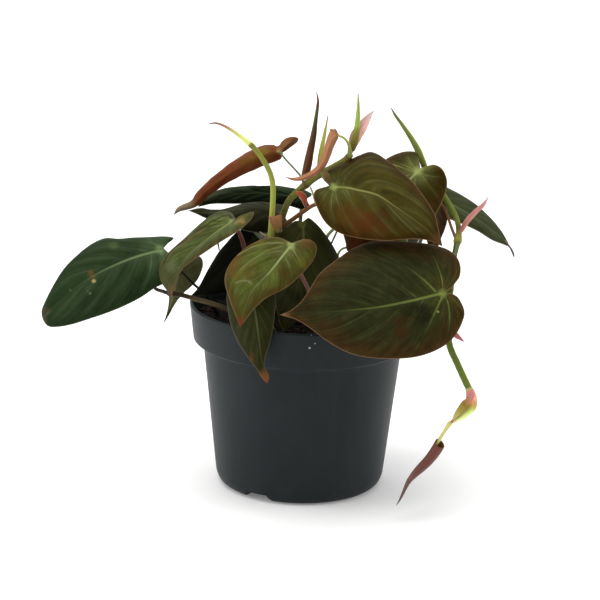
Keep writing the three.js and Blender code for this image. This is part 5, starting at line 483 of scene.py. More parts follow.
def shoot_mesh(path, look):
    """closed tube with its own cross-section; returns vertices, faces, uvs, values"""
    line = spline(path)
    rad = radii(path)
    s = lengths(line)
    step = look.get("step", 0.7)
    count = max(int(s[-1] / step), 8)
    u = np.linspace(0, 1, count + 1)
    centre = at(line, u)
    r = np.interp(u * s[-1], s, rad)
    dist = u * s[-1]
    rings = np.full(count + 1, 99.0)
    for k in look.get("nodes", ()):  # swellings where stalks and sheaths leave
        place = dist[np.argmin(((centre - np.array(k[:3])) ** 2).sum(1))]
        gap = dist - place
        size = k[3] if len(k) > 3 else 0.22
        r = r * (1 + size * np.exp(-((gap / 2.0) ** 2))) - 0.10 * np.exp(-(((gap + 0.9) / 0.35) ** 2)) * (size > 0)
        rings = np.where(np.abs(gap) < np.abs(rings), gap, rings)
    if "flare" in look:  # foot of a stalk, clasping what it grows from
        r = r * (1 + look["flare"] * np.exp(-(((s[-1] - dist) / 2.2) ** 2)))
    t, a, b = frames(centre, look.get("start"))
    sides = look.get("sides", 20)
    th = np.arange(sides) / sides * 2 * math.pi
    roll = look.get("roll", 0.0)  # share of the radius by which a rolled edge steps
    shape = np.ones(sides)
    if roll:
        shape = 1 + roll * (((th / (2 * math.pi) + look.get("turn", 0)) % 1.0) - 0.5)
    ridge = look.get("ridge", 0.02)
    wob = 1 + ridge * np.cos(th * look.get("ridges", 5) + look.get("turn", 0) * 6.28)
    flat = look.get("flat", 1.0)
    noise_r = wave(centre, 9, look.get("seed", 1), 2) * look.get("bend", 0.10)
    centre = centre + a * noise_r[:, None] * np.minimum(r, 1)[:, None]
    rough = 1 + 0.035 * wave(centre, 1.6, look.get("seed", 1) + 3, 2)
    ring = (r * rough)[:, None] * (shape * wob)[None]
    P = centre[:, None] + a[:, None] * (np.cos(th)[None] * ring * flat)[..., None] + b[:, None] * (np.sin(th)[None] * ring)[..., None]
    # rounded ends
    def dome(i, sign):
        out = []
        for k in range(1, 5):
            x = k / 4 * math.pi / 2
            q = centre[i] + (P[i] - centre[i]) * math.cos(x) + t[i] * sign * math.sin(x) * min(r[i], 1.2) * 0.9
            out.append(q)
        return out
    first, last = dome(0, -1)[::-1], dome(-1, 1)
    P = np.concatenate([np.array(first), P, np.array(last)])
    pad = lambda x: np.concatenate([[x[0]] * 4, x, [x[-1]] * 4])
    R = len(P)
    along, dd, rg = pad(u), pad(dist), pad(rings)
    idx = np.arange(R * sides).reshape(R, sides)
    nxt = np.roll(idx, -1, 1)
    faces = np.stack([idx[:-1].ravel(), nxt[:-1].ravel(), nxt[1:].ravel(), idx[1:].ravel()], 1)
    x0 = np.repeat((np.arange(sides) / sides)[None], R - 1, 0).ravel()
    x1 = x0 + 1 / sides
    y = np.linspace(0, 1, R)
    y0, y1 = np.repeat(y[:-1], sides), np.repeat(y[1:], sides)
    uvs = np.stack([np.stack([x0, y0], 1), np.stack([x1, y0], 1), np.stack([x1, y1], 1), np.stack([x0, y1], 1)], 1)
    uvs = 0.01 + 0.98 * uvs
    rep = lambda x: np.repeat(x, sides)
    values = {"along": rep(along), "mm": rep(dd), "ring": rep(rg), "around": np.tile(np.arange(sides) / sides, R)}
    v, f, w, vals = weld(P.reshape(-1, 3), faces.tolist(), uvs.tolist(), values)
    # faces point outward
    c = centre[len(centre) // 2]
    face = f[(R // 2) * sides]
    q = [v[i] for i in face]
    nrm = np.cross(q[1] - q[0], q[2] - q[0])
    if nrm @ (sum(q) / len(q) - centre[np.argmin(((centre - q[0]) ** 2).sum(1))]) < 0:
        k = 0
        out, ww = [], []
        for face in f:
            m = len(face)
            out.append(face[::-1])
            ww.extend(w[k : k + m][::-1])
            k += m
        f, w = out, ww
    return v, f, w, vals


def shoot(name, node, path, look):
    v, f, w, vals = shoot_mesh(path, look)
    return build(name, v, f, node, stem_material(name, look), vals, w)


# ---------------------------------------------------------------- sheaths: thin folded scales with an open side
def scale_leaf(name, node, path, look):
    """A scale along path: each cross-section is an arc of half angle `wrap` (radians) round the centre line,
    its back turned to `back`. Radii come from the path. It ends in a point."""
    line = spline(path)
    rad = radii(path)
    s = lengths(line)
    rows = max(int(s[-1] / 0.45), 16)
    u = np.linspace(0, 1, rows + 1)
    centre = at(line, u)
    r = np.interp(u * s[-1], s, rad) * look.get("grow", 1.0)
    t = unit(np.gradient(centre, axis=0))
    back = np.array(look["back"], float)
    a = unit(back[None] - t * (t @ back)[:, None])
    b = np.cross(t, a)
    cols = 25
    w0, w1 = look.get("wrap", (1.5, 1.2))
    wrap = w0 + (w1 - w0) * smooth(u)
    x = np.linspace(-1, 1, cols)
    ang = wrap[:, None] * x[None]
    keel = 1 + look.get("keel", 0.12) * np.exp(-((x / 0.16) ** 2))
    thin = look.get("flat", 0.75)
    ring = r[:, None] * keel[None] * (1 + 0.05 * np.sin(9 * x[None] + 14 * u[:, None]))
    P = centre[:, None] + a[:, None] * (np.cos(ang) * ring * thin)[..., None] + b[:, None] * (np.sin(ang) * ring)[..., None]
    flare = look.get("flare", 0.0)  # the free edges stand off towards the tip
    P = P + (b[:, None] * (np.sign(x)[None] * np.abs(x)[None] ** 3 * (r * flare * smooth(u))[:, None])[..., None])
    n = place_normals(P)
    if (n[rows // 3, cols // 2] @ a[rows // 3]) < 0:
        n = -n
    half = look.get("half", 0.16)
    thick = half * (1 - 0.55 * np.abs(x[None]) ** 4) * np.ones((rows + 1, 1)) * (1 - 0.5 * u[:, None] ** 3)
    top, low = P + n * thick[..., None], P - n * thick[..., None]
    R, C = P.shape[:2]
    idx = np.arange(R * C).reshape(R, C)
    q = np.stack([idx[:-1, :-1].ravel(), idx[:-1, 1:].ravel(), idx[1:, 1:].ravel(), idx[1:, :-1].ravel()], 1)
    m = rows // 3
    e1, e2 = P[m, cols // 2 + 1] - P[m, cols // 2], P[m + 1, cols // 2] - P[m, cols // 2]
    if np.cross(e1, e2) @ n[m, cols // 2] < 0:
        q = q[:, ::-1]
    faces = q.tolist() + (q[:, ::-1] + R * C).tolist()
    uu, vv = np.meshgrid(np.linspace(0.01, 0.99, C), np.linspace(0, 1, R))
    uv = np.concatenate([np.stack([uu.ravel(), 0.51 + 0.48 * vv.ravel()], 1), np.stack([uu.ravel(), 0.01 + 0.48 * vv.ravel()], 1)])
    uvs = [[uv[i] for i in f] for f in faces]
    edges = {}
    for f in q.tolist():
        for i in range(4):
            edges[(f[i], f[(i + 1) % 4])] = 1
    rim = [e for e in edges if (e[1], e[0]) not in edges]
    for k, (i, j) in enumerate(rim):
        faces.append([j, i, i + R * C, j + R * C])
        x0, x1 = 0.01 + 0.98 * k / len(rim), 0.01 + 0.98 * (k + 1) / len(rim)
        uvs.append([(x1, 0.503), (x0, 0.503), (x0, 0.497), (x1, 0.497)])
    twice = lambda z: np.concatenate([z.ravel(), z.ravel()])
    along = np.repeat(u[:, None], C, 1)
    across = np.repeat(x[None], R, 0)
    values = {"along": twice(along), "mm": twice(along * s[-1]), "ring": np.full(2 * R * C, 99.0), "around": twice(across * 0.5 + 0.5)}
    verts = np.concatenate([top.reshape(-1, 3), low.reshape(-1, 3)])
    v, f, w, vals = weld(verts, faces, uvs, values)
    return build(name, v, f, node, stem_material(name, look), vals, w, sharp=60)


def scroll(name, node, path, look):
    """A leaf rolled into a tube along path, open at its first end: one sheet whose edges overlap."""
    line, rad = spline(path), radii(path)
    s = lengths(line)
    rows = max(int(s[-1] / 0.4), 30)
    u = np.linspace(0, 1, rows + 1)
    centre, r = at(line, u), np.interp(u * s[-1], s, rad)
    t = unit(np.gradient(centre, axis=0))
    back = np.array(look["back"], float)
    a = unit(back[None] - t * (t @ back)[:, None])
    b = np.cross(t, a)
    cols = 61
    x = np.linspace(-1, 1, cols)
    ang = look.get("wrap", 4.0) * x
    inward = 1 - look.get("inward", 0.3) * (x + 1) / 2
    rib = 1 + 0.02 * np.cos(14 * x[None] + 5 * u[:, None])
    keel = 1 + 0.06 * np.exp(-((x / 0.05) ** 2))
    ring = r[:, None] * (inward * keel)[None] * rib
    # the mouth is cut aslant: lower at the front than at the back
    lip = look.get("lip", 2.6) * (1 - smooth(u, 0, 0.16))[:, None] * (0.5 + 0.5 * np.cos(ang - look.get("lip_turn", 0.0)))[None]
    P = centre[:, None] + a[:, None] * (np.cos(ang)[None] * ring)[..., None] + b[:, None] * (np.sin(ang)[None] * ring)[..., None] + t[:, None] * lip[..., None]
    n = place_normals(P)
    mid = cols // 2
    if n[rows // 3, mid] @ a[rows // 3] < 0:
        n = -n
    thick = np.minimum(look.get("half", 0.16), 0.05 * r)[:, None] * (1 - 0.6 * np.abs(x[None]) ** 8)
    top, low = P + n * thick[..., None], P - n * thick[..., None]
    R, C = P.shape[:2]
    idx = np.arange(R * C).reshape(R, C)
    q = np.stack([idx[:-1, :-1].ravel(), idx[:-1, 1:].ravel(), idx[1:, 1:].ravel(), idx[1:, :-1].ravel()], 1)
    m = rows // 3
    if np.cross(P[m, mid + 1] - P[m, mid], P[m + 1, mid] - P[m, mid]) @ n[m, mid] < 0:
        q = q[:, ::-1]
    faces = q.tolist() + (q[:, ::-1] + R * C).tolist()
    uu, vv = np.meshgrid(np.linspace(0.01, 0.99, C), np.linspace(0, 1, R))
    uv = np.concatenate([np.stack([uu.ravel(), 0.51 + 0.48 * vv.ravel()], 1), np.stack([uu.ravel(), 0.01 + 0.48 * vv.ravel()], 1)])
    uvs = [[uv[i] for i in f] for f in faces]
    edges = {}
    for f in q.tolist():
        for i in range(4):
            edges[(f[i], f[(i + 1) % 4])] = 1
    rim = [e for e in edges if (e[1], e[0]) not in edges]
    for k, (i, j) in enumerate(rim):
        faces.append([j, i, i + R * C, j + R * C])
        x0, x1 = 0.01 + 0.98 * k / len(rim), 0.01 + 0.98 * (k + 1) / len(rim)
        uvs.append([(x1, 0.503), (x0, 0.503), (x0, 0.497), (x1, 0.497)])
    twice = lambda z: np.concatenate([z.ravel(), z.ravel()])
    along, across = np.repeat(u[:, None], C, 1), np.repeat(x[None], R, 0)
    values = {"along": twice(along), "mm": twice(along * s[-1]), "ring": np.full(2 * R * C, 99.0), "around": twice(across * 0.5 + 0.5),
              "inside": np.concatenate([np.zeros(R * C), np.ones(R * C)])}
    v, f, w, vals = weld(np.concatenate([top.reshape(-1, 3), low.reshape(-1, 3)]), faces, uvs, values)
    return build(name, v, f, node, stem_material(name, look), vals, w, sharp=60)


# ---------------------------------------------------------------- node helpers for materials
class Paint:
    def __init__(self, name):
        self.mat = bpy.data.materials.new(name)
        self.mat.use_nodes = True
        self.nt = self.mat.node_tree
        self.nt.nodes.clear()
        self.out = self.nt.nodes.new("ShaderNodeOutputMaterial")
        self.bsdf = self.nt.nodes.new("ShaderNodeBsdfPrincipled")
        self.nt.links.new(self.bsdf.outputs[0], self.out.inputs[0])
        self.coord = None

    def put(self, socket, value):
        if isinstance(value, (int, float)):
            socket.default_value = value
        elif isinstance(value, (tuple, list)):
            socket.default_value = value
        else:
            self.nt.links.new(value, socket)

    def object(self):
        if self.coord is None:
            self.coord = self.nt.nodes.new("ShaderNodeTexCoord").outputs["Object"]
        return self.coord

    def attr(self, name):
        n = self.nt.nodes.new("ShaderNodeAttribute")
        n.attribute_name = name
        return n.outputs["Fac"]

    def math(self, op, a, b=0.0, c=0.0, clamp=False):
        n = self.nt.nodes.new("ShaderNodeMath")
        n.operation = op
        n.use_clamp = clamp
        self.put(n.inputs[0], a)
        self.put(n.inputs[1], b)
        self.put(n.inputs[2], c)
        return n.outputs[0]

    def step(self, value, a, b):
        """0 at a, 1 at b, smooth between"""
        n = self.nt.nodes.new("ShaderNodeMapRange")
        n.interpolation_type = "SMOOTHSTEP"
        self.put(n.inputs["Value"], value)
        self.put(n.inputs["From Min"], min(a, b))
        self.put(n.inputs["From Max"], max(a, b))
        self.put(n.inputs["To Min"], 0.0 if a < b else 1.0)
        self.put(n.inputs["To Max"], 1.0 if a < b else 0.0)
        return n.outputs[0]

    def mix(self, f, a, b):
        n = self.nt.nodes.new("ShaderNodeMix")
        n.data_type = "RGBA"
        self.put(n.inputs[0], f)
        self.put(n.inputs[6], a)
        self.put(n.inputs[7], b)
        return n.outputs[2]

    def scaled(self, colour, by):
        n = self.nt.nodes.new("ShaderNodeMix")
        n.data_type = "RGBA"
        n.blend_type = "MULTIPLY"
        n.inputs[0].default_value = 1.0
        self.put(n.inputs[6], colour)
        c = self.nt.nodes.new("ShaderNodeCombineColor")
        for i in range(3):
            self.put(c.inputs[i], by)
        self.nt.links.new(c.outputs[0], n.inputs[7])
        return n.outputs[2]

    def noise(self, scale, detail=2.0, rough=0.5, offset=0.0, stretch=None, kind="ShaderNodeTexNoise"):
        m = self.nt.nodes.new("ShaderNodeMapping")
        m.inputs["Location"].default_value = (offset, offset * 0.7, -offset * 1.3)
        if stretch:
            m.inputs["Scale"].default_value = stretch
        self.nt.links.new(self.object(), m.inputs["Vector"])
        n = self.nt.nodes.new(kind)
        self.nt.links.new(m.outputs[0], n.inputs["Vector"])
        n.inputs["Scale"].default_value = scale
        if kind == "ShaderNodeTexNoise":
            n.inputs["Detail"].default_value = detail
            n.inputs["Roughness"].default_value = rough
        return n.outputs[0]

    def cells(self, scale, feature="F1", offset=0.0):
        m = self.nt.nodes.new("ShaderNodeMapping")
        m.inputs["Location"].default_value = (offset, offset * 0.7, -offset * 1.3)
        self.nt.links.new(self.object(), m.inputs["Vector"])
        n = self.nt.nodes.new("ShaderNodeTexVoronoi")
        n.feature = feature
        n.inputs["Scale"].default_value = scale
        self.nt.links.new(m.outputs[0], n.inputs["Vector"])
        return n.outputs["Distance"]

    def distance(self, point_mm):
        n = self.nt.nodes.new("ShaderNodeVectorMath")
        n.operation = "DISTANCE"
        self.nt.links.new(self.object(), n.inputs[0])
        n.inputs[1].default_value = [c * MM for c in point_mm]
        return n.outputs["Value"]

    def stroke(self, a_mm, b_mm):
        """distance to the line from a to b"""
        a, b = Vector(a_mm) * MM, Vector(b_mm) * MM
        run = b - a
        rel, dot, foot = (self.nt.nodes.new("ShaderNodeVectorMath") for _ in range(3))
        rel.operation, dot.operation, foot.operation = "SUBTRACT", "DOT_PRODUCT", "MULTIPLY_ADD"
        self.nt.links.new(self.object(), rel.inputs[0])
        rel.inputs[1].default_value = a
        self.nt.links.new(rel.outputs[0], dot.inputs[0])
        dot.inputs[1].default_value = run / max(run.length_squared, 1e-12)
        share = self.math("ADD", dot.outputs["Value"], 0.0, clamp=True)
        both = self.nt.nodes.new("ShaderNodeCombineXYZ")
        for i in range(3):
            self.put(both.inputs[i], share)
        self.nt.links.new(both.outputs[0], foot.inputs[0])
        foot.inputs[1].default_value = run
        foot.inputs[2].default_value = a
        gap = self.nt.nodes.new("ShaderNodeVectorMath")
        gap.operation = "DISTANCE"
        self.nt.links.new(self.object(), gap.inputs[0])
        self.nt.links.new(foot.outputs[0], gap.inputs[1])
        return gap.outputs["Value"]

    def ramp(self, value, stops):
        n = self.nt.nodes.new("ShaderNodeValToRGB")
        self.put(n.inputs[0], value)
        el = n.color_ramp.elements
        while len(el) > 1:
            el.remove(el[-1])
        el[0].position, el[0].color = stops[0][0], stops[0][1]
        for x, c in stops[1:]:
            e = el.new(x)
            e.color = c
        return n.outputs[0]

    def bump(self, height, strength, distance):
        n = self.nt.nodes.new("ShaderNodeBump")
        n.inputs["Strength"].default_value = strength
        n.inputs["Distance"].default_value = distance
        self.put(n.inputs["Height"], height)
        self.nt.links.new(n.outputs[0], self.bsdf.inputs["Normal"])

    def finish(self, colour, rough, **constants):
        self.put(self.bsdf.inputs["Base Color"], colour)
        self.put(self.bsdf.inputs["Roughness"], rough)
        for key, value in constants.items():
            self.bsdf.inputs[key.replace("_", " ")].default_value = value
        return self.mat


def leaf_material(name, k):
    p = Paint(name + "_surface")
    seed = k["seed"] * 3.7
    q, vw, sd, g = p.attr("q"), p.attr("vw"), p.attr("sd"), p.attr("g")
    edge, dmid, hub, top = p.attr("edge"), p.attr("dmid"), p.attr("hub"), p.attr("top")
    big = p.noise(k.get("patch_scale", 55), 2.0, 0.5, seed)
    medium = p.noise(210, 3.0, 0.55, seed + 5)
    grain = p.noise(1900, 3.0, 0.65, seed + 9)
    C = lambda key: rgb(*k[key])
    # ground colour: centre to margin
    wobble = p.math("MULTIPLY_ADD", big, 12.0, -6.0)
    away = p.math("ADD", edge, wobble)
    margin = p.step(away, k.get("margin_mm", 9.0), 0.5)
    col = p.mix(p.math("MULTIPLY", margin, k.get("margin_amount", 1.0)), C("centre"), C("margin"))
    if "side" in k:  # one half painted lighter or darker, as painted light and shade on that half: (sign, colour, amount)
        sign, tint, amount = k["side"]
        half = p.step(p.math("MULTIPLY", sd, float(sign)), 0.05, 0.55)
        col = p.mix(p.math("MULTIPLY", half, amount), col, rgb(*tint))
    if "patch" in k:
        spot = p.step(big, k.get("patch_low", 0.52), k.get("patch_high", 0.66))
        col = p.mix(p.math("MULTIPLY", spot, k.get("patch_amount", 0.8)), col, C("patch"))
    # fields between veins and the paler bands along them
    f = p.math("FRACT", p.math("ADD", q, 0.5))
    vd = p.math("MULTIPLY", p.math("ABSOLUTE", p.math("SUBTRACT", f, 0.5)), vw)
    inner = p.math("MULTIPLY", p.step(dmid, 0.6, 2.0), p.step(edge, 0.8, k.get("vein_end", 6.0)))
    wide = p.math("MULTIPLY", p.step(vd, k.get("band_mm", 2.4), 0.2), inner)
    col = p.mix(p.math("MULTIPLY", wide, k.get("band", 0.35)), col, C("vein"))
    near = p.step(hub, k.get("glow_mm", 20.0), 2.0)
    fine = p.math("MULTIPLY", p.step(vd, k.get("line_mm", 0.42), 0.12), inner)
    linecol = p.mix(p.math("MULTIPLY", near, 0.7), C("vein"), C("rib"))
    col = p.mix(p.math("MULTIPLY", fine, p.math("MULTIPLY_ADD", near, k.get("line", 0.45) * 0.6, k.get("line", 0.45) * 0.75), clamp=True), col, linecol)
    halo = p.math("MULTIPLY", near, near)
    col = p.mix(p.math("MULTIPLY", halo, k.get("halo", 0.3)), col, C("hub"))
    # fine net between the veins
    net = p.step(p.cells(520, "DISTANCE_TO_EDGE", seed), 0.0, 0.10)
    shade = p.math("MULTIPLY_ADD", net, 0.10, 0.90)
    shade = p.math("MULTIPLY", shade, p.math("MULTIPLY_ADD", medium, k.get("mottle", 0.5), 1 - 0.5 * k.get("mottle", 0.5)))
    shade = p.math("MULTIPLY", shade, p.math("MULTIPLY_ADD", grain, 0.3, 0.85))
    run = p.nt.nodes.new("ShaderNodeCombineXYZ")  # streaks that follow the veins
    p.put(run.inputs[0], p.math("MULTIPLY_ADD", q, 5.5, p.math("MULTIPLY", p.step(sd, -0.01, 0.01), 40.0)))
    p.put(run.inputs[1], p.math("MULTIPLY", dmid, 0.13))
    run.inputs[2].default_value = seed
    streak = p.nt.nodes.new("ShaderNodeTexNoise")
    p.nt.links.new(run.outputs[0], streak.inputs["Vector"])
    streak.inputs["Scale"].default_value = 1.0
    streak.inputs["Detail"].default_value = 3.0
    streak = p.math("MULTIPLY", p.math("SUBTRACT", streak.outputs[0], 0.5), p.step(dmid, 0.4, 2.5))
    shade = p.math("MULTIPLY", shade, p.math("MULTIPLY_ADD", streak, k.get("streak", 0.9), 1.0))
    col = p.scaled(col, shade)
    # midrib
    gpos = p.math("MAXIMUM", g, 0.0)
    width = p.math("MULTIPLY_ADD", gpos, -k.get("rib_mm", 1.0) * 0.7, k.get("rib_mm", 1.0))
    share = p.math("DIVIDE", dmid, width)
    ribmask = p.math("MULTIPLY", p.step(share, 1.1, 0.35), p.step(g, -0.02, 0.01))
    fade = p.step(g, k.get("rib_end", 1.0), k.get("rib_end", 1.0) * 0.35)
    glow = p.math("MULTIPLY", p.math("MULTIPLY", p.step(dmid, k.get("rib_band", 3.6), 0.4), p.step(g, -0.05, 0.03)), p.step(g, 1.0, 0.1))
    col = p.mix(p.math("MULTIPLY", glow, k.get("rib_glow", 0.35)), col, C("vein"))
    ribcol = p.mix(p.step(g, 0.05, 0.75), C("rib"), C("vein"))
    col = p.mix(p.math("MULTIPLY", ribmask, p.math("MULTIPLY_ADD", fade, 0.55, k.get("rib_far", 0.4))), col, ribcol)
    centre = p.step(p.math("ADD", hub, p.math("MULTIPLY_ADD", medium, 3.0, -1.5)), k.get("hub_mm", 4.2), 0.8)
    col = p.mix(p.math("MULTIPLY", centre, k.get("hub_amount", 0.85)), col, C("hub"))
    line = p.step(edge, k.get("edge_mm", 0.75), 0.2)
    col = p.mix(p.math("MULTIPLY", line, k.get("edge_amount", 0.75)), col, C("edge"))
    # underside
    under = p.mix(p.step(big, 0.42, 0.62), C("under"), C("under2"))
    under = p.mix(p.math("MULTIPLY", p.math("MULTIPLY", p.step(vd, 0.7, 0.2), inner), 0.5), under, C("under_vein"))
    under = p.mix(p.math("MULTIPLY", ribmask, 0.8), under, C("under_vein"))
    under = p.scaled(under, p.math("MULTIPLY", p.math("MULTIPLY_ADD", medium, 0.4, 0.8), p.math("MULTIPLY_ADD", grain, 0.3, 0.85)))
    under = p.mix(p.math("MULTIPLY", line, 0.5), under, C("edge"))
    col = p.mix(p.step(top, 0.4, 0.6), under, col)
    if "fold" in k:  # one half differs on both faces: (sign, colour, amount, where it starts, where it is full)
        sign, tint, amount, low, high = k["fold"]
        col = p.mix(p.math("MULTIPLY", p.step(p.math("MULTIPLY", sd, float(sign)), low, high), amount), col, rgb(*tint))
    if "tip" in k:
        tip = p.step(p.math("ADD", g, p.math("MULTIPLY_ADD", medium, 0.1, -0.05)), k.get("tip_from", 0.84), 0.97)
        col = p.mix(p.math("MULTIPLY", tip, k.get("tip_amount", 0.9)), col, C("tip"))
    for place, size, tint, amount in k.get("spots", ()):  # blemishes, and on leaf_d a painted highlight; place and size in mm
        ragged = p.math("MULTIPLY_ADD", medium, size * 2.2 * MM, -size * 1.1 * MM)
        if size > 2.2:
            ragged = p.math("ADD", ragged, p.math("MULTIPLY_ADD", p.noise(95, 2.0, 0.5, seed + size), size * 2.4 * MM, -size * 1.2 * MM))
        mask = p.step(p.math("ADD", p.distance(place), ragged), size * (1.5 if size > 2.2 else 1.1) * MM, size * 0.1 * MM)
        col = p.mix(p.math("MULTIPLY", mask, amount), col, rgb(*tint))
    for line, size, tint, amount in k.get("strokes", ()):  # veins that stand out, and on leaf_d a painted highlight; points and half width in mm
        gap = p.stroke(line[0], line[1])
        for a, b in zip(line[1:], line[2:]):
            gap = p.math("MINIMUM", gap, p.stroke(a, b))
        gap = p.math("ADD", gap, p.math("MULTIPLY_ADD", medium, size * 1.6 * MM, -size * 0.8 * MM))
        col = p.mix(p.math("MULTIPLY", p.step(gap, size * 1.5 * MM, size * 0.3 * MM), amount), col, rgb(*tint))
    rough = p.math("MULTIPLY_ADD", medium, 0.16, k.get("rough", 0.44))
    height = p.math("ADD", p.math("MULTIPLY", grain, 0.5), p.math("MULTIPLY", net, 0.6))
    p.bump(height, 0.35, 0.00018)
    return p.finish(col, rough, Sheen_Weight=k.get("sheen", 0.22), Sheen_Roughness=0.42,
                    Sheen_Tint=rgb(*k.get("sheen_tint", (190, 200, 180))), Specular_IOR_Level=k.get("spec", 0.34),
                    Specular_Tint=rgb(*k.get("spec_tint", (255, 255, 255))))


def stem_material(name, k):
    p = Paint(name + "_skin")
    seed = k.get("seed", 1) * 2.9
    along, mm, ring, around = p.attr("along"), p.attr("mm"), p.attr("ring"), p.attr("around")
    medium = p.noise(330, 3.0, 0.55, seed)
    grain = p.noise(2400, 2.0, 0.6, seed + 4)
    big = p.noise(120, 2.0, 0.5, seed + 8)
    x = p.math("ADD", along, p.math("MULTIPLY_ADD", big, k.get("jitter", 0.12), -0.5 * k.get("jitter", 0.12)))
    col = p.ramp(x, [(s, rgb(*c)) for s, c in k["stops"]])
    if "side" in k:  # other colour on one side of the shoot; on vine_right and spike_3 it is painted shade, elsewhere a real colour: (colour, where around 0..1, amount)
        tint, where, amount = k["side"]
        turn = p.math("ABSOLUTE", p.math("SUBTRACT", p.math("FRACT", p.math("ADD", around, 0.5 - where)), 0.5))
        col = p.mix(p.math("MULTIPLY", p.step(turn, 0.26, 0.04), amount), col, rgb(*tint))
    if "rim" in k:  # pale or dark free edges of a scale or rolled leaf
        rim = p.step(p.math("ABSOLUTE", p.math("SUBTRACT", around, 0.5)), 0.47, 0.5)
        col = p.mix(p.math("MULTIPLY", rim, 0.85), col, rgb(*k["rim"]))
    if "inner" in k:
        col = p.mix(p.attr("inside"), col, rgb(*k["inner"]))
    if "bands" in k:  # rings of another colour at set places: (middle, half width, colour), as shares of the length
        for place, half, tint in k["bands"]:
            gap = p.math("ABSOLUTE", p.math("SUBTRACT", p.math("ADD", along, p.math("MULTIPLY_ADD", medium, half, -half / 2)), place))
            col = p.mix(p.step(gap, half, half * 0.4), col, rgb(*tint))
    if "fleck" in k:
        fleck = p.step(medium, 0.54, 0.72)
        col = p.mix(p.math("MULTIPLY", fleck, k.get("fleck_amount", 0.45)), col, rgb(*k["fleck"]))
    if "node" in k:
        near = p.step(p.math("ABSOLUTE", ring), 2.6, 0.5)
        col = p.mix(p.math("MULTIPLY", near, 0.7), col, rgb(*k["node"]))
        scar = p.step(p.math("ABSOLUTE", p.math("ADD", ring, 0.9)), 0.45, 0.12)
        col = p.mix(p.math("MULTIPLY", scar, 0.75), col, rgb(*k.get("scar", (120, 70, 50))))
    lines = p.math("SINE", p.math("MULTIPLY", around, 6.2832 * k.get("lines", 11)))
    shade = p.math("MULTIPLY_ADD", lines, 0.05, 0.97)
    shade = p.math("MULTIPLY", shade, p.math("MULTIPLY_ADD", medium, 0.36, 0.82))
    shade = p.math("MULTIPLY", shade, p.math("MULTIPLY_ADD", grain, 0.2, 0.9))
    col = p.scaled(col, shade)
    height = p.math("ADD", p.math("MULTIPLY", lines, 0.35), p.math("MULTIPLY", medium, 0.9))
    p.bump(height, 0.4, 0.00016)
    return p.finish(col, p.math("MULTIPLY_ADD", medium, 0.2, k.get("rough", 0.36)), Specular_IOR_Level=k.get("spec", 0.24),
                    Sheen_Weight=k.get("sheen", 0.02), Sheen_Roughness=0.4)


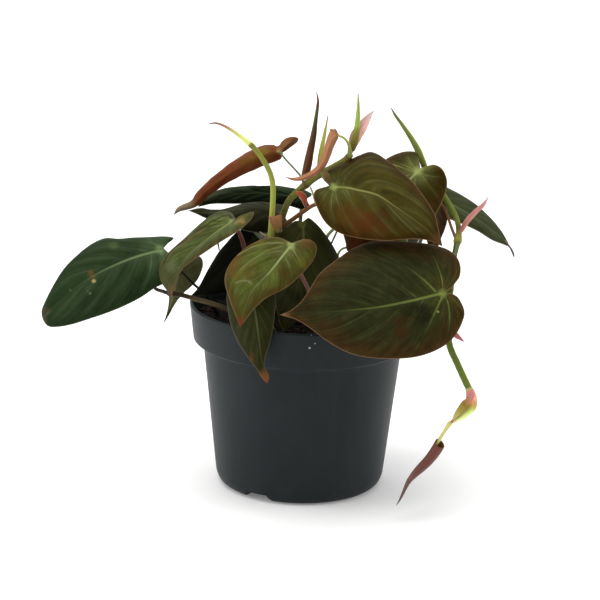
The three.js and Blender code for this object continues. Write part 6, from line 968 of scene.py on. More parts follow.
# ---------------------------------------------------------------- looks
BASE_LEAF = {
    "cell": 0.8,
    "seed": 1,
    "sheen": 0.03,
    "spec": 0.13,
    "sheen_tint": (150, 160, 90),
    "slot": "leaf_green",
    "centre": (56, 68, 42),
    "margin": (50, 60, 38),
    "patch": (40, 50, 32),
    "vein": (78, 94, 62),
    "rib": (110, 128, 84),
    "hub": (118, 138, 90),
    "edge": (88, 88, 62),
    "under": (84, 90, 62),
    "under2": (70, 76, 52),
    "under_vein": (104, 110, 78),
    "spec_tint": (205, 214, 150),
    "halo": 0.22,
    "rib_glow": 0.25,
    "band": 0.3,
    "hub_amount": 0.75,
}
LEAF_LOOKS = {
    "leaf_a": {"slot": "leaf_green", "puff": 0.34, "halo": 0.2, "glow_mm": 20, "rib_glow": 0.35, "centre": (33, 50, 28), "margin": (29, 45, 26), "patch": (24, 39, 22), "patch_amount": 0.6, "vein": (53, 68, 46), "band": 0.36, "band_mm": 3.4, "line": 0.3, "rib": (115, 137, 93), "hub": (117, 141, 94), "hub_mm": 4.0, "rib_mm": 1.05, "edge": (79, 85, 63), "tip": (74, 68, 50), "tip_from": 0.9, "tip_amount": 0.7, "under": (52, 65, 41), "under2": (43, 55, 33), "rib_far": 0.25, "streak": 1.4, "spots": [((-100.3, -7.1, 128.5), 2.6, (81, 98, 55), 0.4), ((-110.6, -15.3, 114.2), 2.6, (98, 81, 40), 0.8), ((-109.7, -16.9, 112.0), 1.3, (164, 145, 89), 0.9), ((-111.7, -14.4, 116.1), 1.5, (89, 68, 35), 0.8), ((-112.4, -19.4, 107.2), 0.9, (89, 96, 70), 0.8), ((-121.9, -17.8, 107.1), 0.7, (81, 94, 68), 0.7), ((-111.2, -20.3, 106.4), 1.0, (102, 111, 85), 0.6)], "veins": [[[-0.382, -0.217, -0.084, -0.001, 0.033], [0.067, 0.118, 0.211, 0.346, 0.497], [0.261, 0.322, 0.401, 0.498, 0.604], [0.432, 0.515, 0.615, 0.732, 0.853]], [[-0.252, -0.311, -0.325, -0.275, -0.174], [0.072, 0.062, 0.076, 0.114, 0.169], [0.171, 0.212, 0.284, 0.386, 0.499], [0.316, 0.394, 0.495, 0.62, 0.75], [0.443, 0.567, 0.707, 0.859, 1.011], [0.571, 0.765, 0.862, 0.912, 1.061]]], "under_vein": (66, 80, 52)},
    "leaf_b": {"slot": "leaf_olive", "centre": (64, 76, 31), "margin": (60, 59, 26), "patch": (54, 43, 18), "vein": (44, 35, 19), "rib": (128, 137, 85), "hub": (132, 143, 87), "edge": (109, 78, 57), "band": 0.16, "under": (68, 79, 42), "under2": (54, 62, 32), "margin_mm": 6, "patch_amount": 0.6, "edge_mm": 0.55, "rib_far": 0.65, "under_vein": (81, 92, 52), "tip": (68, 68, 48), "tip_from": 0.5, "tip_amount": 0.45, "mottle": 0.85, "halo": 0.1, "hub_mm": 3.2, "rib_mm": 0.8, "rib_glow": 0.2, "line": 0.7, "edge_amount": 0.6, "patch_low": 0.5, "streak": 2.0, "spots": [((-43.1, -27.2, 150.6), 1.8, (115, 130, 61), 0.55), ((-54.2, -29.5, 143.2), 2.3, (102, 102, 38), 0.5), ((-59.2, -30.1, 139.5), 1.8, (100, 100, 40), 0.45), ((-31.9, -44.9, 153.2), 2.2, (136, 106, 66), 0.6), ((-67.6, -42.7, 116.2), 2.3, (102, 64, 46), 0.8), ((-60.8, -39.1, 132.9), 2.4, (89, 74, 50), 0.4), ((-68.0, -37.6, 127.5), 3.5, (85, 93, 68), 0.5), ((-67.8, -32.1, 132.9), 2.6, (78, 63, 35), 0.5), ((-62.8, -30.4, 136.8), 2.6, (79, 64, 33), 0.5), ((-57.7, -30.2, 140.7), 2.4, (81, 66, 33), 0.5), ((-52.7, -29.1, 144.2), 2.2, (85, 70, 33), 0.45), ((-33.5, -41.3, 153.2), 3.0, (139, 115, 64), 0.5), ((-55.9, -51.3, 135.1), 2.2, (89, 68, 44), 0.4)], "strokes": [([(-35.3, -36.1, 152.9), (-39.5, -26.5, 151.8), (-44.6, -26.3, 150.2), (-51.2, -26.9, 146.2), (-57.8, -27.1, 141.5), (-65.8, -28.1, 135.3), (-70.4, -30.7, 131.1), (-72.1, -33.1, 127.7)], 0.85, (42, 33, 18), 0.9), ([(-43.0, -30.2, 149.5), (-48.2, -29.7, 146.7), (-53.6, -30.6, 143.2), (-60.2, -31.7, 138.2), (-67.2, -33.6, 132.4), (-70.2, -35.2, 128.4)], 0.6, (53, 44, 23), 0.75), ([(-39.0, -40.5, 149.7), (-46.6, -41.6, 144.5), (-54.1, -43.1, 139.2), (-60.2, -42.6, 133.8), (-64.8, -40.0, 126.7)], 0.5, (109, 113, 79), 0.45)]},
    "leaf_c": {"slot": "leaf_green", "centre": (88, 90, 50), "margin": (70, 70, 43), "vein": (50, 52, 35), "under": (93, 95, 63), "under2": (78, 78, 50), "under_vein": (111, 110, 73), "edge": (66, 46, 35), "tip": (31, 25, 20), "tip_from": 0.55, "halo": 0.06, "hub_mm": 2.5, "tip_amount": 0.75, "patch": (55, 65, 38), "rib": (102, 119, 78), "hub": (109, 128, 83)},
    # leaf_d: the pale spots at (-29.9, -62.2, 126.9) and (-27.6, -62.1, 126.7) and the third stroke through them paint
    # a highlight in a dent of the blade
    "leaf_d": {"slot": "leaf_olive", "puff": 0.4, "halo": 0.12, "glow_mm": 16, "rib_far": 0.45, "rib_mm": 0.85, "centre": (80, 88, 35), "margin": (71, 62, 22), "margin_mm": 7, "patch": (61, 47, 13), "patch_amount": 0.6, "vein": (85, 94, 53), "band": 0.26, "line": 0.5, "rib": (147, 160, 102), "hub": (156, 169, 106), "hub_mm": 3.4, "edge": (126, 94, 68), "edge_mm": 0.55, "tip": (109, 51, 36), "tip_from": 0.86, "tip_amount": 0.8, "mottle": 0.7, "rib_glow": 0.25, "edge_amount": 0.65, "streak": 1.7, "spots": [((-31.1, -60.3, 130.6), 4.6, (96, 66, 23), 0.42), ((-26.5, -59.7, 131.5), 4.2, (85, 57, 20), 0.36), ((-35.1, -60.5, 128.9), 2.8, (96, 66, 23), 0.5), ((-9.3, -58.2, 130.8), 2.8, (66, 51, 18), 0.65), ((-6.1, -56.7, 132.0), 2.0, (70, 55, 20), 0.6), ((-29.9, -62.2, 126.9), 1.3, (124, 121, 81), 0.55), ((-27.6, -62.1, 126.7), 1.0, (121, 119, 81), 0.5), ((-32.4, -63.5, 123.5), 3.2, (68, 83, 38), 0.5), ((-34.9, -54.0, 136.6), 3.4, (96, 64, 25), 0.5), ((-14.7, -62.5, 122.7), 2.6, (78, 55, 22), 0.5), ((-21.6, -57.0, 135.7), 3.0, (66, 78, 27), 0.5), ((0.4, -50.3, 144.4), 3.2, (100, 61, 36), 0.5), ((-1.4, -53.8, 134.8), 3.0, (102, 96, 36), 0.5), ((-35.7, -58.0, 132.4), 3.6, (104, 68, 27), 0.4), ((-21.4, -60.0, 129.7), 3.0, (61, 61, 22), 0.35)], "veins": [[[-0.297, -0.134, 0.017, 0.156, 0.282], [0.087, 0.119, 0.248, 0.477, 0.757], [0.174, 0.331, 0.545, 0.792, 1.039], [0.33, 0.543, 0.657, 0.842, 1.089], [0.623, 0.707, 0.77, 0.892, 1.139]], [[-0.897, -0.834, -0.749, -0.582, -0.342], [0.014, 0.012, 0.014, 0.02, 0.031], [0.122, 0.13, 0.151, 0.185, 0.232], [0.265, 0.304, 0.357, 0.424, 0.5], [0.461, 0.471, 0.543, 0.676, 0.823], [0.616, 0.638, 0.846, 1.085, 1.324]]], "under": (71, 74, 46), "under2": (59, 62, 38), "under_vein": (89, 91, 58), "strokes": [([(-11.2, -50.5, 144.1), (-18.9, -50.9, 144.1), (-26.9, -51.6, 141.9), (-33.9, -52.9, 137.9)], 0.45, (128, 134, 79), 0.55), ([(-11.7, -51.4, 142.8), (-19.8, -53.5, 140.5), (-28.2, -57.0, 135.5), (-32.6, -59.1, 131.8)], 0.45, (122, 128, 74), 0.5), ([(-34.5, -62.3, 125.8), (-31.9, -61.9, 127.0), (-28.4, -62.1, 126.9), (-26.4, -62.5, 125.5)], 0.5, (121, 122, 85), 0.6)]},
    "leaf_e": {"slot": "leaf_dark", "puff": 0.45, "rib_mm": 0.9, "rib_far": 0.6, "rib_glow": 0.35, "line": 0.45, "centre": (37, 39, 6), "margin": (31, 30, 5), "patch": (26, 25, 3), "vein": (56, 59, 37), "rib": (85, 91, 61), "hub": (100, 107, 70), "edge": (81, 74, 50), "tip": (104, 63, 35), "tip_from": 0.84, "halo": 0.1, "hub_mm": 2.5, "streak": 1.1, "spots": [((-25.5, -65.6, 86.3), 3.0, (89, 51, 20), 0.7), ((-18.2, -67.7, 78.6), 3.6, (119, 72, 40), 0.6)], "under": (56, 58, 17), "under2": (46, 48, 13), "under_vein": (70, 72, 24)},
    "leaf_f": {"slot": "leaf_dark", "puff": 0.22, "wave": 0.3, "hub_mm": 3.4, "halo": 0.08, "glow_mm": 26, "rib_far": 0.18, "rib_mm": 0.95, "centre": (39, 40, 18), "margin": (56, 38, 16), "margin_mm": 13, "patch": (33, 29, 13), "patch_amount": 0.5, "patch_low": 0.54, "vein": (49, 61, 29), "band": 0.14, "line": 0.7, "line_mm": 0.5, "rib": (115, 128, 64), "rib_glow": 0.2, "hub": (122, 136, 66), "edge": (126, 100, 74), "edge_mm": 0.55, "tip": (91, 57, 33), "tip_from": 0.9, "mottle": 0.8, "side": (1, (60, 42, 14), 0.0), "streak": 1.8, "spots": [((67.8, -69.1, 115.2), 0.8, (164, 149, 89), 1.0), ((60.7, -70.2, 114.8), 5.0, (18, 18, 10), 0.7), ((52.6, -69.9, 116.1), 4.0, (22, 22, 12), 0.6), ((-9.8, -63.4, 109.9), 3.0, (139, 109, 78), 0.6), ((48.9, -73.8, 105.5), 7.0, (59, 33, 14), 0.6), ((13.6, -71.9, 104.1), 7.0, (53, 33, 14), 0.5), ((69.0, -72.4, 105.7), 6.0, (51, 40, 14), 0.5)], "veins": [[[-0.696, -0.72, -0.714, -0.673, -0.604], [-0.421, -0.335, -0.262, -0.202, -0.156], [0.033, 0.056, 0.113, 0.205, 0.321], [0.152, 0.207, 0.284, 0.386, 0.508], [0.285, 0.337, 0.458, 0.648, 0.857], [0.402, 0.557, 0.694, 0.812, 0.921]], [[-1.031, -0.867, -0.719, -0.621, -0.567], [-0.591, -0.424, -0.286, -0.178, -0.097], [-0.005, 0.035, 0.078, 0.126, 0.176], [0.105, 0.184, 0.262, 0.341, 0.419], [0.228, 0.322, 0.427, 0.544, 0.669], [0.42, 0.535, 0.633, 0.713, 0.787], [0.603, 0.702, 0.778, 0.831, 0.869]]], "under": (82, 80, 49), "under2": (68, 67, 41), "under_vein": (101, 98, 62)},
    "leaf_g": {"slot": "leaf_olive", "puff": 0.3, "halo": 0.12, "glow_mm": 18, "rib_far": 0.45, "rib_mm": 0.85, "centre": (58, 50, 7), "margin": (49, 33, 4), "patch": (54, 29, 3), "patch_amount": 0.65, "vein": (83, 82, 43), "band": 0.28, "line": 0.4, "rib": (130, 130, 74), "hub": (154, 173, 96), "hub_mm": 3.4, "edge": (119, 89, 64), "tip": (85, 57, 35), "margin_mm": 8, "mottle": 0.7, "edge_mm": 0.6, "streak": 1.7, "spots": [((28.5, -50.9, 157.3), 6.5, (85, 40, 14), 0.65), ((36.6, -53.2, 156.1), 6.0, (74, 38, 12), 0.55), ((19.8, -47.8, 159.5), 5.5, (81, 50, 16), 0.55), ((23.0, -36.2, 175.5), 6, (51, 44, 14), 0.6)], "veins": [[[0.03, -0.008, 0.012, 0.089, 0.224], [0.08, 0.042, 0.071, 0.216, 0.455], [0.188, 0.208, 0.393, 0.711, 1.011], [0.311, 0.295, 0.481, 0.798, 1.098], [0.552, 0.6, 0.943, 1.243, 1.543]], [[-0.815, -0.723, -0.661, -0.63, -0.624], [-0.071, -0.138, -0.149, -0.107, -0.049], [0.014, 0.014, 0.052, 0.129, 0.243], [0.097, 0.13, 0.209, 0.337, 0.511], [0.21, 0.31, 0.42, 0.539, 0.668], [0.386, 0.558, 0.68, 0.752, 0.773], [0.494, 0.679, 0.8, 0.847, 0.862]]], "under": (58, 54, 17), "under2": (48, 45, 13), "under_vein": (73, 67, 24)},
    "leaf_h": {"slot": "leaf_olive", "halo": 0.25, "glow_mm": 15, "rib_far": 0.6, "centre": (50, 40, 6), "margin": (52, 36, 5), "patch": (38, 27, 4), "patch_amount": 0.5, "vein": (83, 82, 40), "rib": (145, 152, 89), "hub": (169, 184, 109), "hub_mm": 3.8, "edge": (115, 104, 50), "tip": (78, 40, 22), "tip_from": 0.78, "rib_mm": 0.85, "streak": 1.1, "spots": [((28.1, -38.0, 141.3), 6.0, (85, 35, 14), 0.7), ((64.3, -23.8, 171.3), 4.0, (59, 51, 14), 0.6)], "under": (51, 46, 17), "under2": (42, 37, 13), "under_vein": (64, 57, 24), "strokes": [([(54.5, -20.3, 175.5), (46.8, -17.0, 177.7), (40.7, -13.1, 178.2)], 0.45, (139, 139, 78), 0.5), ([(59.0, -19.2, 177.5), (63.7, -19.7, 179.3)], 0.4, (149, 156, 83), 0.5)]},
    "leaf_i": {"slot": "leaf_green", "centre": (53, 60, 33), "margin": (51, 57, 32), "patch": (22, 27, 13), "patch_amount": 0.45, "patch_scale": 95, "patch_low": 0.36, "patch_high": 0.74, "vein": (59, 65, 44), "rib": (87, 96, 66), "hub": (91, 100, 70), "edge": (100, 102, 81), "tip": (104, 81, 68), "tip_from": 0.93, "halo": 0.06, "hub_mm": 2.5, "under": (74, 76, 46), "under2": (62, 64, 38), "under_vein": (92, 93, 58)},
    "leaf_j": {"slot": "leaf_red", "centre": (68, 48, 26), "margin": (57, 37, 21), "vein": (65, 46, 26), "rib": (93, 68, 42), "hub": (96, 74, 44), "edge": (89, 61, 40), "under": (72, 48, 26), "under2": (53, 35, 19), "under_vein": (86, 61, 37), "halo": 0.06, "hub_mm": 2.5, "patch": (35, 44, 28)},
    "leaf_k": {"slot": "leaf_red", "puff": 0.1, "wave": 0.12, "curl": 0.1, "centre": (106, 53, 28), "margin": (95, 44, 21), "patch": (120, 93, 32), "vein": (73, 40, 22), "rib": (96, 57, 33), "hub": (145, 134, 78), "edge": (61, 27, 14), "under": (102, 51, 26), "under2": (89, 40, 19), "under_vein": (111, 62, 34), "tip": (117, 106, 81), "tip_from": 0.78, "tip_amount": 0.9, "sheen": 0.04, "rough": 0.42, "patch_amount": 0.5, "rib_glow": 0.1, "hub_mm": 3.4, "side": (1, (91, 42, 19), 0.0), "spots": [((-28.4, -18.0, 180.8), 4.2, (104, 83, 20), 0.8), ((-23.3, -17.4, 182.8), 3.6, (111, 85, 31), 0.8), ((-32.5, -19.1, 178.3), 3.2, (91, 61, 18), 0.7), ((-14.4, -15.3, 183.9), 1.9, (147, 132, 76), 0.8), ((-11.1, -15.1, 186.3), 3.4, (134, 98, 66), 0.85), ((-8.6, -8.3, 186.4), 3.2, (136, 102, 70), 0.9), ((-6.0, -10.8, 188.6), 2.6, (139, 113, 85), 0.8), ((-61.9, -20.0, 154.4), 4.5, (115, 104, 78), 0.85), ((-66.1, -19.2, 151.4), 3.5, (111, 104, 81), 0.85), ((-51.7, -21.1, 161.3), 4.0, (72, 31, 20), 0.5)]},
    # leaf_l: the blade colours are near-black as painted shade under the canopy, and the side tint paints one half
    # lighter as a painted sheen
    "leaf_l": {"slot": "leaf_green", "spec": 0.0, "sheen": 0.0, "rough": 0.6, "centre": (11, 15, 7), "margin": (9, 12, 6), "patch": (6, 9, 4), "vein": (37, 46, 29), "rib": (57, 68, 46), "hub": (64, 78, 51), "edge": (51, 57, 40), "halo": 0.06, "hub_mm": 2.5, "side": (-1, (53, 61, 45), 0.85), "under": (26, 29, 17), "under2": (21, 23, 13), "under_vein": (35, 37, 24)},
    # leaf_m: the side tint paints one half near-black, a painted shadow under the leaves above
    "leaf_m": {"slot": "leaf_dark", "spec": 0.06, "sheen": 0.0, "rough": 0.6, "centre": (43, 43, 27), "margin": (40, 40, 24), "patch": (23, 22, 10), "patch_amount": 0.8, "vein": (59, 61, 44), "edge": (89, 89, 70), "rib": (59, 61, 40), "hub": (74, 78, 48), "side": (1, (12, 9, 3), 0.85), "halo": 0.06, "hub_mm": 2.5, "spots": [((-30.8, 0.6, 149.4), 5.0, (33, 33, 18), 0.7), ((-25.1, 2.9, 149.5), 5.5, (29, 30, 15), 0.75)], "under": (49, 52, 31), "under2": (40, 43, 25), "under_vein": (61, 65, 40)},
    # leaf_n: the top colours are near-black as painted shade; the underside keeps its own colour
    "leaf_n": {"slot": "leaf_dark", "centre": (7, 8, 10), "margin": (6, 7, 9), "patch": (4, 5, 7), "vein": (14, 16, 7), "rib": (31, 31, 18), "hub": (36, 36, 22), "edge": (36, 35, 22), "halo": 0.06, "hub_mm": 2.5, "under": (55, 62, 65), "under2": (45, 52, 55), "under_vein": (69, 77, 82)},
    "leaf_o": {"slot": "leaf_dark", "centre": (44, 46, 21), "margin": (35, 32, 15), "patch": (24, 22, 10), "patch_amount": 0.8, "vein": (44, 46, 22), "edge": (64, 59, 35), "rib": (78, 79, 42), "hub": (81, 85, 44), "streak": 1.0, "halo": 0.1, "hub_mm": 3, "under": (75, 81, 55), "under2": (63, 68, 46), "under_vein": (94, 99, 70)},
    "young_leaf_pink": {"slot": "young_leaf_pink", "puff": 0.1, "wave": 0.1, "curl": 0.1, "centre": (157, 104, 77), "margin": (150, 97, 67), "patch": (164, 104, 66), "vein": (143, 110, 88), "rib": (156, 109, 79), "hub": (177, 152, 111), "edge": (122, 78, 50), "under": (150, 101, 73), "under2": (157, 106, 77), "under_vein": (164, 113, 84), "tip": (96, 61, 50), "tip_from": 0.88, "sheen": 0.12, "rough": 0.4, "cell": 0.6, "patch_amount": 0.5, "edge_mm": 1.0, "edge_amount": 0.7, "side": (1, (116, 67, 31), 0.0), "hub_mm": 1.2, "fold": (-1, (109, 68, 33), 0.8, 0.25, 0.6), "spots": [((11.9, -32.5, 198.6), 2.2, (182, 128, 81), 0.6), ((-9.6, -30.3, 172.9), 2.0, (121, 81, 78), 0.7), ((13.5, -34.2, 199.0), 2.4, (179, 134, 98), 0.85), ((14.5, -34.5, 197.4), 1.9, (165, 121, 85), 0.8), ((12.4, -33.5, 199.9), 1.6, (175, 132, 96), 0.8)]},
    "young_leaf_hanging": {"slot": "young_leaf_maroon", "kind": "scroll", "centre": (86, 75, 44), "margin": (94, 72, 53), "patch": (79, 63, 44), "vein": (86, 71, 52), "rib": (121, 100, 78), "hub": (139, 121, 83), "edge": (164, 115, 104), "under": (117, 79, 73), "under2": (104, 72, 66), "under_vein": (134, 97, 88), "tip": (85, 72, 63), "tip_from": 0.6, "tip_amount": 0.6, "sheen": 0.12, "rough": 0.4, "cell": 0.6},
    "leaf_rear_1": {"slot": "leaf_green", "centre": (50, 63, 40), "margin": (44, 55, 35), "patch": (35, 46, 28), "vein": (55, 70, 44), "rib": (107, 126, 83), "hub": (115, 136, 89), "edge": (78, 81, 59), "under": (75, 81, 55), "under2": (63, 68, 46), "under_vein": (94, 99, 70)},
    "leaf_rear_2": {"slot": "leaf_dark", "centre": (52, 55, 28), "margin": (44, 44, 24), "patch": (37, 37, 19), "vein": (59, 64, 37), "rib": (102, 109, 70), "hub": (109, 119, 72), "edge": (81, 74, 50), "under": (75, 81, 55), "under2": (63, 68, 46), "under_vein": (94, 99, 70)},
    "leaf_rear_3": {"slot": "leaf_olive", "centre": (77, 86, 37), "margin": (75, 68, 28), "patch": (66, 53, 19), "vein": (80, 88, 46), "rib": (132, 143, 85), "hub": (139, 154, 91), "edge": (128, 96, 70), "under": (75, 81, 55), "under2": (63, 68, 46), "under_vein": (94, 99, 70)},
    "leaf_rear_4": {"slot": "leaf_dark", "centre": (41, 46, 24), "margin": (52, 41, 21), "patch": (33, 33, 17), "vein": (53, 65, 31), "rib": (109, 122, 61), "hub": (117, 130, 64), "edge": (111, 91, 64), "under": (75, 81, 55), "under2": (63, 68, 46), "under_vein": (94, 99, 70)},
    "leaf_rear_5": {"slot": "leaf_green", "centre": (50, 63, 40), "margin": (44, 55, 35), "vein": (55, 70, 44), "patch": (35, 46, 28), "rib": (107, 126, 83), "hub": (115, 136, 89), "edge": (78, 81, 59), "under": (75, 81, 55), "under2": (63, 68, 46), "under_vein": (94, 99, 70)},
}
BASE_STALK = {
    "stops": [(0, (120, 130, 74)), (0.5, (110, 116, 66)), (1, (104, 92, 58))],
    "sides": 16,
    "fleck": (84, 78, 50),
    "fleck_amount": 0.3,
    "ridge": 0.03,
}
STALK_LOOKS = {
    "leaf_a": {"stops": [(0, (64, 55, 29)), (0.3, (48, 38, 21)), (1, (40, 31, 18))], "spec": 0.08},
    "leaf_b": {"stops": [(0, (113, 64, 48)), (0.3, (90, 48, 36)), (0.6, (78, 53, 32)), (1, (68, 51, 29))]},
    "leaf_c": {"stops": [(0, (31, 24, 16)), (0.5, (35, 27, 18)), (1, (40, 33, 21))], "spec": 0.04, "sheen": 0.0},
    "leaf_d": {"stops": [(0, (171, 119, 93)), (0.2, (137, 89, 82)), (0.6, (105, 79, 55)), (1, (81, 65, 41))]},
    "leaf_e": {"stops": [(0, (121, 128, 84)), (0.5, (96, 100, 53)), (1, (85, 78, 45))]},
    "leaf_f": {"stops": [(0, (111, 128, 57)), (0.5, (89, 100, 45)), (1, (78, 87, 39))]},
    "leaf_g": {"stops": [(0, (107, 122, 50)), (1, (93, 104, 39))]},
    "leaf_h": {"stops": [(0, (185, 154, 88)), (0.3, (159, 110, 61)), (0.8, (144, 95, 54)), (1, (120, 88, 47))]},
    "leaf_i": {"stops": [(0, (89, 100, 68)), (1, (85, 79, 48))]},
    "leaf_j": {"stops": [(0, (111, 78, 39)), (0.5, (130, 85, 48)), (1, (111, 81, 43))]},
    "leaf_k": {"stops": [(0, (130, 139, 78)), (0.4, (107, 115, 84)), (1, (111, 122, 68))]},
    "young_leaf_pink": {"stops": [(0, (186, 164, 105)), (0.3, (167, 171, 84)), (1, (139, 152, 69))]},
    "young_leaf_hanging": {"thick": 1.25, "stops": [(0, (201, 192, 123)), (0.4, (220, 220, 137)), (1, (216, 214, 131))], "sides": 20},
}
BASE_STEM = {
    "sides": 20,
    "ridge": 0.02,
    "node": (70, 66, 40),
    "scar": (150, 104, 78),
}
STEM_LOOKS = {
    "vine_main": {"slot": "shoot_green", "stops": [(0, (74, 65, 20)), (0.4, (86, 85, 26)), (0.75, (105, 104, 34)), (0.9, (115, 116, 44)), (1, (122, 122, 48))], "fleck": (55, 52, 16), "fleck_amount": 0.7, "node": (67, 56, 20), "nodes": [[7.8, -25.0, 174.4], [-11.4, -16.5, 144.4], [-1.4, -20.8, 168.6], [21.3, -26.0, 184.0]]},
    "vine_upright": {"slot": "shoot_green", "stops": [(0, (104, 95, 40)), (0.4, (137, 139, 52)), (0.56, (178, 188, 74)), (0.64, (168, 178, 69)), (0.73, (144, 149, 59)), (0.81, (137, 139, 54)), (0.822, (113, 105, 44)), (0.832, (238, 251, 144)), (0.875, (238, 246, 142)), (0.905, (216, 203, 125)), (0.935, (190, 144, 110)), (1, (118, 74, 64))], "fleck": (104, 98, 35), "fleck_amount": 0.3, "jitter": 0.03, "bands": [(0.824, 0.004, (128, 120, 52))]},
    "vine_left": {"slot": "shoot_brown", "stops": [(0, (32, 22, 7)), (0.3, (35, 27, 9)), (0.55, (56, 46, 21)), (0.78, (79, 67, 35)), (0.88, (57, 45, 20)), (1, (35, 26, 11))], "fleck": (47, 37, 14), "node": (73, 54, 27), "spec": 0.15, "nodes": [[-69.1, -20.0, 106.9]]},
    # vine_right: the side tint paints one side of the shoot darker, a painted shade
    "vine_right": {"slot": "shoot_green", "stops": [(0, (78, 74, 19)), (0.3, (89, 99, 24)), (0.45, (102, 120, 29)), (0.585, (122, 134, 42)), (0.6, (100, 80, 29)), (0.612, (139, 134, 53)), (0.63, (149, 149, 60)), (0.645, (78, 91, 29)), (0.7, (94, 109, 33)), (0.85, (100, 116, 33)), (1, (121, 135, 42))], "fleck": (65, 80, 24), "fleck_amount": 0.35, "node": (149, 143, 51), "scar": (130, 88, 45), "jitter": 0.03, "swell": (0.28, 0.7, 0.9), "side": ((65, 78, 17), 0.35, 0.4), "nodes": [[78.7, -28.0, 141.5], [78.2, -27.0, 142.3]]},
    "vine_back": {"slot": "shoot_green", "stops": [(0, (81, 76, 42)), (0.6, (106, 117, 55)), (0.9, (139, 145, 75)), (1, (121, 83, 63))], "fleck": (57, 57, 33), "nodes": [[-5.0, 33.0, 99.0], [-4.0, 33.0, 112.0]]},
    "rolled_leaf_brown": {"slot": "young_leaf_maroon", "stops": [(0, (87, 51, 15)), (0.3, (81, 46, 15)), (0.48, (75, 46, 16)), (0.58, (66, 56, 20)), (0.66, (62, 68, 22)), (0.78, (70, 77, 28)), (0.84, (79, 56, 20)), (0.92, (98, 58, 21)), (1, (62, 39, 15))], "roll": 0.3, "turn": 0.3, "step": 0.5, "sides": 28, "bend": 0.04, "lines": 5},
    "spike_1": {"slot": "shoot_green", "radii": (1.35, 1.5, 1.25, 0.85, 0.45, 0.1), "stops": [(0, (173, 166, 76)), (0.5, (198, 199, 100)), (0.8, (181, 173, 98)), (0.93, (120, 80, 57)), (1, (64, 42, 40))], "roll": 0.22, "turn": 0.6, "sides": 28, "step": 0.5, "bend": 0.03, "lines": 7, "side": ((147, 84, 44), 0.0, 0.5)},
    "spike_2": {"slot": "shoot_green", "radii": (1.7, 1.9, 1.7, 1.3, 0.8, 0.1), "stops": [(0, (95, 86, 32)), (0.2, (117, 111, 38)), (0.33, (136, 144, 55)), (0.42, (152, 180, 76)), (0.8, (156, 176, 90)), (0.93, (136, 152, 99)), (1, (101, 99, 84))], "roll": 0.22, "turn": 0.4, "sides": 28, "step": 0.5, "bend": 0.03, "lines": 7},
    # spike_3: the side tint paints one side darker, a painted shade
    "spike_3": {"slot": "shoot_green", "stops": [(0, (117, 111, 36)), (0.2, (136, 143, 52)), (0.5, (154, 166, 69)), (0.8, (145, 155, 77)), (0.93, (113, 107, 65)), (1, (76, 66, 50))], "roll": 0.18, "turn": 0.5, "sides": 24, "bend": 0.04, "lines": 7, "radii": (1.5, 1.65, 1.65, 1.7, 1.4, 0.95, 0.65, 0.1), "side": ((87, 98, 38), 0.5, 0.7)},
    "sheath_crown": {"slot": "sheath_pink", "radii": (1.1, 1.6, 2.1, 3.0, 2.75, 1.5, 0.12), "flat": 0.45, "stops": [(0, (123, 114, 52)), (0.14, (151, 128, 72)), (0.3, (192, 145, 108)), (0.5, (230, 166, 153)), (0.75, (242, 193, 192)), (1, (237, 212, 215))], "back": (0.45, 0.85, 0.1), "wrap": (1.7, 1.35), "side": ((208, 182, 140), 0.94, 0.15), "rim": (216, 155, 147)},
    "sheath_right": {"slot": "sheath_pink", "stops": [(0, (183, 118, 98)), (0.4, (204, 134, 123)), (0.8, (214, 147, 140)), (1, (223, 178, 169))], "back": (0.3, -0.9, 0.1), "wrap": (1.6, 1.2), "thick": 0.82, "flat": 0.6},
    "sheath_fork": {"slot": "sheath_pink", "radii": (0.7, 2.4, 3.4, 4.3), "flat": 0.5, "rim": (231, 198, 167), "stops": [(0, (144, 143, 69)), (0.35, (169, 132, 78)), (0.7, (176, 124, 78)), (1, (191, 128, 88))], "back": (0, -1, 0.1), "wrap": (1.3, 0.9), "side": ((178, 90, 61), 0.04, 0.6)},
    "sheath_red": {"slot": "sheath_pink", "stops": [(0, (158, 74, 42)), (0.5, (160, 72, 44)), (1, (111, 55, 37))], "back": (0.2, -1, 0), "wrap": (1.5, 1.2), "side": ((199, 154, 125), 0.97, 0.85), "flat": 0.45},
    "sheath_brown": {"slot": "sheath_olive", "radii": (1.0, 1.9, 1.9, 0.4), "stops": [(0, (89, 74, 22)), (0.6, (87, 70, 20)), (1, (78, 57, 27))], "back": (0.2, -1, 0), "wrap": (1.4, 1.2), "side": ((158, 139, 93), 0.98, 0.2), "rim": (115, 96, 52), "flat": 0.5},
    "sheath_low": {"slot": "sheath_pink", "stops": [(0, (193, 116, 118)), (0.6, (193, 108, 109)), (0.85, (150, 79, 80)), (1, (76, 44, 45))], "back": (0.2, -1, 0.2), "wrap": (1.6, 1.3), "flat": 0.6},
    "sheath_hanging": {"slot": "sheath_olive", "radii": (2.0, 2.6, 3.0, 3.2, 3.0, 2.1, 0.9), "stops": [(0, (239, 166, 141)), (0.12, (246, 178, 153)), (0.24, (222, 159, 111)), (0.34, (188, 176, 80)), (0.46, (222, 246, 146)), (0.85, (239, 255, 174)), (0.95, (241, 185, 155)), (1, (141, 71, 57))], "back": (0.35, -0.75, -0.5), "wrap": (2.2, 1.7), "side": ((146, 122, 38), 0.8, 0.9), "rim": (234, 185, 144), "spec": 0.12, "flat": 0.8},
    "root_main": {"slot": "root", "stops": [(0, (164, 154, 115)), (1, (199, 190, 155))], "sides": 12, "ridge": 0.06},
    "root_fork": {"slot": "root", "stops": [(0, (149, 130, 94)), (1, (186, 171, 135))], "sides": 12, "ridge": 0.06},
    "root_left": {"slot": "root", "stops": [(0, (62, 66, 46)), (1, (52, 54, 38))], "sides": 12, "ridge": 0.06, "spec": 0.1},
    "root_gap": {"slot": "root", "stops": [(0, (139, 122, 86)), (1, (102, 85, 61))], "sides": 12, "ridge": 0.06},
}
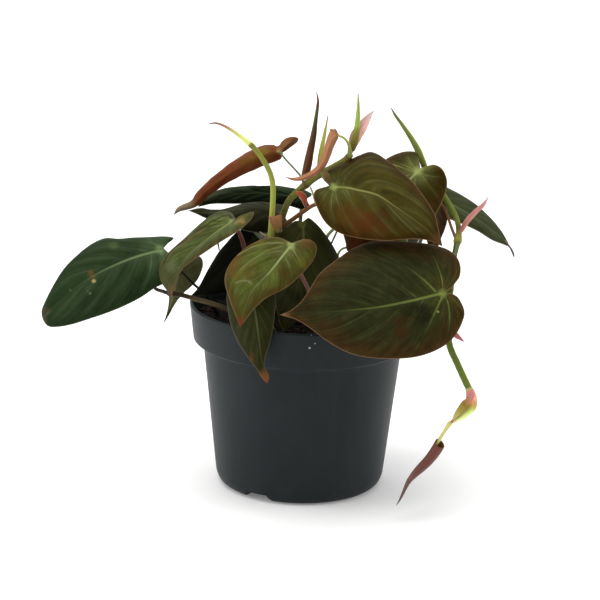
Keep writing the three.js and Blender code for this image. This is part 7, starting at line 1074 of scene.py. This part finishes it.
POT_SPECKS = [((3.6, -59.1, 91.4), 0.7, (170, 174, 172)), ((6.3, -59.1, 93.9), 0.5, (150, 154, 152)), ((4.4, -59.9, 98.6), 0.6, (176, 178, 176))]
EXTRAS = [
    ("hanging_node", "sheath_hanging", [[84.9, -61.2, 73.9, 1.45], [85.6, -61.6, 72.3, 2.0], [86.2, -62.0, 70.9, 2.25], [86.6, -62.3, 68.5, 2.3], [86.8, -62.3, 66.0, 1.9], [86.0, -62.2, 63.6, 1.0]], {"slot": "sheath_olive", "sides": 24, "step": 0.35, "stops": [(0, (110, 116, 44)), (0.08, (150, 146, 84)), (0.14, (196, 184, 116)), (0.22, (196, 160, 112)), (0.28, (214, 134, 128)), (0.6, (206, 130, 122)), (0.72, (160, 112, 74)), (1, (132, 104, 52))]}),
    ("young_leaf_hanging_rolled", "young_leaf_hanging", [[72.2, -62.4, 44.5, 3.15], [71.0, -62.8, 42.2, 3.2], [69.1, -63.3, 38.8, 3.1], [66.2, -63.9, 34.7, 2.9], [62.7, -64.5, 30.8, 2.65], [59.0, -65.0, 26.8, 2.05], [56.2, -65.3, 23.0, 1.45], [54.3, -65.1, 18.5, 1.0], [52.4, -64.7, 13.5, 0.62], [50.4, -64.3, 9.3, 0.14]], {"kind": "scroll", "slot": "young_leaf_maroon", "back": (-0.5, -0.8, 0.2), "wrap": 4.1, "inward": 0.34, "stops": [(0, (108, 62, 44)), (0.06, (110, 64, 51)), (0.4, (106, 64, 56)), (0.6, (110, 75, 66)), (0.75, (100, 78, 66)), (1, (91, 75, 64))], "inner": (110, 78, 27), "rim": (156, 89, 64), "lines": 9, "lip": 3.0, "lip_turn": -0.9}),
    ("leaf_i_dry_tip", "leaf_i", [[104.6, -1.3, 135.0, 0.5], [106.2, -2.9, 133.4, 0.5], [107.5, -4.0, 132.0, 0.5], [108.7, -5.2, 130.0, 0.55], [109.3, -5.9, 128.4, 0.4], [109.4, -6.0, 127.6, 0.12]], {"slot": "leaf_green", "sides": 14, "step": 0.3, "stops": [(0, (100, 88, 66)), (0.5, (84, 62, 56)), (1, (70, 48, 54))]}),
    ("hanging_flap", "sheath_hanging", [[88.2, -63.0, 68.1, 1.3], [86.3, -63.8, 67.2, 2.0], [84.1, -64.4, 65.4, 2.2], [82.0, -64.8, 63.1, 2.0], [80.0, -64.9, 60.5, 1.5], [78.4, -64.8, 57.9, 0.8], [77.4, -64.6, 56.1, 0.14]], {"slot": "sheath_olive", "back": (-0.3, -0.85, -0.3), "wrap": (1.6, 1.2), "flat": 0.4, "stops": [(0, (214, 150, 136)), (0.2, (196, 130, 96)), (0.36, (150, 122, 50)), (0.6, (168, 156, 74)), (0.85, (192, 184, 112)), (1, (200, 160, 140))], "rim": (206, 140, 120), "spec": 0.12}),
]


# ---------------------------------------------------------------- pot
RIM_RADIUS, POT_HEIGHT = 60.0, 98.76
BAND_R, BAND_Z, SHOULDER_R, SHOULDER_Z = 57.78, 79.22, 52.55, 76.42
FOOT_R, FOOT_Z, SOLE_R, WALL, FLOOR = 44.58, 5.85, 38.7, 1.15, 1.4
CHANNELS = [math.radians(-121 + 120 * i) for i in range(3)]


def fillet(profile, corners):
    """rounds the named corners of an open (r, z) profile: {index: (radius, steps)}"""
    out = []
    for i, p in enumerate(profile):
        if i not in corners:
            out.append(p)
            continue
        rad, steps = corners[i]
        a, b, c = np.array(profile[i - 1]), np.array(p), np.array(profile[i + 1])
        u, v = unit(a - b), unit(c - b)
        d = min(rad, 0.45 * np.linalg.norm(a - b), 0.45 * np.linalg.norm(c - b))
        for j in range(steps + 1):
            t = j / steps
            out.append(tuple((b + u * d) * (1 - t) ** 2 + 2 * b * t * (1 - t) + (b + v * d) * t**2))
    return out


def lathe(profile, segments):
    """closed bmesh from a profile that starts and ends on the axis"""
    bm = bmesh.new()
    rings = []
    for r, z in profile:
        if r < 1e-6:
            rings.append([bm.verts.new((0, 0, z * MM))])
        else:
            rings.append([bm.verts.new((r * math.cos(2 * math.pi * i / segments) * MM, r * math.sin(2 * math.pi * i / segments) * MM, z * MM)) for i in range(segments)])
    for a, b in zip(rings, rings[1:]):
        for i in range(segments):
            j = (i + 1) % segments
            f = []
            for v in (a[i % len(a)], a[j % len(a)], b[j % len(b)], b[i % len(b)]):
                if v not in f:
                    f.append(v)
            if len(f) > 2:
                bm.faces.new(f)
    bmesh.ops.recalc_face_normals(bm, faces=bm.faces)
    return bm


def channel_block(grow, height, start, end, angle):
    """trapezoid bar along a drain channel"""
    a, b, low = 8.8 + grow, 6.2 + grow, -0.5
    c, s = math.cos(angle), math.sin(angle)
    bm = bmesh.new()
    ends = []
    for x in (start, end):
        ends.append([bm.verts.new(((x * c - y * s) * MM, (x * s + y * c) * MM, z * MM)) for y, z in ((-a - 0.4, low), (a + 0.4, low), (b, height), (-b, height))])
    bm.faces.new(ends[0])
    bm.faces.new(ends[1][::-1])
    for i in range(4):
        j = (i + 1) % 4
        bm.faces.new((ends[0][j], ends[0][i], ends[1][i], ends[1][j]))
    bmesh.ops.recalc_face_normals(bm, faces=bm.faces)
    return bm


def pillar(radius, low, high, x, y):
    bm = bmesh.new()
    bmesh.ops.create_cone(bm, cap_ends=True, segments=40, radius1=radius * MM, radius2=radius * MM, depth=(high - low) * MM,
                          matrix=Matrix.Translation((x * MM, y * MM, (low + high) / 2 * MM)))
    return bm


def temp(bm, name):
    me = bpy.data.meshes.new(name)
    bm.to_mesh(me)
    bm.free()
    ob = bpy.data.objects.new(name, me)
    scene.collection.objects.link(ob)
    return ob


def boolean(ob, other, kind):
    m = ob.modifiers.new("b", "BOOLEAN")
    m.operation, m.solver, m.object = kind, "MANIFOLD", other
    dg = bpy.context.evaluated_depsgraph_get()
    me = bpy.data.meshes.new_from_object(ob.evaluated_get(dg))
    ob.modifiers.remove(m)
    old = ob.data
    ob.data = me
    bpy.data.meshes.remove(old)
    bpy.data.objects.remove(other)


def make_pot():
    outer = [(0, 0), (SOLE_R, 0), (SOLE_R + 2.6, 0.7), (SOLE_R + 4.6, 2.6), (FOOT_R, FOOT_Z), (SHOULDER_R, SHOULDER_Z), (SHOULDER_R + 1.2, SHOULDER_Z + 1.3),
             (BAND_R - 0.5, BAND_Z - 0.5), (BAND_R, BAND_Z), (RIM_RADIUS, POT_HEIGHT - 0.7), (RIM_RADIUS - 0.5, POT_HEIGHT)]
    inner = [(RIM_RADIUS - WALL - 0.1, POT_HEIGHT), (RIM_RADIUS - WALL - 0.2, POT_HEIGHT - 0.5), (BAND_R - WALL, BAND_Z + 0.6), (SHOULDER_R - WALL, SHOULDER_Z + 0.6),
             (FOOT_R - WALL, FOOT_Z + 0.5), (SOLE_R + 2.2, FLOOR + 0.6), (SOLE_R - 0.4, FLOOR), (0, FLOOR)]
    outer = fillet(outer, {1: (1.0, 3), 2: (1.6, 3), 3: (2.0, 4), 4: (3.5, 4), 5: (0.8, 4), 6: (0.9, 4), 7: (0.5, 3), 8: (0.5, 4), 9: (0.4, 4)})
    inner = fillet(inner, {1: (0.3, 2), 2: (0.8, 3), 3: (0.9, 3), 4: (2.0, 3), 5: (1.5, 3)})
    whole = outer + inner
    dense = []
    for (r0, z0), (r1, z1) in zip(whole, whole[1:]):
        n = max(1, int(math.hypot(r1 - r0, z1 - z0) / 6))
        dense += [(r0 + (r1 - r0) * i / n, z0 + (z1 - z0) * i / n) for i in range(n)]
    dense.append(whole[-1])
    pot = temp(lathe(dense, 216), "pot_wall")
    for angle in CHANNELS:
        roof = temp(channel_block(1.5, 5.3, 20.5, SOLE_R + 12, angle), "roof")
        solid = temp(lathe(outer[:] + [(0, POT_HEIGHT)], 216), "solid")
        boolean(roof, solid, "INTERSECT")
        trim = temp(lathe([(0, 0.01), (SOLE_R + 12, 0.01), (SOLE_R + 12, 9), (0, 9)], 48), "trim")
        boolean(roof, trim, "INTERSECT")
        boolean(pot, roof, "UNION")
    for angle in CHANNELS:
        boolean(pot, temp(channel_block(0, 4.3, 22, SOLE_R + 14, angle), "cut"), "DIFFERENCE")
        boolean(pot, temp(pillar(3.6, 1, 8, 31 * math.cos(angle), 31 * math.sin(angle)), "hole"), "DIFFERENCE")
        turned = angle + math.radians(60)
        boolean(pot, temp(pillar(3.6, -1, 3, 29 * math.cos(turned), 29 * math.sin(turned)), "hole"), "DIFFERENCE")
    clean = bmesh.new()
    clean.from_mesh(pot.data)
    bmesh.ops.dissolve_degenerate(clean, dist=1e-6, edges=clean.edges[:])
    clean.to_mesh(pot.data)
    clean.free()
    pot.name = "pot_wall"
    me = pot.data
    me.polygons.foreach_set("use_smooth", [True] * len(me.polygons))
    me.set_sharp_from_angle(angle=math.radians(32))
    me.materials.clear()
    me.materials.append(pot_material())
    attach(pot, "root")
    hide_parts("pot")
    return pot


def pot_material():
    p = Paint("anthracite_plastic")
    coord = p.nt.nodes.new("ShaderNodeSeparateXYZ")
    p.nt.links.new(p.object(), coord.inputs[0])
    z = coord.outputs[2]
    cloud = p.noise(26, 3.0, 0.55, 2.0)
    fine = p.noise(2600, 3.0, 0.6, 5.0)
    streak = p.noise(120, 3.0, 0.6, 9.0, stretch=(1.0, 1.0, 0.06))
    base = p.mix(p.step(cloud, 0.3, 0.7), rgb(27, 33, 35), rgb(32, 38, 40))
    base = p.mix(p.math("MULTIPLY", p.step(streak, 0.56, 0.72), 0.25), base, rgb(40, 45, 47))
    # dust low on the wall and on the shoulder of the band
    low = p.math("MULTIPLY", p.step(z, 0.020, 0.0), p.step(p.noise(95, 4.0, 0.6, 4.0), 0.46, 0.70))
    base = p.mix(p.math("MULTIPLY", low, 0.1), base, rgb(84, 81, 75))
    shelf = p.math("MULTIPLY", p.step(p.math("ABSOLUTE", p.math("SUBTRACT", z, 0.0782)), 0.0016, 0.0003), p.step(p.noise(140, 3.0, 0.6, 7.0), 0.4, 0.7))
    base = p.mix(p.math("MULTIPLY", shelf, 0.35), base, rgb(70, 72, 72))
    # grains of dust and perlite stuck to the rim band
    cell = p.cells(240, "F1", 3.0)
    pick = p.step(p.noise(38, 2.0, 0.5, 21.0), 0.60, 0.70)
    speck = p.math("MULTIPLY", p.math("MULTIPLY", p.step(cell, 0.10, 0.05), pick), p.step(z, 0.080, 0.086))
    base = p.mix(p.math("MULTIPLY", speck, 0.6), base, rgb(150, 152, 150))
    for place, size, tint in POT_SPECKS:
        base = p.mix(p.step(p.distance(place), size * MM, size * 0.4 * MM), base, rgb(*tint))
    base = p.scaled(base, p.math("MULTIPLY_ADD", fine, 0.24, 0.88))
    rough = p.math("ADD", p.math("MULTIPLY_ADD", cloud, 0.12, 0.36), p.math("MULTIPLY", streak, 0.10))
    p.bump(p.math("ADD", fine, p.math("MULTIPLY", streak, 0.6)), 0.25, 0.00012)
    return p.finish(base, rough, Specular_IOR_Level=0.13)


# ---------------------------------------------------------------- soil
def wall_at(z):
    return FOOT_R - WALL + (SHOULDER_R - FOOT_R) * (z - FOOT_Z) / (SHOULDER_Z - FOOT_Z)


def soil_top(x, y):
    """height of the potting mix in mm, lumpy, a little lower at the wall"""
    r = math.hypot(x, y)
    base = 91.2 - 1.6 * smooth(r, 15, 57)
    p = Vector((x, y, 3.0))
    lump = noise.noise(p / 7.0) * 1.3 + noise.noise(p / 2.8) * 0.8 + noise.noise(p / 1.15) * 0.42
    return float(base + lump * (1 - 0.5 * float(smooth(r, 52, 57))))


def make_soil():
    verts, faces = [], []
    rings = list(np.linspace(0.9, 57.0, 74))
    seg = 240
    verts.append((0, 0, soil_top(0, 0)))
    for r in rings:
        for i in range(seg):
            a = 2 * math.pi * (i + 0.5 * (len(verts) // seg % 2)) / seg
            x, y = r * math.cos(a), r * math.sin(a)
            verts.append((x, y, soil_top(x, y)))
    side = [(56.9, 88.0), (BAND_R - WALL - 0.5, BAND_Z + 1.1), (wall_at(SHOULDER_Z) - 0.4, SHOULDER_Z + 1.0), (wall_at(60) - 0.5, 60), (wall_at(40) - 0.5, 40),
            (wall_at(20) - 0.5, 20), (wall_at(FOOT_Z) - 0.7, FOOT_Z + 3.9), (38, 5.6), (18, 5.4)]
    for r, z in side:
        for i in range(seg):
            a = 2 * math.pi * i / seg
            k = 1 + 0.004 * noise.noise(Vector((math.cos(a) * 9, math.sin(a) * 9, z / 6)))
            verts.append((r * k * math.cos(a), r * k * math.sin(a), z))
    verts.append((0, 0, 5.4))
    n = len(rings) + len(side)
    for i in range(seg):
        faces.append([0, 1 + i, 1 + (i + 1) % seg])
    for k in range(n - 1):
        for i in range(seg):
            a, b = 1 + k * seg + i, 1 + k * seg + (i + 1) % seg
            faces.append([a, a + seg, b + seg, b])
    last = 1 + (n - 1) * seg
    for i in range(seg):
        faces.append([last + i, len(verts) - 1, last + (i + 1) % seg])
    return build("potting_mix", np.array(verts), faces, "soil", soil_material(), smooth_faces=True)


def soil_material():
    p = Paint("potting_mix_surface")
    a = p.noise(210, 5.0, 0.62, 1.0)
    b = p.noise(900, 4.0, 0.65, 4.0)
    c = p.noise(70, 2.0, 0.5, 7.0)
    col = p.mix(p.step(a, 0.36, 0.66), rgb(6, 5, 4), rgb(15, 12, 9))
    col = p.mix(p.math("MULTIPLY", p.step(b, 0.58, 0.72), 0.45), col, rgb(32, 24, 18))
    col = p.mix(p.math("MULTIPLY", p.step(c, 0.5, 0.7), 0.4), col, rgb(15, 11, 8))
    grit = p.step(p.cells(620, "F1", 2.0), 0.16, 0.07)
    col = p.mix(p.math("MULTIPLY", grit, 0.2), col, rgb(72, 60, 46))
    p.bump(p.math("ADD", p.math("MULTIPLY", a, 0.6), b), 0.9, 0.0009)
    return p.finish(col, p.math("MULTIPLY_ADD", b, 0.2, 0.78), Specular_IOR_Level=0.1)


def grain_material(name, dark, light, scale=700, rough=0.85):
    p = Paint(name)
    a = p.noise(scale, 4.0, 0.6, 2.0)
    b = p.noise(scale * 0.25, 2.0, 0.5, 6.0)
    col = p.mix(p.step(a, 0.35, 0.68), rgb(*dark), rgb(*light))
    col = p.scaled(col, p.math("MULTIPLY_ADD", b, 0.7, 0.62))
    p.bump(a, 0.7, 0.0004)
    return p.finish(col, p.math("MULTIPLY_ADD", b, 0.15, rough - 0.08), Specular_IOR_Level=0.12)


def make_crumbs():
    """bark chips, fibres and perlite lying on the potting mix"""
    rng = np.random.default_rng(41)
    ico = bmesh.new()
    bmesh.ops.create_icosphere(ico, subdivisions=2, radius=1.0)
    iv = np.array([v.co[:] for v in ico.verts])
    iface = [[v.index for v in f.verts] for f in ico.faces]
    ico.free()

    def scatter(count, low, high, flat, sink, inner=0.0, rmax=55.0, long=1.0):
        verts, faces = [], []
        for _ in range(count):
            r = math.sqrt(rng.uniform((inner / rmax) ** 2, 1)) * rmax
            a = rng.uniform(0, 2 * math.pi)
            x, y = r * math.cos(a), r * math.sin(a)
            size = rng.uniform(low, high) / 2
            shape = np.array([size * rng.uniform(1, long), size * rng.uniform(0.6, 1.0), size * rng.uniform(*flat)])
            seed = rng.uniform(0, 90)
            lump = np.array([1 + 0.42 * noise.noise(Vector(v * 1.3) + Vector((seed, 0, 0))) + 0.2 * noise.noise(Vector(v * 3.1) + Vector((0, seed, 0))) for v in iv])
            q = iv * lump[:, None] * shape
            # split faces of a chip: clip against two planes
            for _k in range(2):
                d = unit(rng.normal(size=3))
                h = q @ d
                cut = np.quantile(h, 0.8)
                q = q - np.maximum(h - cut, 0)[:, None] * d[None]
            tilt, spin = rng.uniform(-0.5, 0.5, 2), rng.uniform(0, 2 * math.pi)
            rot = np.array((Matrix.Rotation(spin, 3, "Z") @ Matrix.Rotation(tilt[0], 3, "X") @ Matrix.Rotation(tilt[1], 3, "Y")))
            q = q @ rot.T + np.array([x, y, soil_top(x, y) + shape[2] * sink])
            faces += [[i + len(verts) * len(iv) for i in f] for f in iface]
            verts.append(q)
        return np.concatenate(verts), faces

    v, f = scatter(330, 1.6, 5.0, (0.28, 0.6), 0.25, long=1.7)
    build("bark_chips", v, f, "soil", grain_material("bark", (17, 12, 8), (56, 35, 22), 620), smooth_faces=False)
    v, f = scatter(220, 0.9, 2.6, (0.5, 0.9), 0.35)
    build("peat_crumbs", v, f, "soil", grain_material("peat", (9, 7, 5), (25, 18, 13), 900), smooth_faces=True)
    v, f = scatter(26, 0.8, 2.0, (0.7, 1.0), 0.45)
    build("perlite_grains", v, f, "soil", grain_material("perlite", (150, 146, 136), (214, 211, 202), 1100), smooth_faces=True)
    verts, faces = [], []
    total = 0
    for _ in range(120):
        r, a = math.sqrt(rng.uniform(0, 1)) * 53, rng.uniform(0, 2 * math.pi)
        x, y, d = r * math.cos(a), r * math.sin(a), rng.uniform(0, 2 * math.pi)
        turn, length, thick = rng.uniform(-0.16, 0.16), rng.uniform(4, 14), rng.uniform(0.09, 0.22)
        pts = []
        for i in range(7):
            z = soil_top(x, y) + 0.15 + 0.9 * math.sin(i / 6 * math.pi) * rng.uniform(0.2, 1.0)
            pts.append([x, y, z, thick * (1 - 0.5 * abs(i / 3 - 1))])
            x, y = x + math.cos(d) * length / 6, y + math.sin(d) * length / 6
            d += turn + rng.uniform(-0.25, 0.25)
            if math.hypot(x, y) > 55:
                break
        if len(pts) < 4:
            continue
        v, f, w, vals = shoot_mesh(pts, {"sides": 6, "step": 0.6, "bend": 0.0})
        verts.append(v)
        faces += [[i + total for i in q] for q in f]
        total += len(v)
    build("coir_fibres", np.concatenate(verts), faces, "soil", grain_material("coir", (30, 20, 13), (74, 52, 32), 1200))


# ---------------------------------------------------------------- backdrop
def make_floor():
    verts, faces = [], []
    rows = [(-3.2, 0.0), (-1.5, 0.0), (0.0, 0.0), (1.5, 0.0), (2.6, 0.0)]
    for k in range(1, 13):
        a = k / 12 * math.pi / 2
        rows.append((2.6 + 1.2 * math.sin(a), 1.2 - 1.2 * math.cos(a)))
    rows += [(3.8, 2.4), (3.8, 4.2)]
    xs = np.linspace(-4.5, 4.5, 13)
    for y, z in rows:
        for x in xs:
            verts.append((x * 1000, y * 1000, z * 1000 - 0.02))
    w = len(xs)
    for i in range(len(rows) - 1):
        for j in range(w - 1):
            faces.append([i * w + j, i * w + j + 1, (i + 1) * w + j + 1, (i + 1) * w + j])
    me = bpy.data.meshes.new("floor")
    me.from_pydata((np.array(verts) * MM).tolist(), [], faces)
    me.polygons.foreach_set("use_smooth", [True] * len(me.polygons))
    p = Paint("paper_sweep")
    n = p.noise(3.0, 2.0, 0.5)
    col = p.mix(n, rgb(246, 246, 246), rgb(250, 250, 250))
    me.materials.append(p.finish(col, 0.75, Specular_IOR_Level=0.15, Emission_Color=(1.0, 1.0, 1.0, 1.0), Emission_Strength=0.15))  # a lit white table
    ob = bpy.data.objects.new("floor", me)
    scene.collection.objects.link(ob)


# ---------------------------------------------------------------- assembly
set_camera()
set_light()
make_floor()
make_pot()
make_soil()
make_crumbs()

for name, L in LEAVES.items():
    look = dict(BASE_LEAF)
    look.update(LEAF_LOOKS.get(name, {}))
    look["seed"] = look.get("seed", 1) + (sum(map(ord, name)) % 37) * 0.61
    if "mid" in L and look.get("kind") != "scroll":
        blade(name, L, look)
    N, hub = np.array(L["N"]), np.array(L["mid"][0])
    side = np.sign(N @ (np.array(L["stalk"][0][:3]) - hub)) or -1
    along = unit(np.array(L["mid"][1]) - hub)
    r0 = L["stalk"][0][3]
    inside = hub + along * 2.4 + N * side * (0.25 + 0.4 * r0)
    start = hub + along * 0.5 + N * side * (0.25 + 0.75 * r0)
    path = [[*inside, r0 * 0.4], [*start, r0 * 0.75], *L["stalk"]]
    if L["on"] == "soil" and L["stalk"][-1][2] > 78:
        e = L["stalk"][-1]
        path.append([e[0] * 0.97, e[1] * 0.97, 76, e[3]])
    stalk = dict(BASE_STALK)
    stalk.update(STALK_LOOKS.get(name, {}))
    stalk["seed"] = look["seed"]
    for p in path:
        p[3] *= stalk.get("thick", 1.0)
    stalk["slot"] = look["slot"]
    if L["on"] != "soil":
        stalk["flare"] = 0.35
    shoot(name + "_stalk", name, path, stalk)

for name, s in STEMS.items():
    look = dict(BASE_STEM)
    look.update(STEM_LOOKS[name])
    look["seed"] = sum(map(ord, name)) % 29
    path = [list(p) for p in s["path"]]
    for p, r in zip(path, look.get("radii", ())):
        p[3] = r
    for p in path:
        p[3] *= look.get("thick", 1.0)
    path += look.get("more", [])
    if "swell" in look:  # thicker towards the end: (share, from, to)
        share, low, high = look["swell"]
        for i, p in enumerate(path):
            p[3] *= 1 + share * float(smooth(i / (len(path) - 1), low, high))
    if look.get("kind") == "scroll":
        scroll(name + "_rolled", name, path, look)
    elif "back" in look:
        scale_leaf(name + "_scale", name, path, look)
    else:
        shoot(name + "_shoot", name, path, look)

for name, node, path, look in EXTRAS:
    look = {**BASE_STEM, **look, "seed": sum(map(ord, name)) % 29}
    if look.get("kind") == "scroll":
        scroll(name, node, path, look)
    elif "back" in look:
        scale_leaf(name, node, path, look)
    else:
        shoot(name, node, path, look)
